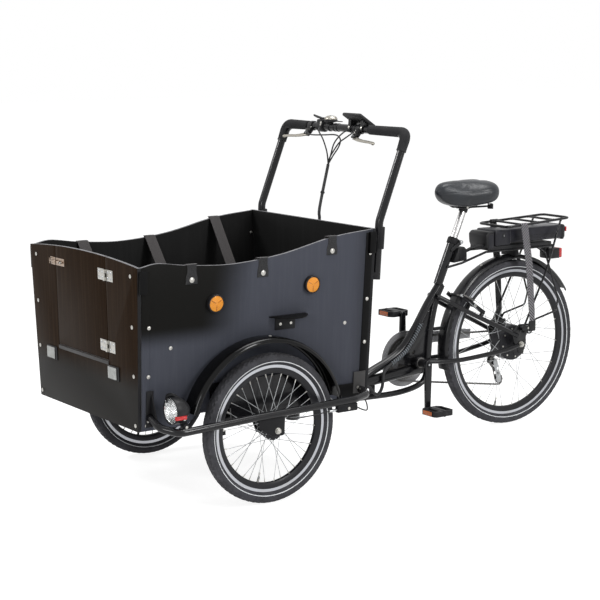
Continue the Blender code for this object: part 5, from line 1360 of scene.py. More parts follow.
@dataclass
class Studio:
    """Pale floor, soft lamps and a camera at the photo's view."""

    azimuth: float = 54.974
    elevation: float = 9.163
    place: tuple[float, float, float] = (4.7391, -3.5447, 1.5185)
    lens: float = 98.16
    sensor: float = 36.0
    ambient: float = 0.42
    floor_size: float = 60.0
    floor_glow: float = 1.45
    floor_share: float = 0.6
    aim: tuple[float, float, float] = (0.0, -0.1, 0.5)
    lamps: tuple[tuple[str, Point, float, tuple[float, float]], ...] = (
        ("key", (-2.6, -4.6, 4.2), 165.0, (1.5, 0.9)), ("side", (4.6, 1.2, 3.0), 120.0, (0.7, 2.4)),
        ("top", (0.6, 0.6, 4.6), 120.0, (2.2, 2.2)), ("front", (3.6, -5.0, 2.2), 60.0, (0.8, 1.6)),
    )

    def build(self) -> None:
        """Make the floor, the world, the lamps and the camera."""
        self.camera()
        self.world()
        self.floor()
        for lamp in self.lamps:
            self.lamp(*lamp)
        bpy.context.scene.view_settings.view_transform = "Standard"

    def camera(self) -> None:
        """Make the camera from the solved view."""
        data = bpy.data.cameras.new("camera")
        data.lens = self.lens
        data.sensor_width = self.sensor
        item = bpy.data.objects.new("camera", data)
        bpy.context.scene.collection.objects.link(item)
        turn, rise = math.radians(self.azimuth), math.radians(self.elevation)
        back = Vector((math.sin(turn) * math.cos(rise), -math.cos(turn) * math.cos(rise), math.sin(rise)))
        item.location = self.place
        item.rotation_mode = "QUATERNION"
        item.rotation_quaternion = (-back).to_track_quat("-Z", "Y")
        bpy.context.scene.camera = item

    def lamp(self, name: str, place: Point, watts: float, size: tuple[float, float]) -> None:
        """Make a soft lamp that faces the tricycle.

        Args:
            name: The lamp's name.
            place: Where it stands.
            watts: Its power.
            size: Width and height of its face.
        """
        data = bpy.data.lights.new(name, "AREA")
        data.shape = "RECTANGLE"
        data.energy = watts
        data.size, data.size_y = size
        item = bpy.data.objects.new(name, data)
        bpy.context.scene.collection.objects.link(item)
        item.location = place
        aim = Vector(self.aim) - Vector(place)
        item.rotation_mode = "QUATERNION"
        item.rotation_quaternion = aim.to_track_quat("-Z", "Y")

    @staticmethod
    def seen(painter: Painter) -> Signal:
        """One for rays that show the background: straight, mirrored or through glass.

        Args:
            painter: The painter of the material.

        Returns:
            One or zero.
        """
        path = painter.node("ShaderNodeLightPath", out="Is Camera Ray")
        outputs = path.socket.node.outputs
        mirror = Signal(painter, outputs["Is Glossy Ray"])
        glass = Signal(painter, outputs["Is Transmission Ray"])
        return path.maths("MAXIMUM", mirror.maths("MAXIMUM", glass))

    def world(self) -> None:
        """A white surround for what is seen, and a plain grey light for what is lit."""
        world = bpy.data.worlds.new("studio")
        bpy.context.scene.world = world
        world.use_nodes = True
        painter = Painter(world.node_tree)
        power = self.ambient + self.seen(painter) * (1.0 - self.ambient)
        light = painter.node("ShaderNodeBackground", values={"Color": (1, 1, 1), "Strength": power})
        end = painter.tree.nodes.new("ShaderNodeOutputWorld")
        painter.tree.links.new(light.socket, end.inputs["Surface"])

    def floor(self) -> None:
        """A wide pale floor that keeps the tricycle's shadow."""
        alone()
        bpy.ops.mesh.primitive_plane_add(size=self.floor_size, location=(0.0, 0.0, -0.0005))
        item = settle("floor")
        made = bpy.data.materials.new("studio_floor")
        made.use_nodes = True
        painter = Painter(made.node_tree)
        cloud = painter.noise(painter.coords(), 0.6, 2.0)
        colour = painter.mix(cloud, (0.8, 0.8, 0.8), (0.84, 0.84, 0.84))
        matt = painter.node("ShaderNodeBsdfPrincipled", values={
            "Base Color": colour, "Roughness": 0.9, "Specular IOR Level": 0.1,
        })
        white = painter.node("ShaderNodeEmission", values={"Color": (1, 1, 1), "Strength": self.floor_glow})
        share = self.seen(painter) * self.floor_share
        painter.node_end(painter.node("ShaderNodeMixShader", values=(share, matt, white)))
        item.data.materials.append(made)


@dataclass
class CargoBox:
    """The plywood box with its door, hinges, sockets, steps, reflectors and webbing."""

    body: str = "front_module"
    door_x0: float = -0.182
    door_x1: float = 0.165
    sill_rise: float = 0.205
    door_gap: float = 0.0015
    hinge_rises: tuple[float, float] = (0.232, 0.463)
    hinge_high: float = 0.037
    leaf: float = 0.049
    leaf_t: float = 0.0015
    knuckle_r: float = 0.004
    knuckle_out: float = 0.005
    latch_rise: float = 0.487
    latch_out: float = 0.012
    strap_width: float = 0.042
    tab_share: float = 0.78
    strap_drop: float = 0.062
    strap_places: tuple[float, ...] = (-0.275, -0.005, 0.27)
    bench_rise: float = 0.273
    bench_deep: float = 0.21
    arch_rise: float = 0.033
    edge_bevel: float = 0.0012
    dark_band_high: float = 0.058
    socket_high: float = 0.073
    step_start: float = 0.024
    step_rise: float = 0.322
    step_long: float = 0.149
    step_deep: float = 0.072
    strap_thick: float = 0.0018
    ribbed_places: tuple[float, float] = (-0.231, 0.202)
    reflector_places: tuple[Point, Point] = ((-0.187, 0.678), (0.189, 0.707))
    strip_bolts: tuple[Point, ...] = (
        (-0.443, 0.787), (-0.428, 0.621), (-0.427, 0.464), (-0.43, 0.306), (0.43, 0.793),
        (0.424, 0.636), (0.421, 0.486), (0.417, 0.326),
    )
    panel_bolts: tuple[Point, ...] = ((-0.347, 0.548), (0.083, 0.589), (0.335, 0.561))
    front_rows: tuple[float, ...] = (0.783, 0.622, 0.465, 0.306)
    rear_rows: tuple[float, ...] = (0.8, 0.64, 0.48, 0.32)

    def build(self) -> None:
        """Build the whole box."""
        for side in Side:
            self.side_panel(side)
            self.side_trim(side)
            self.side_bolts(side)
            self.reflectors(side)
            for index, place in enumerate(self.strap_places):
                self.strap(side, index, PLAN.front_y + place)
        self.front_panel()
        self.door()
        self.latch()
        self.rear_panel()
        self.front_bolts()
        repaint("box_floor", FLOOR_FILM)
        repaint("bench_left", FLOOR_FILM)
        repaint("bench_right", FLOOR_FILM)

    def side_panel(self, side: Side) -> None:
        """The wavy-topped side: painted slate reflection on the outside film, dark film inside, grey
        layered edges.

        Args:
            side: The rider's left or right.
        """
        rear = PLAN.panel + PLAN.gap
        low = PLAN.box_z + self.arch_rise
        front_foot = PLAN.front(PLAN.box_z) + rear
        rear_foot = PLAN.rear(PLAN.box_z) - rear
        edge = [(min(y, PLAN.rear(z) - rear), z) for y, z in PLAN.side_edge()]
        outline = [
            (front_foot, PLAN.box_z), (PLAN.front_y - 0.28, PLAN.box_z), (PLAN.front_y - 0.24, low),
            (PLAN.front_y + 0.27, low), (PLAN.front_y + 0.31, PLAN.box_z), (rear_foot, PLAN.box_z),
            *reversed(edge),
        ]
        item = plate("side_board", outline, PLAN.panel, across(PLAN.half - PLAN.panel / 2), self.edge_bevel)
        PLAN.lean_side(item)
        dress(
            item, SIDE_FILM, (INNER_FILM, lambda c, n: n.x < -0.75),
            (PLY_EDGE, lambda c, n: abs(n.x) <= 0.75),
        )
        keep_sided(item, side, "side_board_", self.body, "panel_film", "side_panel_")

    def side_trim(self, side: Side) -> None:
        """Corner strips, hollow pole sockets, a dark band at the foot and the step over the mudguard.

        Args:
            side: The rider's left or right.
        """
        made = Kit()
        for face, offset in ((PLAN.front, 1), (PLAN.rear, -1)):
            rear = offset * (PLAN.panel + PLAN.gap)
            high = PLAN.front_high if offset > 0 else PLAN.rear_high
            run = []
            for rise, wide in ((0.006, 0.0), (0.006, 0.028), (high - 0.012, 0.028), (high - 0.012, 0.0)):
                z = PLAN.box_z + rise
                run.append((face(z) + rear + offset * (wide + 0.0006), z))
            made.add(
                plate("strip", run, 0.0019, across(PLAN.half + 0.00095), 0.0006),
                SIDE_FILM if offset > 0 else TRIM_BLACK,
            )
            made.append(self.socket(face, offset, high))
        made.append(self.step())
        # A dark band along the foot of the side, from behind the front wheel to the rear corner.
        made.add(block(
            "rail", (PLAN.half + 0.0001, PLAN.front_y + 0.316, PLAN.box_z + 0.003),
            (PLAN.half + 0.004, PLAN.box_y1 - 0.03, PLAN.box_z + self.dark_band_high), 0.0012,
        ), TRIM_BLACK)
        item = PLAN.lean_side(join("side_trim", made))
        keep_sided(item, side, "side_trim_", self.body, "black_frame_paint")

    def socket(self, face: Callable[[float], float], offset: int, high: float) -> Item:
        """A square socket for a hood pole, open at its top.

        Args:
            face: The front or rear face of the box.
            offset: Plus at the front and minus at the rear.
            high: Height of the box there.

        Returns:
            The socket before it leans.
        """
        top = PLAN.box_z + high - 0.01
        near = face(top) + offset * 0.005
        low, far = sorted((near, near + offset * 0.026))
        item = block(
            "socket", (PLAN.half + 0.0002, low, top - self.socket_high), (PLAN.half + 0.012, far, top)
        )
        pick(item, lambda c, n: n.z > 0.9)
        bpy.ops.mesh.inset(thickness=0.0022)
        extrude((0, 0, -0.06))
        bpy.ops.object.mode_set(mode="OBJECT")
        return dress(soften(item, 0.0009), TRIM_BLACK)

    def step(self) -> Item:
        """A thin lens-shaped step with its flange.

        Returns:
            The step before it leans.
        """
        start = PLAN.front_y + self.step_start
        z = PLAN.box_z + self.step_rise
        lens = [(PLAN.half, start)]
        for k in range(17):
            bulge = max(0.0, math.sin(math.pi * k / 16)) ** 0.7
            lens.append((PLAN.half + self.step_deep * bulge, start + self.step_long * k / 16))
        lens.append((PLAN.half, start + self.step_long))
        tread = dress(plate("tread", lens[1:-1], 0.004, level(z + 0.002), 0.0008), TRIM_BLACK)
        middle = start + self.step_long / 2
        flange = block(
            "flange", (PLAN.half + 0.0001, middle - 0.05, z - 0.045), (PLAN.half + 0.003, middle + 0.03, z),
            0.0012,
        )
        heads = [
            copied_bolt((PLAN.half + 0.003, middle + shift, z - 0.025)) for shift in (-0.03, 0.012)
        ]
        return join("step", [tread, dress(flange, SATIN_BLACK), *heads])

    def side_bolts(self, side: Side) -> None:
        """Bolts through the corner strips, the panel and the webbing tabs, with their inner nuts.

        Args:
            side: The rider's left or right.
        """
        places = [(y, z, 0.002) for y, z in self.strip_bolts] + [(y, z, 0.0) for y, z in self.panel_bolts]
        head = bolt_head("side_bolts_" + side.word)
        spots = [
            facing((PLAN.side(z) + out, PLAN.front_y + y, z), PLAN.side_normal) for y, z, out in places
        ]
        inward = [
            facing((PLAN.side(z) - PLAN.panel, PLAN.front_y + y, z), (-1.0, 0.0, PLAN.side_lean))
            for y, z, _ in places
        ]
        item = repeated("side_bolts_" + side.word, head, spots + inward)
        keep_sided(item, side, "side_bolts_", self.body, "bright_steel")

    def reflectors(self, side: Side) -> None:
        """Round amber reflectors in black rings.

        Args:
            side: The rider's left or right.
        """
        made = Kit()
        for y, z in self.reflector_places:
            place = facing((PLAN.side(z), PLAN.front_y + y, z), PLAN.side_normal)
            ring = [
                (0.0, 0.0), (0.0, 0.0295), (0.012, 0.0295), (0.0134, 0.0284), (0.0134, 0.0258),
                (0.011, 0.0255), (0.011, 0.0),
            ]
            made.add(lathe("ring", ring, place, 48, False), BLACK_PLASTIC)
            face = [
                (0.0111, 0.0), (0.0111, 0.0252), (0.0122, 0.0252), (0.0134, 0.023), (0.0134, 0.01),
                (0.014, 0.0085), (0.014, 0.0),
            ]
            made.add(lathe("amber", face, place, 48, False), AMBER)
            rib = dress(block("rib", (0.012, -0.001, 0.004), (0.0141, 0.001, 0.0232), 0.0004), AMBER_RIB)
            turns = [place @ turn for turn in turn_row(3, 120, 60)]
            made.append(repeated("ribs", rib, turns))
            made.add(
                lathe(
                    "hoop", [(0.0078, 0.0115), (0.0084, 0.012), (0.0078, 0.0132), (0.007, 0.0124)], place,
                    40,
                ),
                AMBER_RIB,
            )
        made.keep_sided(side, "side_reflectors_", self.body, "clear_grey_plastic")

    def strap(self, side: Side, index: int, y: float) -> None:
        """One webbing strap: a bolted tab outside, over the edge, and down to the bench.

        Args:
            side: Which side of the box.
            index: The strap's number from the front.
            y: Its place along the box.
        """
        half = self.strap_width / 2
        top = max(PLAN.edge_z(y - half), PLAN.edge_z(y + half)) + PLAN.gap
        foot = top - self.strap_drop
        rest = PLAN.box_z + self.bench_rise + 0.0012
        edge = PLAN.side(PLAN.box_z + self.bench_rise) - PLAN.panel - self.bench_deep
        out = PLAN.side(top) + 0.0012
        line = bent([
            (PLAN.side(foot) + 0.0012, y, foot), (out, y, top + 0.0011),
            (out - PLAN.panel - 0.0022, y, top + 0.0009), (edge + 0.02, y, rest), (edge + 0.002, y, rest),
        ], 0.003, 3)
        length = run_length(line)
        spots = [(p.x, y - half, p.z) for p in line]
        name = "strap_%s_%d" % (side.word, index + 1)
        item = draw(name, spots)
        with editing():
            extrude((0, self.strap_width, 0))
            bpy.ops.mesh.select_all(action="SELECT")
            bpy.ops.mesh.subdivide(number_cuts=2)
        for vertex in item.data.vertices:
            share = (vertex.co.y - y) / half
            vertex.co.z -= 0.0004 * share * share
            if vertex.co.x > out - 0.002:
                vertex.co.y = y + share * half * self.tab_share
        modify(item, "SOLIDIFY", thickness=self.strap_thick, offset=0.0)
        merge_and_face_out(item)
        dress(item, STRAP, (BLACK_WEB, lambda c, n: c.x > out - 0.005 and n.x > 0.5))
        item = flipped(item, side)
        item.name = name
        keep(item, self.body, "grey_webbing", "bench_straps_" + side.word)
        z = foot + 0.013
        head = bolt_head("tab_bolt_%s_%d" % (side.word, index + 1), 0.0066, 0.0036)
        put(head, facing((PLAN.side(z) + 0.0022, y, z), PLAN.side_normal))
        head = flipped(head, side)
        keep(head, self.body, "bright_steel")

    def front_panel(self) -> None:
        """The front round the door, with hinge leaves, sill strip, ribbed plates, striker and staple."""
        foot = PLAN.side(PLAN.box_z)
        head = PLAN.side(PLAN.box_z + PLAN.front_high)
        sill = PLAN.box_z + self.sill_rise - self.door_gap
        left = self.door_x1 + self.door_gap
        right = self.door_x0 - self.door_gap
        outline = [
            (-foot, PLAN.box_z), (foot, PLAN.box_z), *PLAN.arch(head, left, 10), (left, sill),
            (right, sill), *PLAN.arch(right, -head, 10),
        ]
        board = plate(
            "front_board", outline, PLAN.panel, along(PLAN.box_y0 + PLAN.panel / 2), self.edge_bevel
        )
        dress(
            board, DOOR_FILM, (INNER_FILM, lambda c, n: n.y > 0.75),
            (SATIN_BLACK, lambda c, n: abs(n.x) > 0.75), (PLY_EDGE, lambda c, n: n.z > 0.5),
        )
        made = Kit([board, self.sill(left, right, sill)])
        made += [self.ribbed_plate(x) for x in self.ribbed_places]
        made += self.leaves(1, (0, 2))
        made.add(block(
            "striker", (self.door_x0 - 0.036, PLAN.box_y0 - 0.0016, PLAN.box_z + self.latch_rise - 0.013),
            (right - 0.001, PLAN.box_y0 + 0.0002, PLAN.box_z + self.latch_rise + 0.013), 0.0008,
        ), BRASSY)
        made.add(tube("staple", bent([
            (self.door_x0 - 0.024, PLAN.box_y0 - 0.001, PLAN.box_z + self.latch_rise - 0.009),
            (self.door_x0 - 0.024, PLAN.box_y0 - 0.0115, PLAN.box_z + self.latch_rise - 0.009),
            (self.door_x0 - 0.024, PLAN.box_y0 - 0.0115, PLAN.box_z + self.latch_rise + 0.009),
            (self.door_x0 - 0.024, PLAN.box_y0 - 0.001, PLAN.box_z + self.latch_rise + 0.009),
        ], 0.003, 4), 0.0011, 8), BRASSY)
        item = PLAN.lean_front(join("front_board", made))
        keep(item, self.body, "door_film", "front_panel")

    def sill(self, left: float, right: float, z: float) -> Item:
        """The grey threshold strip under the door."""
        strip = block(
            "sill", (right, PLAN.box_y0 - 0.0022, z - 0.014), (left, PLAN.box_y0, z - 0.002), 0.0008
        )
        return dress(strip, BRACKET_GREY)

    def ribbed_plate(self, x: float) -> Item:
        """A ribbed pale plate in a dark frame on the lower front.

        Args:
            x: Where along X it sits.

        Returns:
            The plate.
        """
        y = PLAN.box_y0
        low, high = PLAN.box_z + 0.145, PLAN.box_z + 0.191
        frame_block = block("frame", (x - 0.024, y - 0.004, low), (x + 0.034, y, high), 0.0012)
        made = Kit()
        made.add(frame_block, BLACK_PLASTIC)
        made.add(
            block(
                "face", (x - 0.034, y - 0.0062, low + 0.001), (x + 0.022, y - 0.0004, high - 0.001), 0.0012
            ),
            BRACKET_GREY,
        )
        rib = dress(block(
            "rib", (x - 0.032, y - 0.0076, low + 0.004), (x - 0.0278, y - 0.0058, high - 0.004), 0.0007
        ), GREY_PLASTIC)
        shifts = shift_row(9, (0.0062, 0, 0))
        made.append(repeated("ribs", rib, shifts))
        return join("ribbed_plate", made)

    def leaves(self, way: int, thirds: Sequence[int]) -> list[Item]:
        """Hinge leaves on one side of the door's edge, with their knuckles and screws.

        Args:
            way: Plus for the fixed side, minus for the door.
            thirds: Which thirds of the barrel belong to it.

        Returns:
            The pieces.
        """
        made = Kit()
        third = self.hinge_high / 3
        y = PLAN.box_y0
        for rise in self.hinge_rises:
            low = PLAN.box_z + rise
            first, last = sorted((
                self.door_x1 + way * (self.knuckle_r + 0.0005), self.door_x1 + way * self.leaf
            ))
            made.add(
                block(
                    "leaf", (first, y - self.leaf_t, low), (last, y + 0.0002, low + self.hinge_high), 0.0006
                ),
                ZINC,
            )
            for index in thirds:
                bottom = low + index * third + PLAN.gap
                top = bottom + third - 2 * PLAN.gap
                out = y - self.knuckle_out
                made.add(
                    rod(
                        "barrel", (self.door_x1, out, bottom), (self.door_x1, out, top), self.knuckle_r, 20
                    ),
                    ZINC,
                )
                wide = sorted((self.door_x1, self.door_x1 + way * (self.knuckle_r + 0.003)))
                made.add(
                    block("link", (wide[0], out + 0.001, bottom), (wide[1], y - 0.0006, top), 0.0005), ZINC
                )
            screw = dress(lathe("screw", [
                (0.0, 0.0), (0.0, 0.0042), (0.0012, 0.0036), (0.0016, 0.002), (0.001, 0.0012), (0.001, 0.0),
            ], HERE, 16, False), STEEL, angle=50.0)
            spots = [
                facing((self.door_x1 + way * across_at, y - self.leaf_t, low + up), (0, -1, 0))
                for across_at in (0.018, 0.039) for up in (0.009, 0.028)
            ]
            made.append(repeated("screws", screw, spots))
        return made

    def door(self) -> None:
        """The hinged middle of the front, with its leaves and the bolt's housing."""
        sill = PLAN.box_z + self.sill_rise
        edge = self.door_x1 - self.door_gap
        outline = [(self.door_x0, sill), (edge, sill), *PLAN.arch(edge, self.door_x0, 16)]
        board = plate(
            "door_board", outline, PLAN.panel, along(PLAN.box_y0 + PLAN.panel / 2), self.edge_bevel
        )
        dress(
            board, DOOR_FILM, (INNER_FILM, lambda c, n: n.y > 0.75), (PLY_EDGE, lambda c, n: n.z > 0.5)
        )
        made = Kit([board, *self.leaves(-1, (1,))])
        z = PLAN.box_z + self.latch_rise
        y = PLAN.box_y0
        made.add(
            block(
                "latch_base", (self.door_x0 + 0.002, y - 0.0015, z - 0.0125),
                (self.door_x0 + 0.062, y + 0.0002, z + 0.0125), 0.0006,
            ),
            BRASSY,
        )
        for start in (0.004, 0.03):
            ring = [
                (y - 0.001, z + 0.0055), *arc((y - 0.006, z), 0.0058, 90, 270, 12), (y - 0.001, z - 0.0055),
                (y - 0.001, z - 0.0045), *arc((y - 0.006, z), 0.0044, 270, 90, 12), (y - 0.001, z + 0.0045),
            ]
            made.add(plate("guide", ring, 0.012, across(self.door_x0 + start + 0.006)), BRASSY)
        item = PLAN.lean_front(join("door_board", made))
        keep(item, "door", "door_film", "door")

    def latch(self) -> None:
        """The sliding bolt with its knob."""
        z = PLAN.box_z + self.latch_rise
        y = PLAN.box_y0 - self.latch_out / 2
        bolt = cross_rod(
            "bolt", self.door_x0 - 0.032, self.door_x0 + 0.056, (y, z), 0.0035, 20, bevel=0.0008
        )
        knob = rod(
            "knob", (self.door_x0 + 0.051, y + 0.001, z), (self.door_x0 + 0.051, y - 0.006, z), 0.004, 20,
            bevel=0.001,
        )
        item = join("door_bolt", [dress(bolt, BRASSY), dress(knob, ZINC)])
        keep(PLAN.lean_front(item), "door_latch", "bright_steel", "door_latch")

    def rear_panel(self) -> None:
        """The straight-topped rear wall."""
        top = PLAN.box_z + PLAN.rear_high
        foot, head = PLAN.side(PLAN.box_z), PLAN.side(top)
        outline = [(-foot, PLAN.box_z), (foot, PLAN.box_z), (head, top), (-head, top)]
        board = plate(
            "rear_board", outline, PLAN.panel, along(PLAN.box_y1 - PLAN.panel / 2), self.edge_bevel
        )
        # The outside takes the side film, with its painted slate reflection and its painted dark
        # reflection.
        dress(
            board, SIDE_FILM, (INNER_FILM, lambda c, n: n.y < -0.75),
            (SATIN_BLACK, lambda c, n: abs(n.x) > 0.75), (PLY_EDGE, lambda c, n: n.z > 0.5),
        )
        keep(PLAN.lean_rear(board), self.body, "panel_film", "rear_panel")

    def front_bolts(self) -> None:
        """Bolts at both upright edges of the front and of the rear wall."""
        head = bolt_head("front_bolts", 0.005)
        spots = []
        for rows, out, wall, normal in (
            (self.front_rows, 0.328, PLAN.front, (0, -1, -PLAN.front_lean)),
            (self.rear_rows, 0.322, PLAN.rear, (0, 1, -PLAN.rear_lean)),
        ):
            spots += [facing((x, wall(z), z), normal) for z in rows for x in (-out, out)]
        keep(repeated("front_bolts", head, spots), self.body, "bright_steel")


def copied_bolt(place: Point, normal: Point = (1, 0, 0)) -> Item:
    """A small bolt head at a place."""
    return put(bolt_head("bolt", 0.0038, 0.0026), facing(place, normal))


class Hub(Enum):
    """What sits in the middle of a wheel."""

    DRUM = "drum brake"
    MOTOR = "motor"


@dataclass
class SpokedWheel:
    """One wheel: treaded tyre, black rim with a machined band, crossed spokes and its hub."""

    body: str
    node: str
    tyre_node: str
    centre: tuple[float, float, float]
    radius: float
    hub: Hub
    side: Side = Side.LEFT
    tyre_high: float = 0.038
    tyre_half: float = 0.0235
    rim_half: float = 0.0125
    rim_deep: float = 0.03
    spoke_r: float = 0.001
    steps: int = 144
    band_deep: float = 0.0095
    tread_rise: float = 0.0019
    spoke_lean: float = 0.95
    drum_r: float = 0.036

    def build(self) -> None:
        """Build the tyre and the wheel."""
        self.tyre()
        place = Matrix.Translation(self.centre)
        made = [self.rim(), self.spoke_set(), self.valve()]
        made += self.drum_hub() if self.hub is Hub.DRUM else self.motor_hub()
        wheel = flipped(join(self.node, made), self.side)
        wheel.name = self.node + "_laced"
        keep(put(wheel, place), self.body, "rim_metal", self.node)

    def tyre(self) -> None:
        """A tyre with raised tread blocks and a reflective line on both sides."""
        top = self.radius
        seat = top - self.tyre_high + PLAN.gap
        half = self.tyre_half
        line = seat + 0.0112
        right = [
            (0.011, seat), (0.0135, seat + 0.0022), (0.0178, seat + 0.0066), (half - 0.003, line - 0.0013),
            (half - 0.0022, line + 0.0013), (half, seat + 0.019), (half - 0.0003, seat + 0.0235),
            (half - 0.0024, top - 0.0088), (half - 0.0058, top - 0.0046), (0.0118, top - 0.0027),
            (0.0055, top - self.tread_rise),
        ]
        profile = mirrored(right)
        item = lathe(self.tyre_node, profile, HERE, self.steps)
        step = math.tau / self.steps

        def number(spot: Vector) -> int:
            """Which step of the turn a face lies in."""
            return int((math.atan2(spot.z, spot.y) % (math.tau)) / step)

        def blocks(phase: int, low: float, high: float, inner: float) -> Test:
            """Faces of every other step between two distances from the middle.

            Args:
                phase: Which of every two steps.
                low: Nearest distance from the tyre's middle.
                high: Furthest distance from it.
                inner: Faces nearer to the axle are left out.

            Returns:
                The test for a face.
            """
            def wanted(spot: Vector, normal: Vector) -> bool:
                """Whether the face becomes a block."""
                outside = off_axle(spot) > inner
                return outside and low < abs(spot.x) < high and number(spot) % 2 == phase
            return wanted

        for phase, low, high in (
            (0, 0.0, 0.0054), (1, 0.0056, 0.0117), (0, 0.0119, 0.0176), (1, 0.0178, 0.0222)
        ):
            pick(item, blocks(phase, low, high, top - 0.0078))
            bpy.ops.mesh.inset(thickness=0.0008, depth=self.tread_rise * (1.0 if low < 0.011 else 0.8))
            bpy.ops.object.mode_set(mode="OBJECT")
        for vertex in item.data.vertices:
            reach = off_axle(vertex.co)
            if reach > top:
                vertex.co.yz *= top / reach
        dress(
            item, TYRE,
            (REFLECT_LINE, lambda c, n: abs(off_axle(c) - line) < 0.0012 and abs(c.x) > 0.018),
            (TREAD, lambda c, n: off_axle(c) > top - 0.008),
        )
        item.name = self.tyre_node + "_treaded"
        keep(put(item, Matrix.Translation(self.centre)), self.body, "tyre_rubber", self.tyre_node)

    def rim(self) -> Item:
        """A double-walled rim with a machined braking band and its joint.

        Returns:
            The rim.
        """
        out = self.radius - self.tyre_high
        inner = out - self.rim_deep
        half = self.rim_half
        right = [
            (half, out), (half, out - self.band_deep), (half - 0.0016, out - self.band_deep - 0.0012),
            (half - 0.003, inner + 0.008), (half - 0.0062, inner + 0.0014), (0.003, inner),
        ]
        well = [(-half + 0.0018, out), (-0.006, out - 0.004), (0.006, out - 0.004), (half - 0.0018, out)]
        item = lathe("rim", [*mirrored(right), *well], HERE, 120)
        return dress(
            item, RIM_BLACK,
            (BRAKE_TRACK, lambda c, n: abs(n.x) > 0.9 and off_axle(c) > out - self.band_deep),
            angle=25.0,
        )

    def flanges(self) -> tuple[tuple[float, float], tuple[float, float]]:
        """Place and radius of the spokes' two circles on the hub.

        Returns:
            Both circles, the inner one first.
        """
        if self.hub is Hub.DRUM:
            return (-0.025, 0.026), (0.0245, 0.033)
        return (-0.024, 0.066), (0.024, 0.066)

    def spoke_set(self) -> Item:
        """Crossed spokes in groups of four, each with its nipple and its bent head.

        Returns:
            All spokes as one object.
        """
        rim = self.radius - self.tyre_high - self.rim_deep
        made = Kit()
        for index in range(4):
            x, flange = self.flanges()[index % 2]
            leading = 1 if index // 2 else -1
            rim_angle = math.radians(10 * index + 5)
            hub_angle = rim_angle + leading * self.spoke_lean
            start = Vector(
                (x + 0.0025 * leading, flange * math.sin(hub_angle), flange * math.cos(hub_angle))
            )
            end = Vector((x * 0.12, rim * math.sin(rim_angle), rim * math.cos(rim_angle)))
            way = (end - start).normalized()
            made.add(rod("spoke", start, end, self.spoke_r, 8), STEEL)
            made.add(rod("nipple", end - way * 0.011, end + way * 0.003, 0.0015, 8, 0.0021), ZINC)
            made.add(
                rod("head", start + Vector((0.0022, 0, 0)), start - Vector((0.0022, 0, 0)), 0.0019, 8),
                STEEL,
            )
        group = join("spokes", made)
        return repeated("spokes", group, turn_row(9, -40))

    def valve(self) -> Item:
        """A rubber valve stem with a bright cap.

        Returns:
            The valve.
        """
        rim = self.radius - self.tyre_high - self.rim_deep
        stem = lathe("stem", [
            (0.0, 0.0), (0.0, 0.0044), (0.004, 0.004), (0.02, 0.0033), (0.021, 0.0026), (0.026, 0.0026),
            (0.026, 0.0032), (0.033, 0.003), (0.0345, 0.002), (0.0345, 0.0),
        ], HERE, 16, False)
        dress(stem, BLACK_PLASTIC, (ZINC, lambda c, n: c.x > 0.0205))
        way = Vector((0.0, -0.26, -1.0)).normalized()
        return put(stem, facing(way * (rim + 0.001), -way))

    def drum_hub(self) -> list[Item]:
        """A hub with a finned brake drum on its outer side and a flange inside.

        Returns:
            The shell and its ring of holes.
        """
        fins = []
        for k in range(5):
            x = 0.0088 + 0.0036 * k
            fins += [(x, self.drum_r), (x + 0.0004, 0.034), (x + 0.0014, 0.034), (x + 0.0018, self.drum_r)]
        profile = [
            (-0.034, 0.0056), (-0.034, 0.011), (-0.03, 0.015), (-0.0284, 0.029), (-0.0276, 0.03),
            (-0.0228, 0.03), (-0.022, 0.029), (-0.0212, 0.018), (-0.015, 0.0165), (0.002, 0.0165),
            (0.0046, 0.02), (0.006, 0.0348), (0.0068, self.drum_r), *fins, (0.027, self.drum_r),
            (0.0282, 0.034), (0.029, 0.0275), (0.032, 0.0255), (0.034, 0.013), (0.034, 0.0056),
        ]
        shell = dress(lathe("hub", profile, HERE, 72), HUB_BLACK)
        hole = dress(
            cross_rod("hole", 0.028, 0.0316, (0.0232, 0.0), 0.0026, 16, bevel=0.0004), DARK_STEEL
        )
        ring = repeated("screws", hole, turn_row(6, 60))
        return [shell, ring]

    def motor_hub(self) -> list[Item]:
        """A hub motor: two ribbed covers with screws round a smooth drum.

        Returns:
            The shell, its screws and its webs.
        """
        rings = ((0.033, 0.05), (0.0342, 0.046), (0.0342, 0.04), (0.035, 0.037))
        right = [
            (0.027, 0.07), (0.031, 0.0672), (0.0322, 0.061), *rings, (0.0362, 0.026), (0.04, 0.018),
            (0.044, 0.016), (0.044, 0.0066),
        ]
        left = [(-0.038, 0.0066), (-0.038, 0.029), (-0.0342, 0.04), (-0.0322, 0.061), (-0.031, 0.0672),
            (-0.027, 0.07)]
        seam = [(-0.0256, 0.07), (-0.0252, 0.069), (-0.0246, 0.069), (-0.0242, 0.07), (0.0242, 0.07),
            (0.0246, 0.069), (0.0252, 0.069), (0.0256, 0.07)]
        shell = dress(lathe("motor", [*left, *seam, *right], HERE, 96), HUB_BLACK)
        screw = put(bolt_head("screw", 0.0028, 0.0022), facing((0.0326, 0.057, 0.0), (1, 0, 0)))
        turns = turn_row(8, 45, 10)
        ring = repeated("screws", screw, turns)
        web = dress(block("web", (0.0326, -0.0022, 0.0285), (0.0352, 0.0022, 0.049), 0.001), HUB_BLACK)
        webs = repeated("webs", web, turn_row(12, 30))
        return [shell, ring, webs]


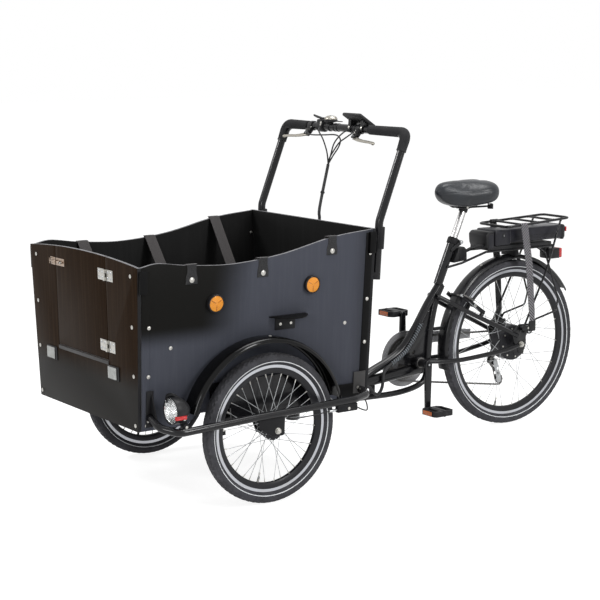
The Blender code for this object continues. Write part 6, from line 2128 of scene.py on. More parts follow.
@dataclass
class FrontCarriage:
    """Tubes round the front wheels, mudguards and the lamp."""

    body: str = "front_module"
    wheel_x: float = 0.397
    loop_x: float = 0.4495
    loop_r: float = 0.0125
    dropout: float = 0.005
    fender_r: float = 0.303
    fender_half: float = 0.037
    fender_span: tuple[float, float] = (13.0, 163.0)
    lamp_r: float = 0.044
    lamp_place: tuple[float, float, float] = (-0.034, -0.385, 0.11)

    def build(self) -> None:
        """Build both sides and the lamp."""
        repaint("front_frame", GLOSS_BLACK)
        for side in Side:
            self.loop(side)
            self.fender(side)
        self.headlight()

    def loop(self, side: Side) -> None:
        """The tube outside a wheel, with its dropout, axle, corner brackets and stops.

        Args:
            side: The rider's left or right.
        """
        x, z = self.loop_x, PLAN.front_r
        near = PLAN.side(z + 0.08)
        front = PLAN.front_y - 0.422
        back = PLAN.box_y1 - 0.036
        path = bent(
            [
                (near + 0.0042, front, z + 0.082), (near + 0.014, front, z + 0.0815),
                (x - 0.045, front + 0.004, z + 0.058), (x, front + 0.05, z + 0.043),
                (x, PLAN.front_y - 0.1, z + 0.055), (x, back - 0.1, z + 0.066),
                (x - 0.03, back - 0.025, z + 0.068), (near + 0.016, back, z + 0.07),
                (near + 0.0042, back, z + 0.07),
            ],
            0.05, 8,
        )
        made = Kit()
        made.add(tube("loop", path, self.loop_r, 22), GLOSS_BLACK, angle=ROUND)
        y = PLAN.front_y
        made.add(plate("ear", [
            (y - 0.075, z + 0.055), (y - 0.07, z + 0.015), (y - 0.024, z - 0.014), (y - 0.012, z - 0.018),
            (y + 0.022, z - 0.018), (y + 0.027, z - 0.012), (y + 0.03, z + 0.062),
        ], self.dropout, across(x - self.dropout / 2 - 0.001), 0.0012), SATIN_BLACK)
        made += self.axle(x, z)
        made += self.brackets(front, back, z, near)
        made.keep_sided(side, "front_loop_tube_", self.body, "black_frame_paint", "front_loop_")

    def axle(self, x: float, z: float) -> list[Item]:
        """Axle, spacers, washer and nut.

        Args:
            x: Where along X the loop runs.
            z: The axle's height.

        Returns:
            The pieces.
        """
        y = PLAN.front_y
        inner = PLAN.side(z + 0.165) + 0.0015
        bar = cross_rod("axle", inner - 0.004, x + 0.009, (y, z), 0.0048, 20, bevel=0.0006)
        made = Kit()
        made.add(bar, ZINC)
        for first, last in ((inner + 0.0053, self.wheel_x - 0.0345), (self.wheel_x + 0.0345, x - 0.006)):
            made.add(cross_rod("spacer", first, last, (y, z), 0.009, 28, bevel=0.0008), DARK_STEEL)
        made.add(cross_rod("washer", x - 0.001, x + 0.0008, (y, z), 0.0108, 28, bevel=0.0004), ZINC)
        made.add(cross_rod("nut", x + 0.0008, x + 0.0074, (y, z), 0.0095, 6, bevel=0.0009), ZINC)
        made.add(plate("brake_arm", [
            (y - 0.01, z + 0.004), (y + 0.006, z + 0.01), (y + 0.016, z + 0.052), (y + 0.006, z + 0.056),
        ], 0.004, across(x - 0.0085), 0.0008), SATIN_BLACK)
        return made

    def brackets(self, front: float, back: float, z: float, near: float) -> list[Item]:
        """Corner plates on the box, the gusset, the lamp's boss and the cable stop.

        Args:
            front: Where along Y the loop starts.
            back: Where along Y it ends.
            z: The axle's height.
            near: Half the box's width at the loop's ends.

        Returns:
            The pieces.
        """
        x = self.loop_x
        made = Kit()
        for low, high, foot, head in (
            (front - 0.012, front + 0.014, z + 0.05, z + 0.168),
            (back - 0.03, back + 0.02, z + 0.058, z + 0.134),
        ):
            face = PLAN.half + 0.0023
            plate_item = block("corner", (face, low, foot), (face + 0.003, high, head), 0.0011)
            made.append(
                PLAN.lean_side(dress(plate_item, SATIN_BLACK if low < PLAN.front_y else BRACKET_GREY))
            )
            spot_z = foot + 0.02
            spot = (PLAN.side(spot_z) + 0.0054, (low + high) / 2 - 0.006, spot_z)
            made.append(copied_bolt(spot, PLAN.side_normal))
        skin = 0.0035
        made.add(plate("gusset", [
            (PLAN.side(z + 0.165) + skin, z + 0.165), (PLAN.side(z + 0.055) + skin, z + 0.055),
            (near + 0.055, z + 0.052), (near + 0.045, z + 0.075),
        ], 0.004, along(front + 0.006), 0.001), SATIN_BLACK)
        y = PLAN.front_y
        made.add(
            block("boss", (x - 0.022, y - 0.357, z + 0.048), (x + 0.002, y - 0.337, z + 0.07), 0.0025),
            SATIN_BLACK,
        )
        made.append(copied_bolt((x + 0.002, y - 0.347, z + 0.06)))
        made.add(
            block("stop", (x - 0.009, y + 0.236, z + 0.029), (x + 0.009, y + 0.318, z + 0.055), 0.003, 3),
            SATIN_BLACK,
        )
        made.append(copied_bolt((x + 0.009, y + 0.281, z + 0.04)))
        made.add(
            rod("barrel", (x, y + 0.206, z + 0.038), (x, y + 0.238, z + 0.039), 0.0045, 16, bevel=0.0006),
            STEEL,
        )
        return made

    def fender(self, side: Side) -> None:
        """A wide glossy mudguard with rolled edges, its lug and its bolts.

        Args:
            side: The rider's left or right.
        """
        x, radius = self.wheel_x, self.fender_r
        half = self.fender_half
        centre = (0.0, PLAN.front_y - 0.02, PLAN.front_r + 0.003)
        right = [
            (half - 0.0016, radius - 0.015), (half - 0.0003, radius - 0.0156), (half, radius - 0.014),
            (half - 0.0008, radius - 0.01), (half - 0.004, radius - 0.0045), (half - 0.01, radius - 0.0012),
            (half - 0.018, radius),
        ]
        profile = [(x + u, r) for u, r in mirrored(right)]
        sheet = dress(
            sweep("fender", profile, centre, *self.fender_span, 72, 0.0016), FENDER_BLACK, angle=40.0
        )
        top = centre[2] + radius - 0.004
        lug = block(
            "lug", (PLAN.side(top) + 0.0003, centre[1] - 0.02, top - 0.014),
            (x - half + 0.004, centre[1] + 0.02, top), 0.0015,
        )
        made = Kit([sheet, dress(lug, SATIN_BLACK)])
        for y, z in ((-0.264, 0.332), (0.005, 0.5562)):
            angle = math.atan2(z - centre[2], PLAN.front_y + y - centre[1])
            normal = Vector((0.0, math.cos(angle), math.sin(angle)))
            spot = Vector((x, centre[1], centre[2])) + normal * (radius + 0.0006)
            made.append(put(bolt_head("bolt", 0.0045, 0.003), facing(spot, normal)))
        made.keep_sided(side, "fender_shell_", self.body, "gloss_fender", "fender_")

    def headlight(self) -> None:
        """Black housing, faceted mirror bowl, bulb, clear lens, foot, strap, red side lens and screw."""
        axle = (self.loop_x, PLAN.front_y, PLAN.front_r)
        x, y, z = (place + step for place, step in zip(axle, self.lamp_place))
        place = Matrix.Translation((x, y, z)) @ Matrix.Rotation(math.pi / 2, 4, "Z")
        r = self.lamp_r
        shell = lathe("shell", [
            (0.0005, r - 0.002), (0.0, r - 0.0008), (0.0014, r), (0.006, r), (0.007, r - 0.001),
            (0.012, r - 0.0006), (0.032, r - 0.0016), (0.052, 0.029), (0.064, 0.015), (0.0676, 0.006),
            (0.068, 0.0), (0.064, 0.0), (0.05, 0.026), (0.032, r - 0.004), (0.004, r - 0.003),
        ], place, 64, False)
        made = Kit()
        made.add(shell, BLACK_PLASTIC)
        bowl = lathe("bowl", [
            (0.0022, r - 0.0026), (0.01, r - 0.0048), (0.02, 0.029), (0.03, 0.0225), (0.037, 0.014),
            (0.039, 0.006), (0.0392, 0.0),
        ], place, 18, False)
        modify(bowl, "SOLIDIFY", thickness=0.0008, offset=-1.0)
        made.add(bowl, CHROME, angle=5.0)
        made.add(
            lathe(
                "bulb", [(0.04, 0.0), (0.04, 0.006), (0.03, 0.0056), (0.023, 0.003), (0.0215, 0.0)], place,
                24, False,
            ),
            CLEAR, angle=ROUND,
        )
        made.add(lathe("lens", [
            (0.0018, 0.0), (0.002, 0.016), (0.0028, 0.028), (0.004, r - 0.0028), (0.0056, r - 0.0028),
            (0.0046, 0.028), (0.0038, 0.016), (0.0036, 0.0),
        ], place, 64, False), CLEAR, angle=ROUND)
        made.add(block(
            "foot", (self.loop_x - 0.02, PLAN.front_y - 0.355, PLAN.front_r + 0.0703),
            (self.loop_x - 0.006, PLAN.front_y - 0.339, z - 0.01), 0.002,
        ), SATIN_BLACK)
        made.add(tube("strap", bent([
            (x - 0.004, y + 0.03, z + r - 0.006), (x - 0.01, y + 0.012, z + r + 0.006),
            (x - 0.022, y + 0.004, z + r + 0.002), (x - 0.036, y + 0.01, z + 0.022),
        ], 0.01, 6), 0.0065, 16), SATIN_BLACK)
        made.add(
            block(
                "side_lens", (x + 0.034, y - 0.004, z - 0.023), (x + 0.0444, y + 0.036, z - 0.01), 0.003, 3
            ),
            RED,
        )
        made.append(copied_bolt((x + 0.0376, y + 0.03, z - 0.022)))
        made.keep("headlamp", self.body, "black_plastic", "headlight")


def wheels() -> list[SpokedWheel]:
    """The three wheels at their axles.

    Returns:
        The wheels, not built yet.
    """
    made = []
    for side in Side:
        centre = (side.value * FrontCarriage.wheel_x, PLAN.front_y, PLAN.front_r)
        name = side.word
        made.append(
            SpokedWheel(
                "front_wheel_" + name, "front_wheel_" + name, "front_tyre_" + name, centre, PLAN.front_r,
                Hub.DRUM, side,
            )
        )
    centre = (0.0, PLAN.rear_y, PLAN.rear_r)
    made.append(SpokedWheel("rear_wheel", "rear_wheel", "rear_tyre", centre, PLAN.rear_r, Hub.MOTOR))
    return made


def upright(place: Point) -> Matrix:
    """Puts a drawing's X axis upwards at a place."""
    return Matrix.Translation(place) @ Matrix.Rotation(-math.pi / 2, 4, "Y")


def run_length(points: Sequence[Vector]) -> float:
    """Length of a line through points."""
    return sum((there - here).length for here, there in zip(points, points[1:]))


def bead(name: str, place: Point, way: Point, radius: float, thick: float = 0.0026) -> Item:
    """A rounded ring about a direction, such as a weld round a tube."""
    profile = arc((0.0, radius), thick, 0, 330, 11)
    return lathe(name, profile, facing(place, way), 36)


def cord(name: str, points: Sequence[Point], radius: float, body: str, finish: Finish, *nodes: str) -> Item:
    """A cord along a smooth line.

    Args:
        name: The piece's name.
        points: Places that it passes.
        radius: Its radius.
        body: The CAD body that it rides on.
        finish: Its surface.
        nodes: CAD nodes that it replaces.

    Returns:
        The piece.
    """
    line = through(points, 5)
    item = keep(dress(tube(name, line, radius, 14), finish, angle=ROUND), body, finish.slot, *nodes)
    tuple(line[0])
    run_length(line)
    [tuple(spot) for spot in line]
    return item


@dataclass
class Cables:
    """Control and drum cables with their ties, and the wrapped bundle on the frame."""

    body: str = "front_module"
    bar_y: float = -0.030182
    bar_z: float = 1.193
    wall: float = -0.172182
    main_r: float = 0.0055
    thin_r: float = 0.0026
    bundle_r: float = 0.006
    wrap_pitch: float = 0.0095

    def build(self) -> None:
        """Build every run."""
        y, z, wall = self.bar_y, self.bar_z, self.wall
        meet = (0.0, wall + 0.035, z - 0.28)
        foot = [
            (0.0, wall + 0.034, 0.87), (0.0, wall + 0.02, 0.8), (0.0, -0.16725, 0.387),
            (0.0, -0.16625, 0.295), (0.0, -0.18125, 0.273), (0.0, -0.21925, 0.276), (0.03, -0.38525, 0.276),
            (0.03, -0.50525, 0.272),
        ]
        start = (-0.03, y - 0.048, z - 0.13)
        cord("cable_main", [start, meet, *foot], self.main_r, self.body, CABLE, "control_cables")
        runs = {
            "cable_right_brake": [
                (-0.19, y - 0.0308, z - 0.0088), (-0.15, y - 0.045, z - 0.028),
                (-0.06, y - 0.05, z - 0.026), (0.02, y - 0.052, z - 0.022), (0.048, y - 0.052, z - 0.036),
                (0.04, y - 0.052, z - 0.062), (0.004, y - 0.052, z - 0.098), start,
            ],
            "cable_shift": [
                (-0.118, y - 0.018, z + 0.004), (-0.092, y - 0.046, z - 0.012),
                (-0.055, y - 0.054, z - 0.04), (-0.033, y - 0.052, z - 0.085), start,
            ],
            "cable_left_brake": [
                (0.1, y - 0.0308, z - 0.0088), (0.082, y - 0.055, z - 0.03), (0.05, y - 0.058, z - 0.048),
                (0.012, y - 0.054, z - 0.078), (-0.016, y - 0.053, z - 0.108), start,
            ],
            "cable_display": [
                (0.062, y - 0.016, z + 0.004), (0.03, y - 0.034, z - 0.02), (0.004, y - 0.046, z - 0.052),
                (-0.016, y - 0.047, z - 0.095), start,
            ],
        }
        for name, points in runs.items():
            cord(name, points, self.thin_r, self.body, CABLE)
        x, y, z = FrontCarriage.loop_x, PLAN.front_y, PLAN.front_r
        for side in Side:
            way = side.value
            cord("cable_drum_" + side.word, [
                (way * (x - 0.0085), y + 0.01, z + 0.0525), (way * x, y + 0.06, z + 0.034),
                (way * x, y + 0.13, z + 0.033), (way * x, y + 0.208, z + 0.038),
            ], self.thin_r * 0.7, self.body, CABLE)
            cord(
                "cable_stop_" + side.word,
                [
                    (way * x, y + 0.316, z + 0.04), (way * 0.444, y + 0.35, z + 0.024),
                    (way * 0.42, y + 0.386, z + 0.014), (way * 0.385, y + 0.412, z + 0.024),
                    (way * 0.352, y + 0.428, z + 0.034), (way * 0.336, y + 0.437, z + 0.04),
                ],
                self.thin_r * 0.9, self.body, CABLE,
            )
        for height, size in ((0.955, 0.0076), (0.846, 0.0085)):
            spot = self.on_main([start, meet, *foot], height)
            tie = rod(
                "tie", spot - Vector((0, 0.001, 0.004)), spot + Vector((0, 0.001, 0.004)), size, 18,
                bevel=0.001,
            )
            tail = block(
                "tail", spot + Vector((0.004, -0.001, -0.001)), spot + Vector((0.013, 0.001, 0.001)), 0.0004
            )
            keep(
                dress(join("cable_tie_%d" % round(height * 1000), [tie, tail]), BLACK_PLASTIC), self.body,
                "black_plastic",
            )
        self.wrapped()

    @staticmethod
    def on_main(points: Sequence[Point], height: float) -> Vector:
        """The main run's place at a height."""
        line = through(points, 5)
        return min(line, key=lambda spot: abs(spot.z - height))

    def wrapped(self) -> None:
        """The bundle along the beam with its spiral wrap."""
        spots = [
            (0.026, -0.765, -0.052), (0.0262, -0.42, -0.0675), (0.0262, -0.265, -0.0558),
            (0.028, -0.215, -0.092), (0.028, -0.195, -0.096), (0.028, -0.178, -0.07), (0.026, -0.17, -0.02),
            (0.0235, -0.13, 0.01), (0.0235, -0.07, 0.046), (0.0235, -0.03, 0.09), (0.024, 0.01, 0.15),
        ]
        points = [by_crank(*spot) for spot in spots]
        cord("cable_bundle", points, self.bundle_r, "rear_frame", CABLE, "frame_cables")
        line = through(points[7:], 24)
        coil = []
        travel = 0.0
        for here, there in zip(line, line[1:]):
            way = (there - here).normalized()
            side = way.cross(Vector((1, 0, 0))).normalized()
            up = side.cross(way)
            for k in range(4):
                share = k / 4
                turn = math.tau * (travel + share * (there - here).length) / self.wrap_pitch
                out = side * math.cos(turn) + up * math.sin(turn)
                coil.append(here.lerp(there, share) + out * (self.bundle_r + 0.0006))
            travel += (there - here).length
        # The wrap's pale colour is partly painted highlight on its coils.
        wrap = keep(
            dress(tube("cable_wrap", coil, 0.0013, 6), WRAP, angle=ROUND), "rear_frame", "grey_webbing"
        )
        wrap.name = "cable_wrap"


def by_crank(x: float, y: float, z: float) -> Vector:
    """A place measured from the crank's axle."""
    return Vector((x, PLAN.crank_y + y, PLAN.crank_z + z))


def by_axle(x: float, y: float, z: float) -> Vector:
    """A place measured from the rear axle."""
    return Vector((x, PLAN.rear_y + y, PLAN.rear_r + z))


SEAT_WAY = Vector((0.0, 0.40035, 0.91636))
SEAT_BACK = Vector((0.0, 0.91636, -0.40035))
SEAT_TOP = Vector((0.0, 0.49275, 0.76))
SEAT_CLAMP = SEAT_TOP - SEAT_WAY * 0.015 + Vector((0, 0.0245, -0.003))
BRAKE_OUT = Vector((0.0, 0.5736, 0.8192))
BRAKE_PIVOT = (0.047, 0.225)


@dataclass
class Handlebar:
    """The hoop with grips, levers, shifter, bell and display."""

    body: str = "front_module"
    y: float = -0.030182
    z: float = 1.193
    half: float = 0.36
    tube_r: float = 0.014
    grip_r: float = 0.018
    bend: float = 0.058
    knee: tuple[float, float, float] = (0.36, -0.146182, 0.896)
    foot: tuple[float, float, float] = (0.3555, -0.15423, 0.698)
    grip_end: float = 0.062
    grip_starts: tuple[float, float] = (0.157, -0.215)
    bands: tuple[float, ...] = (-0.05, -0.03, 0.045, 0.062, 0.078)
    display_x: float = 0.088
    display_wide: float = 0.102
    levers: tuple[float, float] = (0.1, -0.19)
    shifter_x: float = -0.131
    bell_x: float = -0.08

    def build(self) -> None:
        """Build the bar and everything on it."""
        made = self.hoop()
        for side, x in zip(Side, self.levers):
            made += self.lever_body(side, x)
            self.blade(side, x)
        made += self.shifter()
        made += self.bell()
        made.keep("handlebar_hoop", self.body, "black_frame_paint", "handlebar")
        self.thumb_lever()
        self.bell_thumb()
        self.display()

    def spot(self, x: float, y: float = 0.0, z: float = 0.0) -> Vector:
        """A place measured from the bar's middle line."""
        return Vector((x, self.y + y, self.z + z))

    def hoop(self) -> Kit:
        """The bent tube with its foam grips, rings, sleeves, cable bands and clamps on the box.

        Returns:
            The pieces.
        """
        legs = [self.foot, self.knee, (self.half, self.y, self.z)]
        line = [*legs, *[(-x, y, z) for x, y, z in reversed(legs)]]
        made = Kit()
        made.add(tube("hoop", bent(line, self.bend, 14), self.tube_r, 28), GLOSS_BLACK, angle=ROUND)
        for way, start in zip((1, -1), self.grip_starts):
            corner = Vector((way * self.half, self.y, self.z))
            knee = Vector((way * self.knee[0], *self.knee[1:]))
            end = corner + (knee - corner).normalized() * self.grip_end
            path = bent([(start, self.y, self.z), corner, end], self.bend, 14)
            radii = [1.0] * len(path)
            radii[0] = radii[-1] = 0.93
            made.add(tube("grip", path, self.grip_r, 28, radii=radii), GRIP, angle=ROUND)
            made.add(
                rod(
                    "ring", end, end + (knee - corner).normalized() * 0.006, self.grip_r * 0.97, 28,
                    bevel=0.001,
                ),
                BLACK_PLASTIC,
            )
            made.add(
                rod(
                    "sleeve", (way * 0.358, -0.1455, 0.802), (way * 0.3597, -0.142, 0.878), 0.017, 28,
                    bevel=0.002,
                ),
                SATIN_BLACK,
            )
            for z in (0.712, 0.841):
                wall = PLAN.rear(z)
                made.add(
                    block(
                        "clamp", (way * 0.356 - 0.011, wall + 0.0003, z - 0.012),
                        (way * 0.356 + 0.011, wall + 0.022, z + 0.012), 0.003,
                    ),
                    SATIN_BLACK,
                )
                made.append(copied_bolt((way * 0.356, wall + 0.022, z), (0, 1, 0)))
        for x in self.bands:
            made.add(
                rod(
                    "band", self.spot(x - 0.003), self.spot(x + 0.003), self.tube_r + 0.0014, 28,
                    bevel=0.0006,
                ),
                BLACK_PLASTIC,
            )
        return made

    def lever_place(self, x: float) -> Matrix:
        """The lever's own axes: along the bar, away from it, and across the blade."""
        turn = Matrix(((1, 0, 0), (0, -0.70711, 0.70711), (0, -0.70711, -0.70711))).to_4x4()
        return Matrix.Translation((x, self.y, self.z)) @ turn

    def lever_body(self, side: Side, x: float) -> list[Item]:
        """Split clamp, forked body, pivot pin and cable adjuster.

        Args:
            side: The rider's left or right.
            x: Where along the bar it sits.

        Returns:
            The pieces.
        """
        way = side.value
        fork = plate(
            "fork",
            [
                (-0.0105, 0.006), (0.0105, 0.006), (0.0125, 0.03), (0.0115, 0.046), (-0.0115, 0.046),
                (-0.0125, 0.03),
            ],
            0.016, HERE, 0.0022,
        )
        cut(fork, block("slot", (-0.03, 0.031, -0.0035), (0.03, 0.06, 0.0035)))
        made = Kit()
        made.add(fork, BLACK_PLASTIC)
        made.add(cross_rod("clamp", -0.01, 0.01, (0, 0), 0.0178, 32, bevel=0.0022), BLACK_PLASTIC)
        made.add(block("seam", (-0.0085, -0.0005, 0.0168), (0.0085, 0.0005, 0.019), 0.0002), SATIN_BLACK)
        made.append(copied_bolt((-way * 0.0075, 0.012, -0.008), (0, 0, -1)))
        pin = rod("pin", (0, 0.04, -0.0092), (0, 0.04, 0.0092), 0.003, 20, bevel=0.0006)
        made.add(pin, STEEL)
        made.add(
            rod("adjuster", (0, 0.0284, -0.007), (0, 0.0284, -0.015), 0.0046, 12, 0.0038, bevel=0.0005),
            ZINC,
        )
        for item in made:
            put(item, self.lever_place(x))
        return made

    def blade(self, side: Side, x: float) -> None:
        """A polished two-finger blade with a rounded back and a ball at its tip.

        Args:
            side: The rider's left or right.
            x: Where along the bar it sits.
        """
        edge = [
            *arc((0.0, 0.04), 0.008, 150, 310, 10), (0.02, 0.0395), (0.04, 0.045), (0.062, 0.0486),
            (0.085, 0.05), (0.104, 0.0515), (0.122, 0.054), (0.13, 0.0565), (0.1335, 0.0605),
            (0.132, 0.065), (0.127, 0.0668), (0.118, 0.064), (0.1, 0.0612), (0.08, 0.06), (0.056, 0.0588),
            (0.03, 0.056), (0.012, 0.0522), (0.0, 0.049),
        ]
        item = plate("blade", edge, 0.0064, HERE, 0.0)
        cut(item, rod("hole", (0, 0.04, -0.01), (0, 0.04, 0.01), 0.0031, 24))
        soften(item, 0.0022, 3)
        tip = rod("tip", (0.1268, 0.0606, -0.0044), (0.1268, 0.0606, 0.0044), 0.0062, 24, bevel=0.0028)
        item = join("blade", [dress(item, LEVER_ALLOY), dress(tip, LEVER_ALLOY)])
        item = flipped(item, side)
        item.name = "brake_blade_" + side.word
        put(item, self.lever_place(x))
        keep(item, "brake_lever_" + side.word, "alloy", "brake_lever_" + side.word)

    def shifter(self) -> list[Item]:
        """Clamp drum, case with its window, and cable stop.

        Returns:
            The pieces.
        """
        drum = rod("drum", self.spot(-0.15), self.spot(-0.112), 0.02, 36, bevel=0.003)
        case = block("case", self.spot(-0.148, -0.016, 0.004), self.spot(-0.114, 0.016, 0.0262), 0.0045, 3)
        window = block(
            "window", self.spot(-0.146, 0.006, 0.0235), self.spot(-0.128, 0.0145, 0.0268), 0.0012
        )
        stop = rod(
            "stop", self.spot(-0.126, -0.012, 0.008), self.spot(-0.115, -0.021, 0.003), 0.0048, 14, 0.0036
        )
        return [
            dress(drum, BLACK_PLASTIC), dress(case, BLACK_PLASTIC), dress(window, CASE_PLASTIC),
            dress(stop, ZINC), copied_bolt(self.spot(-0.12, -0.0155, 0.014), (0, -1, 0)),
        ]

    def thumb_lever(self) -> None:
        """The shifter's paddle on its disc."""
        x = self.shifter_x
        disc = lathe("disc", [(0.0, 0.0), (0.0, 0.012), (0.0042, 0.012), (0.006, 0.0102), (0.0066, 0.004),
            (0.0066, 0.0)], upright(self.spot(x, 0, 0.0264)), 36, False)
        arm = plate(
            "arm",
            [
                (x + 0.001, -0.005), (x - 0.022, -0.0095), (x - 0.038, -0.014), (x - 0.0435, -0.0095),
                (x - 0.04, -0.004), (x - 0.02, 0.001), (x, 0.0065),
            ],
            0.0046, level(0.0), 0.0013,
        )
        for vertex in arm.data.vertices:
            reach = max(0.0, (x - 0.01 - vertex.co.x) / 0.033)
            vertex.co.z += 0.012 * reach ** 1.6
        put(arm, Matrix.Translation(self.spot(0, 0, 0.0295)))
        made = Kit()
        made.add(disc, BLACK_PLASTIC)
        made.add(arm, BLACK_PLASTIC)
        made.keep("shift_paddle", "shift_lever", "black_plastic", "shift_lever")

    def bell(self) -> list[Item]:
        """A bright dome on a black base and foot.

        Returns:
            The pieces.
        """
        x = self.bell_x
        base = lathe("base", [
            (0.008, 0.0), (0.008, 0.0085), (0.016, 0.01), (0.018, 0.0215), (0.02, 0.0238), (0.0268, 0.0238),
            (0.0268, 0.0),
        ], upright(self.spot(x)), 40, False)
        dome = lathe(
            "dome",
            [
                (0.0272, 0.0), (0.0272, 0.0232), (0.0284, 0.0238), (0.0318, 0.0234), (0.035, 0.0214),
                (0.0384, 0.017), (0.0406, 0.011), (0.0416, 0.005), (0.0418, 0.0),
            ],
            upright(self.spot(x)), 48, False,
        )
        strap = rod("strap", self.spot(x - 0.006), self.spot(x + 0.006), 0.0162, 28, bevel=0.0014)
        cap = rod("cap", self.spot(x, 0, 0.041), self.spot(x, 0, 0.0428), 0.0036, 18, bevel=0.0006)
        return [
            dress(base, BLACK_PLASTIC), dress(dome, LEVER_ALLOY, angle=ROUND), dress(strap, BLACK_PLASTIC),
            dress(cap, STEEL),
        ]

    def bell_thumb(self) -> None:
        """The bell's small thumb lever."""
        x = self.bell_x
        pin = rod("pin", self.spot(x, 0.029, 0.0175), self.spot(x, 0.029, 0.0245), 0.0042, 20, bevel=0.0008)
        arm = plate(
            "arm",
            [
                (x - 0.002, 0.0265), (x + 0.012, 0.0285), (x + 0.02, 0.032), (x + 0.0225, 0.0375),
                (x + 0.016, 0.0385), (x + 0.006, 0.035), (x - 0.003, 0.0325),
            ],
            0.0032, level(0.0), 0.0009,
        )
        put(arm, Matrix.Translation(self.spot(0, 0, 0.019)))
        made = Kit()
        made.add(pin, STEEL)
        made.add(arm, BLACK_PLASTIC)
        made.keep("bell_thumb", "bell_lever", "black_plastic", "bell_lever")

    def display(self) -> None:
        """A dark wedge with its screen towards the rider, on a bracket with two feet."""
        outline = [(-0.0365, 0.0479), (0.0305, 0.0049), (0.0365, 0.008), (0.037, 0.015), (-0.029, 0.058),
            (-0.035, 0.056)]
        case = plate("case", outline, self.display_wide, across(self.display_x, self.y, self.z), 0.003)
        slope = Vector((0, 0.8416, -0.5401))
        normal = Vector((0, 0.5401, 0.8416))
        middle = self.spot(self.display_x, 0.0035, 0.0365) + normal * 0.0002
        turn = Matrix((Vector((1, 0, 0)), slope, normal)).transposed().to_4x4()
        screen = plate("screen", [(-0.036, -0.026), (0.036, -0.026), (0.036, 0.02), (-0.036, 0.02)], 0.0014,
            Matrix.Translation(middle) @ turn, 0.0004)
        made = Kit()
        made.add(case, BLACK_PLASTIC)
        made.add(screen, SCREEN)
        for x in (-0.022, 0.0, 0.022):
            made.add(
                plate(
                    "key", arc((x, 0.0285), 0.0042, 0, 330, 11), 0.003, Matrix.Translation(middle) @ turn,
                    0.0008,
                ),
                GRIP,
            )
        for x in (0.05, 0.122):
            made.add(plate("foot", [
                *arc((0.0, 0.0), 0.0165, 205, -25, 14), (0.013, 0.0168), (-0.012, 0.0328),
            ], 0.016, across(x, self.y, self.z), 0.0012), BLACK_PLASTIC)
            made.append(copied_bolt(self.spot(x, -0.0155, 0.006), (0, -1, 0.2)))
        made.keep("display_unit", self.body, "black_plastic", "display")


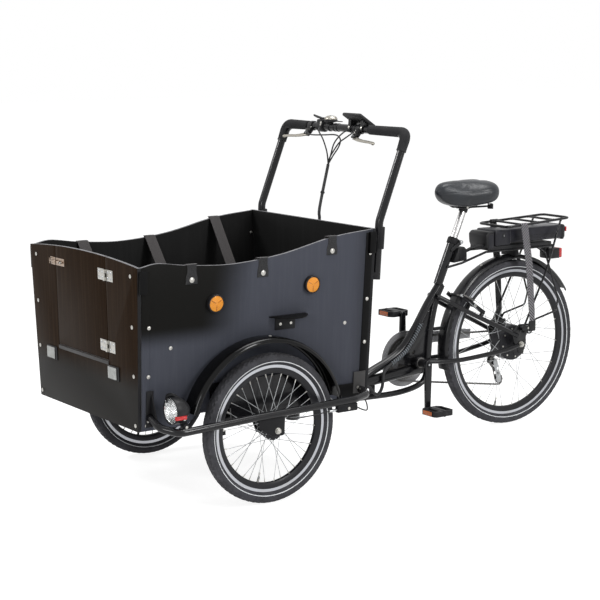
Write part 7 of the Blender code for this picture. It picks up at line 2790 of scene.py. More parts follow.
@dataclass
class RearFrame:
    """Beam, curved tubes, seat tube, stays and dropouts, with welds, gusset and small fittings."""

    body: str = "rear_frame"
    beam_r: float = 0.02
    curved_r: float = 0.016
    inner_r: float = 0.015
    lower_r: float = 0.011
    seat_r: float = 0.0175
    stay_r: float = 0.009

    def build(self) -> None:
        """Build the main frame and both rear triangles."""
        self.main_tubes()
        for side in Side:
            self.triangle(side)
        self.axle()
        self.seat_lever()

    def line(self, *spots: tuple[float, float]) -> list[Vector]:
        """Places in the middle plane, measured from the crank."""
        return [by_crank(0.0, y, z) for y, z in spots]

    def main_tubes(self) -> None:
        """The tubes of the main frame."""
        beam = self.line((-0.875, -0.1075), (0.055, -0.0257))
        curved = through(self.line((0.118, 0.29), (0.055, 0.21), (-0.005, 0.122), (-0.067, 0.053),
            (-0.125, 0.018), (-0.205, -0.013), (-0.262, -0.04)), 7)
        inner = through(
            self.line((0.123, 0.282), (0.095, 0.227), (0.069, 0.114), (0.06, 0.018), (0.05, -0.02)), 7
        )
        lower = through(self.line((-0.5, -0.074), (-0.403, -0.102), (-0.233, -0.11), (-0.071, -0.11),
            (0.035, -0.085), (0.062, -0.02)), 7)
        made = Kit(
            [
                tube("beam", beam, self.beam_r, 32), tube("curved", curved, self.curved_r, 28),
                tube("inner", inner, self.inner_r, 28), tube("lower", lower, self.lower_r, 20),
                rod(
                    "shell", (-0.034, *by_crank(0, 0, 0).yz), (0.034, *by_crank(0, 0, 0).yz), 0.022, 40,
                    bevel=0.0012,
                ),
                tube("seat", [SEAT_TOP - SEAT_WAY * 0.19, SEAT_TOP], self.seat_r, 32),
                rod(
                    "head", by_crank(0, -0.56525, -0.1466), by_crank(0, -0.56525, -0.0116), 0.026, 40,
                    bevel=0.0015,
                ),
            ]
        )
        strut = block("strut", by_crank(-0.004, -0.217, -0.108), by_crank(0.004, -0.193, -0.055), 0.0015)
        gusset = plate(
            "gusset",
            [
                by_crank(0, y, z).yz
                for y, z in (
                    (0.052, 0.19), (0.01, 0.132), (-0.05, 0.062), (-0.085, 0.036), (-0.08, 0.0),
                    (-0.02, -0.018), (0.045, -0.01), (0.056, 0.06), (0.064, 0.13), (0.074, 0.18),
                )
            ],
            0.006, across(0.0), 0.0012, [(*by_crank(0, -0.01, 0.037).yz, 0.0075)],
        )
        made += [strut, gusset]
        made += [
            bead("weld", curved[0] - Vector((0, 0.004, 0.006)), SEAT_WAY, self.seat_r + 0.0004),
            bead("weld", beam[1] - Vector((0, 0.03, 0.0026)), (0, 1, 0.09), self.beam_r + 0.0002),
            bead(
                "weld", curved[-1] + Vector((0, 0.012, 0.006)), (0, 0.88, 0.42), self.curved_r + 0.0002,
                0.0022,
            ),
            bead("weld", by_crank(0.034, 0, 0), (1, 0, 0), 0.0222, 0.0016),
            bead("weld", by_crank(-0.034, 0, 0), (1, 0, 0), 0.0222, 0.0016),
        ]
        made = Kit(dress(item, GLOSS_BLACK, angle=50.0) for item in made)
        collar = rod(
            "collar", SEAT_TOP - SEAT_WAY * 0.026, SEAT_TOP - SEAT_WAY * 0.003, 0.0212, 36, bevel=0.0015
        )
        clamp = SEAT_CLAMP
        ear = rod(
            "ear", clamp - Vector((0.015, 0, 0)), clamp + Vector((0.015, 0, 0)), 0.0075, 28, bevel=0.001
        )
        split = block("split", (-0.001, *(clamp - Vector((0, 0.012, 0.01))).yz),
            (0.001, *(clamp + Vector((0, 0.0082, 0.0082))).yz))
        made += [dress(collar, SATIN_BLACK), dress(ear, SATIN_BLACK), dress(split, DARK_STEEL)]
        for x in (-0.0345, 0.0345):
            made.add(
                rod("cup", by_crank(x * 0.99, 0, 0), by_crank(x * 1.06, 0, 0), 0.0196, 32, bevel=0.0006),
                DARK_STEEL,
            )
        made.keep("main_frame_tubes", self.body, "black_frame_paint", "main_frame")

    def triangle(self, side: Side) -> None:
        """Chainstay, seat stay, dropout with its screws, and the brake's boss.

        Args:
            side: The rider's left or right.
        """
        pin = by_axle(0.047, -0.18431, 0.12905)
        chainstay = through([
            by_crank(0.022, 0.026, 0), by_crank(0.048, 0.13, -0.006), by_crank(0.053, 0.22, -0.006),
            by_axle(0.07, -0.087, -0.0165), by_axle(0.074, -0.012, -0.0025),
        ], 8)
        seat_stay = through(
            [
                by_crank(0.0228, 0.086, 0.246), pin + Vector((0.001, -0.1377, 0.0544)),
                pin + Vector((0.005, -0.0377, 0.0044)), by_axle(0.066, -0.092, 0.0715),
                by_axle(0.074, -0.02, 0.0355),
            ],
            8,
        )
        flatten = [1.0] * len(chainstay)
        flatten[-1] = 0.8
        made = Kit([
            dress(tube("chainstay", chainstay, self.stay_r, 24, radii=flatten), GLOSS_BLACK, angle=ROUND),
            dress(tube("seat_stay", seat_stay, self.stay_r, 24), GLOSS_BLACK, angle=ROUND),
        ])
        outline = [
            by_axle(0, y, z).yz
            for y, z in (
                (-0.032, 0.004), (-0.014, -0.018), (-0.01, -0.038), (0.014, -0.04), (0.02, -0.01),
                (0.024, 0.03), (0.05, 0.062), (0.048, 0.078), (-0.01, 0.08), (-0.046, 0.05),
            )
        ]
        made.add(plate("dropout", outline, 0.005, across(0.072), 0.001, [
            (*by_axle(0, 0, 0).yz, 0.0063), (*by_axle(0, 0.004, 0.055).yz, 0.004),
        ]), GLOSS_BLACK)
        boss = rod("boss", pin - BRAKE_OUT * 0.01, pin + BRAKE_OUT * 0.007, 0.0085, 28, bevel=0.0008)
        stud = rod("stud", pin + BRAKE_OUT * 0.007, pin + BRAKE_OUT * 0.0215, 0.004, 20, bevel=0.0006)
        made += [dress(boss, GLOSS_BLACK), dress(stud, ZINC)]
        made.keep_sided(side, "rear_stays_", self.body, "black_frame_paint", "rear_triangle_")

    def axle(self) -> None:
        """Rear axle with spacers, toothed washers and domed nuts."""
        y, z = by_axle(0, 0, 0).yz
        made = Kit()
        made.add(cross_rod("axle", -0.0885, 0.0885, (y, z), 0.006, 28, bevel=0.001), ZINC)
        for way, start in ((1, 0.0445), (-1, 0.0645)):
            made.add(cross_rod("spacer", way * start, way * 0.0692, (y, z), 0.0095, 28), DARK_STEEL)
            made.add(cross_rod("washer", way * 0.0748, way * 0.0766, (y, z), 0.0118, 32), ZINC)
            made.add(cross_rod("nut", way * 0.0766, way * 0.0835, (y, z), 0.0108, 6, bevel=0.0009), ZINC)
        made.keep("rear_axle_set", self.body, "bright_steel", "rear_axle")

    def seat_lever(self) -> None:
        """The quick lever of the seat clamp."""
        y, z = SEAT_CLAMP.yz
        hub = cross_rod("hub", 0.0153, 0.0273, (y, z), 0.0075, 28, bevel=0.0014)
        arm = plate(
            "arm",
            [
                (y - 0.006, z + 0.004), (y - 0.02, z - 0.004), (y - 0.044, z - 0.019),
                (y - 0.0495, z - 0.026), (y - 0.046, z - 0.0345), (y - 0.038, z - 0.031),
                (y - 0.018, z - 0.018), (y + 0.004, z - 0.007),
            ],
            0.005, across(0.0218), 0.0016,
        )
        made = Kit()
        made.add(hub, STEEL)
        made.add(arm, BLACK_PLASTIC)
        made.keep("seat_lever", "seat_clamp_lever", "black_plastic", "seat_clamp_lever")


def toothed(
    name: str, centre: Point, root: float, depth: float, count: int, thickness: float, x: float
) -> Item:
    """A sprocket's disc with its teeth.

    Args:
        name: The piece's name.
        centre: Its middle in Y and Z.
        root: Radius between the teeth.
        depth: Height of the teeth.
        count: How many teeth.
        thickness: Thickness of the disc.
        x: Where its middle plane is.

    Returns:
        The disc, without a finish.
    """
    outline = []
    for k in range(count):
        for share, rise in ((-0.32, 0.0), (-0.13, 1.0), (0.13, 1.0), (0.32, 0.0)):
            angle = math.tau * (k + share) / count
            reach = root + rise * depth
            outline.append((centre[0] + reach * math.cos(angle), centre[1] + reach * math.sin(angle)))
    return plate(name, outline, thickness, across(x))


def capsule(start: Point, first: float, end: Point, last: float, steps: int = 10) -> list[
    tuple[float, float]
]:
    """Outline of two round ends joined by straight sides."""
    way = math.degrees(math.atan2(end[1] - start[1], end[0] - start[0]))
    return [*arc(start, first, way + 90, way + 270, steps), *arc(end, last, way - 90, way + 90, steps)]


@dataclass
class DriveTrain:
    """Chainring, cranks, pedals, chain, guard, sprockets and derailleur."""

    body: str = "rear_frame"
    chain_x: float = -0.056
    ring_r: float = 0.0849
    sprocket_r: float = 0.036
    pulley_r: float = 0.02
    pitch: float = 0.0127
    arm_long: float = 0.17
    arm_x: float = 0.078
    guide_step: tuple[float, float] = (-0.022, -0.088)
    tension_step: tuple[float, float] = (0.022, -0.075)
    roller_turn: float = 0.21
    tip_gap: float = 0.0043
    guard_r: float = 0.1066
    pedal_size: tuple[float, float, float, float] = (0.089, 0.18, 0.046, 0.0105)

    def build(self) -> None:
        """Build the whole drive."""
        self.crank = Vector(by_crank(0, 0, 0).yz)
        self.rear = Vector(by_axle(0, 0, 0).yz)
        self.guide = self.rear + Vector(self.guide_step)
        self.tension = self.guide + Vector(self.tension_step)
        self.chain()
        self.right_crank()
        self.left_crank()
        self.pedal(Side.LEFT, -1)
        self.pedal(Side.RIGHT, 1)
        self.cassette()
        self.derailleur()
        self.guard()

    def tips(self, radius: float) -> float:
        """Radius of the teeth's tips on a wheel where the chain runs at a radius."""
        return radius * math.cos(self.roller_turn) - self.tip_gap

    def chain_path(self) -> list[Vector]:
        """The chain's middle line in Y and Z round its four wheels.

        Returns:
            The line's points, the first one again at its end.
        """
        rounds = [
            (self.crank, self.ring_r, -1), (self.rear, self.sprocket_r, -1), (self.guide, self.pulley_r, 1),
            (self.tension, self.pulley_r, -1),
        ]
        spans = []
        for (centre, radius, sense), (other, reach, turn) in zip(rounds, rounds[1:] + rounds[:1]):
            span = other - centre
            lean = math.asin((reach * turn - radius * sense) / span.length)
            heading = math.atan2(span.y, span.x) - lean
            normal = Vector((math.sin(heading), -math.cos(heading)))
            spans.append((centre + normal * radius * sense, other + normal * reach * turn))
        path = []
        for index, (centre, radius, sense) in enumerate(rounds):
            into, away = spans[index - 1][1] - centre, spans[index][0] - centre
            first = math.atan2(into.y, into.x)
            turn = (math.atan2(away.y, away.x) - first) * sense % (math.tau)
            for k in range(25):
                angle = first + sense * turn * k / 24
                path.append(centre + Vector((math.cos(angle), math.sin(angle))) * radius)
        return [*path, path[0]]

    def chain(self) -> None:
        """Inner and outer links with their rollers, one by one along the line."""
        path = self.chain_path()
        spots, travel = [], 0.0
        total = run_length(path)
        pairs = round(total / (2 * self.pitch))
        step = total / (2 * pairs)
        for here, there in zip(path, path[1:]):
            long = (there - here).length
            while len(spots) * step < travel + long and len(spots) < 2 * pairs:
                spots.append(here.lerp(there, (len(spots) * step - travel) / max(long, 1e-9)))
            travel += long
        spots.append(spots[0])
        made = Kit()
        for kind, x in (("outer", 0.0034), ("inner", 0.0024)):
            outline = [*arc((-step / 2, 0.0), 0.0038, 90, 270, 3), (0.0, -0.0026),
                *arc((step / 2, 0.0), 0.0038, -90, 90, 3), (0.0, 0.0026)]
            sides = [plate("side", outline, 0.0009, across(way * x)) for way in (1, -1)]
            roller = cross_rod("roller", -0.002, 0.002, (-step / 2, 0), 0.0036, 8)
            link = dress(join(kind, [*sides, roller]), DARK_STEEL)
            first = 0 if kind == "outer" else 1
            places = []
            for here, there in list(zip(spots, spots[1:]))[first::2]:
                way = there - here
                middle = (here + there) / 2
                turn = Matrix.Rotation(math.atan2(way.y, way.x), 4, "X")
                places.append(Matrix.Translation((self.chain_x, *middle)) @ turn)
            made.append(repeated(kind, link, places))
        made.keep("chain_links", self.body, "chain_steel", "chain")

    def right_crank(self) -> None:
        """Chainring with its spider, spindle and the right arm, which points up."""
        y, z = self.crank
        edge = self.tips(self.ring_r)
        ring = toothed("ring", self.crank, edge - 0.0042, 0.0042, 42, 0.0028, self.chain_x)
        for k in range(5):
            angle = math.radians(72 * k + 54)
            spot = self.crank + Vector((math.cos(angle), math.sin(angle))) * 0.053
            cut(ring, cross_rod("hole", -0.07, -0.04, spot, 0.0165, 32))
        made = Kit()
        made.add(ring, DARK_STEEL)
        made.add(cross_rod("spindle", -0.078, 0.0705, (y, z), 0.01, 28), DARK_STEEL)
        for k in range(5):
            angle = 72 * k + 90
            tip = self.crank + Vector((math.cos(math.radians(angle)), math.sin(math.radians(angle)))) * 0.07
            made.add(
                plate(
                    "spider", capsule(self.crank, 0.012, tip, 0.0065), 0.004, across(self.chain_x - 0.0044),
                    0.001,
                ),
                SATIN_BLACK,
            )
            made.add(
                cross_rod(
                    "bolt", self.chain_x - 0.008, self.chain_x + 0.003, tip, 0.0042, 14, bevel=0.0006
                ),
                STEEL,
            )
        made += self.arm(-1, 1)
        made.keep("crank_right_set", "crank", "black_frame_paint", "crank_right")

    def left_crank(self) -> None:
        """The left arm with its collar; it points down."""
        y, z = self.crank
        collar = cross_rod("collar", 0.0352, 0.073, (y, z), 0.0155, 32, bevel=0.0016)
        made = Kit()
        made.add(collar, SATIN_BLACK)
        made += self.arm(1, -1)
        made.keep("crank_left_arm", "crank", "black_frame_paint", "crank_left")

    def arm(self, side: int, way: int) -> list[Item]:
        """A forged crank arm with its bolt cap and pedal axle.

        Args:
            side: Plus on the rider's left.
            way: Plus where it points up.

        Returns:
            The pieces.
        """
        y, z = self.crank
        end = (y, z + way * self.arm_long)
        body = plate(
            "arm", capsule((y, z), 0.0165, end, 0.0118, 14), 0.0125, across(side * self.arm_x), 0.0
        )
        for vertex in body.data.vertices:
            share = min(1.0, abs(vertex.co.z - z) / self.arm_long)
            waist = 1.0 - 0.24 * math.sin(math.pi * min(1.0, share * 1.05)) ** 0.8
            vertex.co.y = y + (vertex.co.y - y) * waist
        soften(body, 0.0032, 3)
        cap = cross_rod("cap", side * 0.0835, side * 0.0858, (y, z), 0.0098, 32, bevel=0.0008)
        bolt = cross_rod("bolt", side * 0.085, side * 0.0866, (y, z), 0.0042, 6)
        axle = cross_rod("axle", side * 0.072, side * 0.169, end, 0.005, 20, bevel=0.0008)
        flats = cross_rod("flats", side * 0.0845, side * 0.0885, end, 0.0078, 6, bevel=0.0006)
        return [
            dress(body, GLOSS_BLACK, angle=40.0), dress(cap, SATIN_BLACK), dress(bolt, STEEL),
            dress(axle, ZINC), dress(flats, DARK_STEEL),
        ]

    def pedal(self, side: Side, way: int) -> None:
        """A resin cage pedal with teeth, a barrel and two orange reflectors.

        Args:
            side: The rider's left or right.
            way: Plus where its crank points up.
        """
        y, z = self.crank
        z += way * self.arm_long
        low, high, half, thick = self.pedal_size
        made = Kit()
        outline = [(low, -half * 0.72), (low + 0.014, -half), (high - 0.01, -half), (high, -half * 0.8),
            (high, half * 0.8), (high - 0.01, half), (low + 0.014, half), (low, half * 0.72)]
        frame_item = plate("cage", outline, 2 * thick, Matrix.Translation((0, y, z)), 0.0)
        for v in (-1, 1):
            first, last = sorted((y + v * 0.015, y + v * 0.0375))
            cut(
                frame_item,
                block("window", (low + 0.014, first, z - 0.03), (high - 0.012, last, z + 0.03), 0.003),
            )
        soften(frame_item, 0.0016)
        made.add(frame_item, BLACK_PLASTIC)
        made.add(
            cross_rod("barrel", low - 0.0005, high + 0.001, (y, z), 0.0118, 28, bevel=0.002), BLACK_PLASTIC
        )
        middle = (low + high) / 2
        for v in (-1, 1):
            first, last = sorted((y + v * 0.044, y + v * 0.0478))
            made.add(
                block(
                    "glass", (middle - 0.025, first, z - 0.0078), (middle + 0.025, last, z + 0.0078), 0.0012
                ),
                ORANGE,
            )
            rib = block("rib", (middle - 0.029, first, z - 0.01), (middle - 0.026, last, z + 0.01), 0.0006)
            made.add(repeated("ribs", rib, shift_row(2, (0.055, 0, 0))), BLACK_PLASTIC)
            for end in (-1, 1):
                tooth = block("tooth", (low + 0.018, y + v * 0.0405 - 0.002, z + end * thick - 0.001),
                    (low + 0.023, y + v * 0.0405 + 0.002, z + end * thick + 0.001), 0.0007)
                made.add(repeated("teeth", tooth, shift_row(7, (0.0095, 0, 0))), BLACK_PLASTIC)
        made.keep_sided(side, "pedal_cage_", "pedal_" + side.word, "black_plastic", "pedal_")

    def cassette(self) -> None:
        """The stack of toothed sprockets with spacers and its lock ring."""
        edge = self.tips(self.sprocket_r)
        sizes = (
            (-0.0459, 0.048, 28), (-0.0483, 0.0448, 26), (-0.0507, 0.042, 24), (-0.056, edge, 16),
            (-0.0588, 0.0275, 14), (-0.0613, 0.0252, 13),
        )
        made = Kit()
        for x, reach, count in sizes:
            made.add(toothed("sprocket", self.rear, reach - 0.0036, 0.0036, count, 0.0017, x), STEEL)
        y, z = self.rear
        core = cross_rod("core", -0.0388, -0.0622, (y, z), 0.0215, 40)
        lock = lathe("lock", [(-0.0618, 0.0175), (-0.0618, 0.0215), (-0.0634, 0.0205), (-0.0634, 0.015),
            (-0.0624, 0.015)], Matrix.Translation((0, y, z)), 36)
        made += [dress(core, DARK_STEEL), dress(lock, STEEL)]
        made.keep("sprocket_stack", "cassette", "chain_steel", "cassette")

    def derailleur(self) -> None:
        """Body with its bolts and adjuster, cage plates and both pulleys."""
        hanger = self.rear + Vector((0.003, -0.031))
        guide = self.guide
        spots = [hanger + Vector(step) for step in ((0.012, 0.006), (0.004, 0.012), (-0.008, 0.011))]
        spots += [
            guide + Vector(step)
            for step in ((-0.013, 0.006), (-0.0135, -0.004), (-0.006, -0.012), (0.007, -0.011))
        ]
        spots += [hanger + Vector((0.0135, -0.008))]
        shell = plate("shell", spots, 0.0105, across(-0.0805), 0.0026)
        made = Kit()
        made.add(shell, SATIN_BLACK)
        made.add(
            plate(
                "link",
                capsule(hanger + Vector((-0.004, -0.01)), 0.0055, guide + Vector((0.0, 0.004)), 0.006),
                0.0032, across(-0.0868), 0.001,
            ),
            STEEL,
        )
        for place, reach in ((hanger, 0.007), (guide, 0.0062)):
            pin = cross_rod(
                "pin", -0.0785, -0.0665 if reach < 0.007 else -0.069, place, reach, 28, bevel=0.0008
            )
            head = cross_rod("head", -0.085, -0.0885, place, reach * 0.85, 24, bevel=0.0008)
            made += [dress(pin, STEEL), dress(head, STEEL)]
        made.add(
            rod(
                "barrel", (-0.0805, *(hanger + Vector((0.012, -0.012)))),
                (-0.0805, *(hanger + Vector((0.026, -0.02)))), 0.004, 16, bevel=0.0005,
            ),
            ZINC,
        )
        made.keep("derailleur_shell", self.body, "black_plastic", "derailleur_body")
        cage = Kit()
        for x in (-0.0471, -0.0637):
            outline = capsule(guide, 0.0105, self.tension, 0.0105, 12)
            side = plate("side", outline, 0.0014, across(x))
            middle = guide.lerp(self.tension, 0.5)
            for up in (0.01, -0.01):
                cut(side, cross_rod("slot", x - 0.01, x + 0.01, middle + Vector((0.003, up)), 0.0062, 24))
            cage.add(soften(side, 0.0004), POLISHED if x < -0.06 else STEEL)
        for place in (guide, self.tension):
            cage.add(cross_rod("bolt", -0.0655, -0.045, place, 0.0027, 16, bevel=0.0004), ZINC)
        cage.keep("derailleur_cage_plates", "derailleur_cage", "alloy", "derailleur_cage")
        for name, place in (("guide_pulley", guide), ("tension_pulley", self.tension)):
            wheel = toothed(name, place, 0.0112, 0.0027, 11, 0.0044, self.chain_x)
            cut(wheel, cross_rod("hole", -0.07, -0.04, place, 0.0032, 20))
            ring = lathe("ring", [(-0.0028, 0.0034), (-0.0028, 0.0068), (0.0028, 0.0068), (0.0028, 0.0034)],
                Matrix.Translation((self.chain_x, *place)), 28)
            item = join(name + "_wheel", [dress(wheel, BLACK_PLASTIC), dress(ring, STEEL)])
            keep(item, name, "black_plastic", name)

    def guard(self) -> None:
        """The smoke-grey guard in front of the chain, with its rolled rim."""
        repaint("chain_guard", SMOKE)
        spots = [Vector((-0.0668, *spot)) for spot in arc(self.crank, self.guard_r, 62, 330, 67)]
        edge = dress(tube("rim", spots, 0.0016, 10), SMOKE, angle=ROUND)
        keep(edge, self.body, "clear_grey_plastic").name = "guard_rim"


@dataclass
class RimBrake:
    """The rear brake: two forged arms with pads, springs, and a bent guide tube between them."""

    grip_v: float = 0.28
    thick: float = 0.014

    def build(self) -> None:
        """Build both arms."""
        for side in Side:
            self.arm(side)

    @staticmethod
    def place() -> Matrix:
        """The arm's own axes: sideways, outward along the arm, and back.

        Returns:
            The placing.
        """
        origin = by_axle(0, 0, 0) + BRAKE_OUT * 0.014
        turn = Matrix(((1, 0, 0), (0, -0.8192, -0.5736), (0, 0.5736, -0.8192))).to_4x4()
        return Matrix.Translation(origin) @ turn

    def arm(self, side: Side) -> None:
        """One arm with its shoe and fittings.

        Args:
            side: The rider's left or right.
        """
        body = "rear_brake_" + side.word
        outline = [*arc(BRAKE_PIVOT, 0.0085, 160, 380, 12), (0.0545, 0.262), (0.053, 0.3), (0.05, 0.33),
            (0.0475, 0.352), (0.0375, 0.352), (0.0385, 0.328), (0.041, 0.3), (0.0415, 0.262)]
        forged = plate("forged", outline, self.thick, HERE, 0.0)
        cut(forged, rod("hole", (*BRAKE_PIVOT, -0.02), (*BRAKE_PIVOT, 0.02), 0.0046, 24))
        soften(forged, 0.002)
        made = Kit()
        made.add(forged, SATIN_BLACK)
        made.add(
            rod("cap", (*BRAKE_PIVOT, -0.005), (*BRAKE_PIVOT, -0.0082), 0.0064, 24, bevel=0.0008), STEEL
        )
        v = self.grip_v
        shoe = block("shoe", (0.0145, v - 0.0055, -0.0275), (0.0205, v + 0.0055, 0.0275), 0.0018)
        holder = block("holder", (0.02, v - 0.005, -0.026), (0.024, v + 0.005, 0.026), 0.0015)
        made += [dress(shoe, GRIP), dress(holder, BLACK_PLASTIC)]
        made.add(block("groove", (0.014, v - 0.006, -0.0005), (0.02, v + 0.006, 0.0005)), DARK_STEEL)
        made.add(cross_rod("stud", 0.0225, 0.059, (v, 0), 0.003, 20, bevel=0.0005), ZINC)
        for first, last, reach in ((0.03, 0.0335, 0.007), (0.0335, 0.0395, 0.0082), (0.053, 0.055, 0.0075)):
            made.add(
                cross_rod("washer", first, last, (v, 0), reach, 28, bevel=0.0009),
                STEEL if reach < 0.008 else DARK_STEEL,
            )
        made.add(cross_rod("nut", 0.055, 0.059, (v, 0), 0.0052, 6, bevel=0.0006), ZINC)
        made.add(
            tube(
                "spring",
                bent([(0.047, 0.232, 0.0072), (0.053, 0.262, 0.0072), (0.056, 0.318, 0.006)], 0.02, 6),
                0.0011, 10,
            ),
            STEEL,
        )
        if side is Side.LEFT:
            made.add(
                tube(
                    "noodle",
                    bent(
                        [
                            (0.058, 0.3, -0.01), (0.06, 0.352, -0.004), (0.034, 0.352, 0.0),
                            (0.012, 0.35, 0.0),
                        ],
                        0.018, 10,
                    ),
                    0.0028, 16,
                ),
                DARK_STEEL,
            )
            holder = block("cradle", (0.0385, 0.346, -0.005), (0.048, 0.3575, 0.005), 0.0015)
            made.add(holder, STEEL)
            rings = []
            for k in range(6):
                x = 0.01 - 0.006 * k
                rings += [(x, 0.005), (x - 0.003, 0.0036)]
            made.add(
                lathe(
                    "boot", [(0.013, 0.0), (0.013, 0.003), *rings, (-0.027, 0.003), (-0.027, 0.0)],
                    Matrix.Translation((0, 0.35, 0)), 20, False,
                ),
                BLACK_PLASTIC,
            )
        else:
            made.add(
                rod("anchor", (0.042, 0.35, -0.0085), (0.042, 0.35, -0.003), 0.0046, 6, bevel=0.0006), ZINC
            )
        for item in made:
            put(item, self.place())
        made.keep_sided(side, "brake_arm_", body, "black_plastic", "rear_brake_arm_")


@dataclass
class Carrier:
    """Rack, battery with its dock, controller, lamp, mudguard and luggage straps."""

    body: str = "rear_frame"
    top: float = 0.4735
    deck: float = 0.3735
    start: float = -0.087
    long: float = 0.33
    wire: float = 0.005
    front_half: float = 0.088
    rear_half: float = 0.075
    battery_rise: tuple[float, float] = (0.4, 0.4548)
    guard_gap: float = 0.02
    guard_half: float = 0.0275
    guard_span: tuple[float, float] = (33.0, 192.0)
    strap_wide: float = 0.034
    strap_thick: float = 0.0022

    def half(self, y: float) -> float:
        """Half the platform's width at a place along it."""
        return self.front_half + (self.rear_half - self.front_half) * (y - self.start) / self.long

    def build(self) -> None:
        """Build the whole carrier."""
        self.rack()
        self.battery()
        self.dock()
        self.controller()
        self.lamp()
        self.mudguard()
        for side in Side:
            self.strap(side)

    def rack(self) -> None:
        """The welded wire rack with its weld beads and feet."""
        last = self.start + self.long
        low, high = self.top - 0.006, self.top + 0.01
        ends = [by_axle(side * self.half(y), y, z) for y, z, side in (
            (self.start, low, 1), (last, high, 1), (last, high, -1), (self.start, low, -1)
        )]
        middle = (ends[0] + ends[3]) / 2
        made = Kit([tube("platform", bent([middle, *ends, middle], 0.022, 6)[:-1], self.wire, 14, True)])
        for share in (0.25, 0.5, 0.75):
            y, z = self.start + self.long * share, low + 0.016 * share
            made.append(rod("bar", by_axle(-self.half(y), y, z), by_axle(self.half(y), y, z), 0.0044, 14))
            for side in (1, -1):
                made.append(
                    bead("weld", by_axle(side * (self.half(y) - 0.0045), y, z), (1, 0, 0), 0.0042, 0.0014)
                )
        front = SEAT_TOP - SEAT_WAY * 0.118
        for side in (1, -1):
            x = side * 0.046
            made.append(
                tube(
                    "lower",
                    bent(
                        [
                            front + Vector((side * 0.0225, 0, 0)), by_axle(x, -0.286, self.deck - 0.033),
                            by_axle(x, -0.165, self.deck), by_axle(x, 0.19, self.deck),
                        ],
                        0.02, 5,
                    ),
                    0.0046, 14,
                )
            )
            made.append(
                tube(
                    "rod",
                    bent(
                        [
                            by_axle(side * 0.091, -0.004, 0.066), by_axle(side * 0.089, 0.115, 0.288),
                            by_axle(side * self.half(0.195), 0.195, self.top + 0.004),
                        ],
                        0.03, 5,
                    ),
                    0.0042, 14,
                )
            )
            made.append(
                tube(
                    "wire",
                    bent(
                        [
                            by_axle(side * 0.091, 0.04, 0.068), by_axle(side * 0.091, 0.056, 0.096),
                            by_axle(side * 0.091, 0.168, 0.12), by_axle(side * 0.088, 0.18, 0.17),
                            by_axle(side * 0.082, 0.112, self.deck - 0.02), by_axle(x, 0.1, self.deck),
                        ],
                        0.018, 6,
                    ),
                    0.0039, 12,
                )
            )
            low_x, high_x = sorted((side * 0.0748, side * 0.096))
            made.append(block("foot", by_axle(low_x, -0.012, 0.057), by_axle(high_x, 0.048, 0.075), 0.003))
            made.append(
                bead(
                    "weld", by_axle(side * self.half(0.195), 0.195, self.top + 0.002), (0, 0.3, 1), 0.0044,
                    0.0014,
                )
            )
        made.append(
            rod("tail", by_axle(-0.046, 0.19, self.deck), by_axle(0.046, 0.19, self.deck), 0.0048, 14)
        )
        made = Kit([dress(item, GLOSS_BLACK, angle=50.0) for item in made])
        for side in (1, -1):
            made.append(copied_bolt(by_axle(side * 0.096, 0.018, 0.066), (side, 0, 0)))
        made.keep("rack_wires", self.body, "black_frame_paint", "rear_rack")

    def battery(self) -> None:
        """A two-part case with a seam, ribs, lock, charge lights, tail cap, grip and two red reflectors."""
        low, high = self.battery_rise
        shell = block("shell", by_axle(-0.055, -0.127, low), by_axle(0.055, 0.245, high), 0.009, 4)
        hood = block("hood", by_axle(-0.0578, -0.1268, 0.3935), by_axle(0.0578, -0.046, 0.4552), 0.0075, 3)
        made = Kit()
        made.add(shell, CASE_PLASTIC)
        made.add(hood, CASE_PLASTIC)
        for side in (1, -1):
            inner, outer = sorted((side * 0.0545, side * 0.0556))
            made.add(
                block("seam", by_axle(inner, -0.044, 0.4235), by_axle(outer, 0.222, 0.425), 0.0003),
                SATIN_BLACK,
            )
            for z in (0.411, 0.416):
                made.add(
                    block("rib", by_axle(inner, -0.04, z), by_axle(outer, 0.205, z + 0.0022), 0.0004),
                    BLACK_PLASTIC,
                )
        made.add(
            block("cap", by_axle(-0.0568, 0.223, 0.3968), by_axle(0.0568, 0.236, 0.456), 0.004, 3),
            BLACK_PLASTIC,
        )
        made.add(
            plate(
                "grip", [(-0.03, 0.43), (0.03, 0.43), (0.024, 0.442), (-0.024, 0.442)], 0.004,
                along(PLAN.rear_y + 0.2458, PLAN.rear_r), 0.001,
            ),
            GRIP,
        )
        made.add(
            rod(
                "lock", by_axle(0.057, -0.085, 0.432), by_axle(0.059, -0.085, 0.432), 0.0085, 32,
                bevel=0.0006,
            ),
            BLACK_PLASTIC,
        )
        made.add(block("slot", by_axle(0.0588, -0.086, 0.428), by_axle(0.0594, -0.084, 0.436)), STEEL)
        for side in (1, -1):
            first, last = sorted((side * 0.036, side * 0.0555))
            made.add(block("red", by_axle(first, 0.244, 0.427), by_axle(last, 0.25, 0.446), 0.0016), RED)
        light = rod(
            "light", by_axle(-0.018, -0.1, high - 0.0004), by_axle(-0.018, -0.1, high + 0.0004), 0.0022, 14
        )
        made.add(repeated("lights", light, shift_row(4, (0.012, 0, 0))), GREY_PLASTIC)
        made.keep("battery_shell", "battery", "battery_case", "battery")

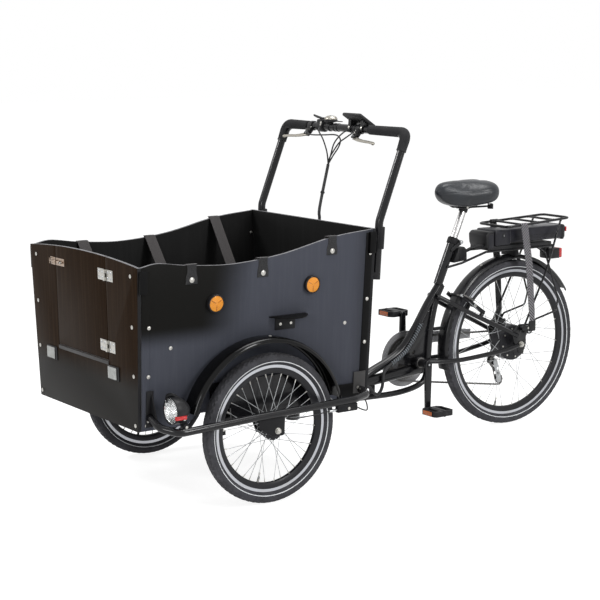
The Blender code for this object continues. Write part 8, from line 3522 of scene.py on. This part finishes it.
    def dock(self) -> None:
        """The rail under the battery, the contact case in front of it and the cable to the controller."""
        rail = block("rail", by_axle(-0.052, -0.161, 0.3785), by_axle(0.052, 0.173, 0.3925), 0.0025)
        made = Kit()
        made.add(rail, BLACK_PLASTIC)
        outline = [by_axle(0, y, z).yz for y, z in (
            (-0.156, 0.3795), (-0.1275, 0.3795), (-0.1275, 0.45), (-0.158, 0.45), (-0.171, 0.4385),
            (-0.168, 0.405),
        )]
        made.add(plate("case", outline, 0.104, across(0.0), 0.0045), BLACK_PLASTIC)
        for side in (1, -1):
            inner, outer = sorted((side * 0.0516, side * 0.053))
            made.add(
                block("panel", by_axle(inner, -0.158, 0.386), by_axle(outer, -0.133, 0.44), 0.0006),
                CASE_PLASTIC,
            )
        made.add(
            rod(
                "gland", by_axle(0.03, -0.164, 0.398), by_axle(0.03, -0.176, 0.394), 0.0062, 20, bevel=0.001
            ),
            GRIP,
        )
        made.keep("dock_case", self.body, "black_plastic", "battery_dock")
        cord(
            "cable_power",
            [
                by_axle(0.03, -0.17, 0.397), by_axle(0.029, -0.194, 0.399), by_axle(0.022, -0.215, 0.393),
                by_axle(0.012, -0.232, 0.383), by_axle(0.008, -0.2445, 0.372),
            ],
            0.0042, self.body, CABLE,
        )

    def controller(self) -> None:
        """The controller behind the seat tube, with its cooling fins."""
        step = SEAT_BACK * 0.0183
        first = SEAT_TOP - SEAT_WAY * 0.094 + step
        second = SEAT_TOP - SEAT_WAY * 0.034 + step
        outline = [
            first.yz, second.yz, (second.y + 0.03, second.z + 0.004), (second.y + 0.041, second.z - 0.016),
            (second.y + 0.042, first.z + 0.006),
        ]
        box = plate("box", outline, 0.056, across(0.0), 0.0035)
        made = Kit()
        made.add(box, BLACK_PLASTIC)
        fin = block(
            "fin", (0.027, second.y + 0.004, first.z + 0.008),
            (0.0292, second.y + 0.0075, second.z - 0.003), 0.0005,
        )
        made.add(repeated("fins", fin, shift_row(5, (0, 0.0068, 0))), BLACK_PLASTIC)
        made.keep("controller_case", self.body, "black_plastic", "controller_box")

    def lamp(self) -> None:
        """The tail lamp: body, neck, bezel and ribbed red lens."""
        body = block("body", by_axle(-0.03, 0.184, 0.3165), by_axle(0.03, 0.24, 0.3585), 0.007, 3)
        neck = block("neck", by_axle(-0.012, 0.176, 0.3285), by_axle(0.012, 0.2, 0.3685), 0.003)
        lens = block("lens", by_axle(-0.0265, 0.237, 0.318), by_axle(0.0265, 0.258, 0.357), 0.005, 3)
        made = Kit()
        made.add(body, BLACK_PLASTIC)
        made.add(neck, BLACK_PLASTIC)
        made.add(lens, RED)
        made.add(
            block("bezel", by_axle(-0.029, 0.2355, 0.317), by_axle(0.029, 0.241, 0.358), 0.004, 3),
            SATIN_BLACK,
        )
        made.keep("tail_lamp", self.body, "red_lens", "rear_light")

    def mudguard(self) -> None:
        """A rolled-edge mudguard with its lug, bridge and bolts."""
        radius, half = PLAN.rear_r + self.guard_gap, self.guard_half
        right = [
            (half - 0.0018, radius - 0.0132), (half - 0.0004, radius - 0.0142), (half, radius - 0.0128),
            (half - 0.0022, radius - 0.007), (half - 0.007, radius - 0.0024), (half - 0.015, radius),
        ]
        profile = mirrored(right)
        centre = tuple(by_axle(0, 0, 0))
        made = Kit()
        made.add(sweep("guard", profile, centre, *self.guard_span, 84, 0.0018), GUARD_BLACK, angle=40.0)
        lug = block("lug", by_axle(-0.007, -0.3852, 0.083), by_axle(0.007, -0.3292, 0.095), 0.002)
        bridge = block("bridge", by_axle(-0.0407, -0.01, 0.3445), by_axle(0.0407, 0.01, 0.3765), 0.003)
        made += [dress(lug, SATIN_BLACK), dress(bridge, SATIN_BLACK)]
        for angle in (60.0, 115.0):
            turn = math.radians(angle)
            normal = Vector((0, math.cos(turn), math.sin(turn)))
            made.append(
                put(
                    bolt_head("bolt", 0.0042, 0.0028),
                    facing(Vector(centre) + normal * (radius + 0.0007), normal),
                )
            )
        made.keep("rear_guard", self.body, "gloss_fender", "rear_mudguard")

    def strap(self, side: Side) -> None:
        """One elastic luggage strap that hangs from the platform, with its loop and its clip.

        Args:
            side: The rider's left or right.
        """
        rows = [(0.474, -0.027, 0.007), (0.393, -0.013, 0.021), (0.312, 0.001, 0.035),
            (0.216, 0.0107, 0.0423), (0.12, 0.0204, 0.0496), (0.09, 0.027, 0.047), (0.076, 0.032, 0.0445)]
        edge = self.half(-0.01) + self.wire + 0.0007
        slope = (edge - 0.0965) / 0.404

        def out(z: float) -> float:
            """How far out the strap hangs at a height."""
            return 0.0965 + slope * (z - 0.07)

        line = through([by_axle(out(z), y, z) for z, y, _ in rows], 4)
        other = through([by_axle(out(z), y, z) for z, _, y in rows], 4)
        item = draw("strap", line)
        with editing():
            extrude((0, self.strap_wide, 0))
        count = len(line)
        area = 0.0
        for vertex in item.data.vertices:
            index = min(range(count), key=lambda k: abs(line[k].z - vertex.co.z))
            if vertex.co.y > line[index].y + self.strap_wide / 2:
                vertex.co = other[index]
        for k in range(count - 1):
            wide = ((other[k] - line[k]).length + (other[k + 1] - line[k + 1]).length) / 2
            area += wide * ((line[k + 1] + other[k + 1]) / 2 - (line[k] + other[k]) / 2).length
        with editing():
            bpy.ops.mesh.subdivide(number_cuts=1)
        modify(item, "SOLIDIFY", thickness=self.strap_thick, offset=0.0)
        dress(merge_and_face_out(item), CHEVRON if side is Side.LEFT else BLACK_WEB)
        keep_sided(item, side, "luggage_strap_", self.body, "grey_webbing", "carrier_strap_")
        round(run_length(line), 3)
        x = self.half(-0.01)
        ring = [
            *arc((x, self.top - 0.002), 0.0078, -25, 205, 14),
            *arc((x, self.top - 0.002), 0.0058, 205, -25, 14),
        ]
        loop = plate("loop", ring, self.strap_wide, along(PLAN.rear_y - 0.01, PLAN.rear_r))
        made = Kit()
        made.add(loop, CHEVRON if side is Side.LEFT else BLACK_WEB)
        clip = block("clip", by_axle(0.0935, 0.019, 0.052), by_axle(0.1005, 0.053, 0.093), 0.0028)
        hook = tube("hook", bent([by_axle(0.0965, 0.036, 0.058), by_axle(0.0965, 0.03, 0.044),
            by_axle(0.0935, 0.016, 0.046), by_axle(0.0915, 0.018, 0.058)], 0.01, 6), 0.0028, 12)
        made += [dress(clip, BLACK_PLASTIC), dress(hook, BLACK_PLASTIC)]
        made.keep_sided(side, "strap_fittings_", self.body, "black_plastic")


@dataclass
class Seat:
    """Post, padded saddle, rails and springs."""

    body: str = "seat"
    post_r: float = 0.0136
    centre: tuple[float, float, float] = (0.0, 0.5528, 0.9222)
    voxel: float = 0.005
    pressure: float = 4.0
    cap: float = 0.006
    frames: int = 20
    shrink: float = 0.972
    smoothing: int = 3
    stations: tuple[tuple[float, float, float, float], ...] = (
        (-0.158, 0.006, 0.014, 0.01), (-0.152, 0.013, 0.028, 0.002), (-0.14, 0.026, 0.056, -0.012),
        (-0.119, 0.034, 0.088, -0.032), (-0.062, 0.058, 0.101, -0.047), (0.0, 0.085, 0.098, -0.044),
        (0.041, 0.104, 0.092, -0.037), (0.078, 0.102, 0.09, -0.034), (0.1, 0.088, 0.068, -0.02),
        (0.112, 0.06, 0.04, -0.006),
    )

    def build(self) -> None:
        """Build the seat."""
        self.post()
        self.saddle()
        self.frame()

    def near(self, x: float, y: float, z: float) -> Vector:
        """A place measured from the saddle's middle."""
        return Vector(self.centre) + Vector((x, y, z))

    def post(self) -> None:
        """A polished post with engraved depth lines."""
        low, high = SEAT_TOP - SEAT_WAY * 0.125, SEAT_TOP + SEAT_WAY * 0.105
        made = Kit()
        made.add(rod("post", low, high, self.post_r, 40, bevel=0.0006), POLISHED)
        for k in range(5):
            spot = SEAT_TOP + SEAT_WAY * (0.01 + 0.005 * k)
            made.add(bead("mark", spot, SEAT_WAY, self.post_r, 0.0002), DARK_STEEL)
        made.keep("seat_post_tube", self.body, "alloy", "seat_post")

    def saddle(self) -> None:
        """The saddle's cover: extruded station by station, filled like foam, then grooved and piped."""
        ring = [(0.0, 0.0), (0.62, 0.0), (0.9, 0.1), (1.0, 0.42), (0.93, 0.76), (0.64, 0.96), (0.0, 1.0)]
        ring += [(-x, z) for x, z in reversed(ring[1:-1])]
        first = self.stations[0]
        spots = [self.near(x * first[1], first[0], z * first[2] + first[3]) for x, z in ring]
        item = draw("saddle_cover", [*spots, spots[0]])
        with editing():
            bpy.ops.mesh.remove_doubles(threshold=SAME_SPOT)
            bpy.ops.mesh.edge_face_add()
            for (y, half, tall, low), (next_y, next_half, next_tall, next_low) in zip(
                self.stations, self.stations[1:]
            ):
                step = (0, next_y - y, next_low - low)
                extrude(step)
                bpy.ops.transform.resize(
                    value=(next_half / half, 1, next_tall / tall),
                    center_override=self.near(0, next_y, next_low),
                )
        merge_and_face_out(item)
        modify(item, "SUBSURF", levels=2, render_levels=2)
        self.fill(item)
        self.groove(item)
        item.name = "saddle_cover"
        keep(dress(item, SADDLE_VINYL, angle=ROUND), self.body, "saddle_vinyl", "saddle")

    def fill(self, item: Item) -> None:
        """Swell the cover with a short cloth simulation, no further than the cap.

        Args:
            item: The saddle's cover.
        """
        item.data.remesh_voxel_size = self.voxel
        alone(item)
        bpy.ops.object.voxel_remesh()
        middle = Vector(self.centre) + Vector((0, 0, 0.006))
        for vertex in item.data.vertices:
            vertex.co = middle + (vertex.co - middle) * self.shrink
        before = [vertex.co.copy() for vertex in item.data.vertices]
        step = item.modifiers.new("cloth", "CLOTH")
        step.settings.use_pressure = True
        step.settings.uniform_pressure_force = self.pressure
        step.settings.effector_weights.gravity = 0.0
        scene = bpy.context.scene
        for number in range(1, self.frames + 1):
            scene.frame_set(number)
        seen = item.evaluated_get(bpy.context.evaluated_depsgraph_get())
        after = [vertex.co.copy() for vertex in seen.data.vertices]
        item.modifiers.remove(step)
        scene.frame_set(1)
        for vertex, start, end in zip(item.data.vertices, before, after):
            move = end - start
            if move.length > self.cap:
                move *= self.cap / move.length
            vertex.co = start + move
        modify(item, "SMOOTH", factor=0.5, iterations=self.smoothing)
        modify(item, "SUBSURF", levels=1, render_levels=1)

    def groove(self, item: Item) -> None:
        """Press the middle channel, the sewn line round the skirt and the rear panel's seam.

        Args:
            item: The saddle's cover.
        """
        for vertex in item.data.vertices:
            x, y, z = vertex.co - Vector(self.centre)
            if z > 0.01:
                share = max(0.0, min(1.0, (y + 0.06) / 0.05)) * math.exp(-(x / 0.016) ** 2)
                vertex.co.z -= 0.006 * share
            seam = 0.012 + 0.018 * max(0.0, min(1.0, (y + 0.16) / 0.2))
            press = math.exp(-((z - seam + 0.012 * abs(x) / 0.1) / 0.0016) ** 2)
            if abs(vertex.normal.x) > 0.7 and y > -0.15:
                vertex.co.x -= math.copysign(0.0009 * press, x)

    def frame(self) -> None:
        """Clamp with its bolt, steel rails, coil springs and their yoke."""
        start = SEAT_TOP + SEAT_WAY * 0.1053
        made = Kit()
        made.add(rod("clamp", start, start + SEAT_WAY * 0.028, 0.017, 36, bevel=0.002), BLACK_PLASTIC)
        made.add(
            block("yoke", self.near(-0.024, -0.034, -0.054), self.near(0.024, 0.0, -0.04), 0.0035),
            BLACK_PLASTIC,
        )
        made.add(
            rod(
                "bolt", self.near(-0.029, -0.017, -0.047), self.near(0.029, -0.017, -0.047), 0.0052, 6,
                bevel=0.0006,
            ),
            ZINC,
        )
        for side in (1, -1):
            rail = bent([self.near(side * 0.012, -0.105, -0.02), self.near(side * 0.02, -0.05, -0.048),
                self.near(side * 0.022, 0.035, -0.048), self.near(side * 0.045, 0.083, -0.046)], 0.03, 6)
            made.add(tube("rail", rail, 0.0036, 14), SATIN_BLACK, angle=ROUND)
            coil = []
            for k in range(61):
                turn = math.tau * k / 15
                coil.append(
                    self.near(
                        side * 0.045 + 0.0095 * math.cos(turn), 0.083 + 0.0095 * math.sin(turn),
                        -0.0545 + 0.0185 * k / 60,
                    )
                )
            made.add(tube("coil", coil, 0.0021, 10), SATIN_BLACK, angle=ROUND)
            made.add(
                rod(
                    "foot", self.near(side * 0.045, 0.083, -0.056), self.near(side * 0.045, 0.083, -0.0535),
                    0.011, 28, bevel=0.0006,
                ),
                SATIN_BLACK,
            )
        made.keep("saddle_rails", self.body, "black_plastic", "saddle_frame")


def main() -> None:
    """Build the scene."""
    logging.basicConfig(level=logging.INFO, format="%(message)s")
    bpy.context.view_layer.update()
    Studio().build()
    for assembly in (
        Cables(), *wheels(), CargoBox(), FrontCarriage(), Handlebar(), RearFrame(), DriveTrain(),
        RimBrake(), Carrier(), Seat(),
    ):
        LOG.info("building %s", type(assembly).__name__)
        assembly.build()


if __name__ == "__main__":
    main()
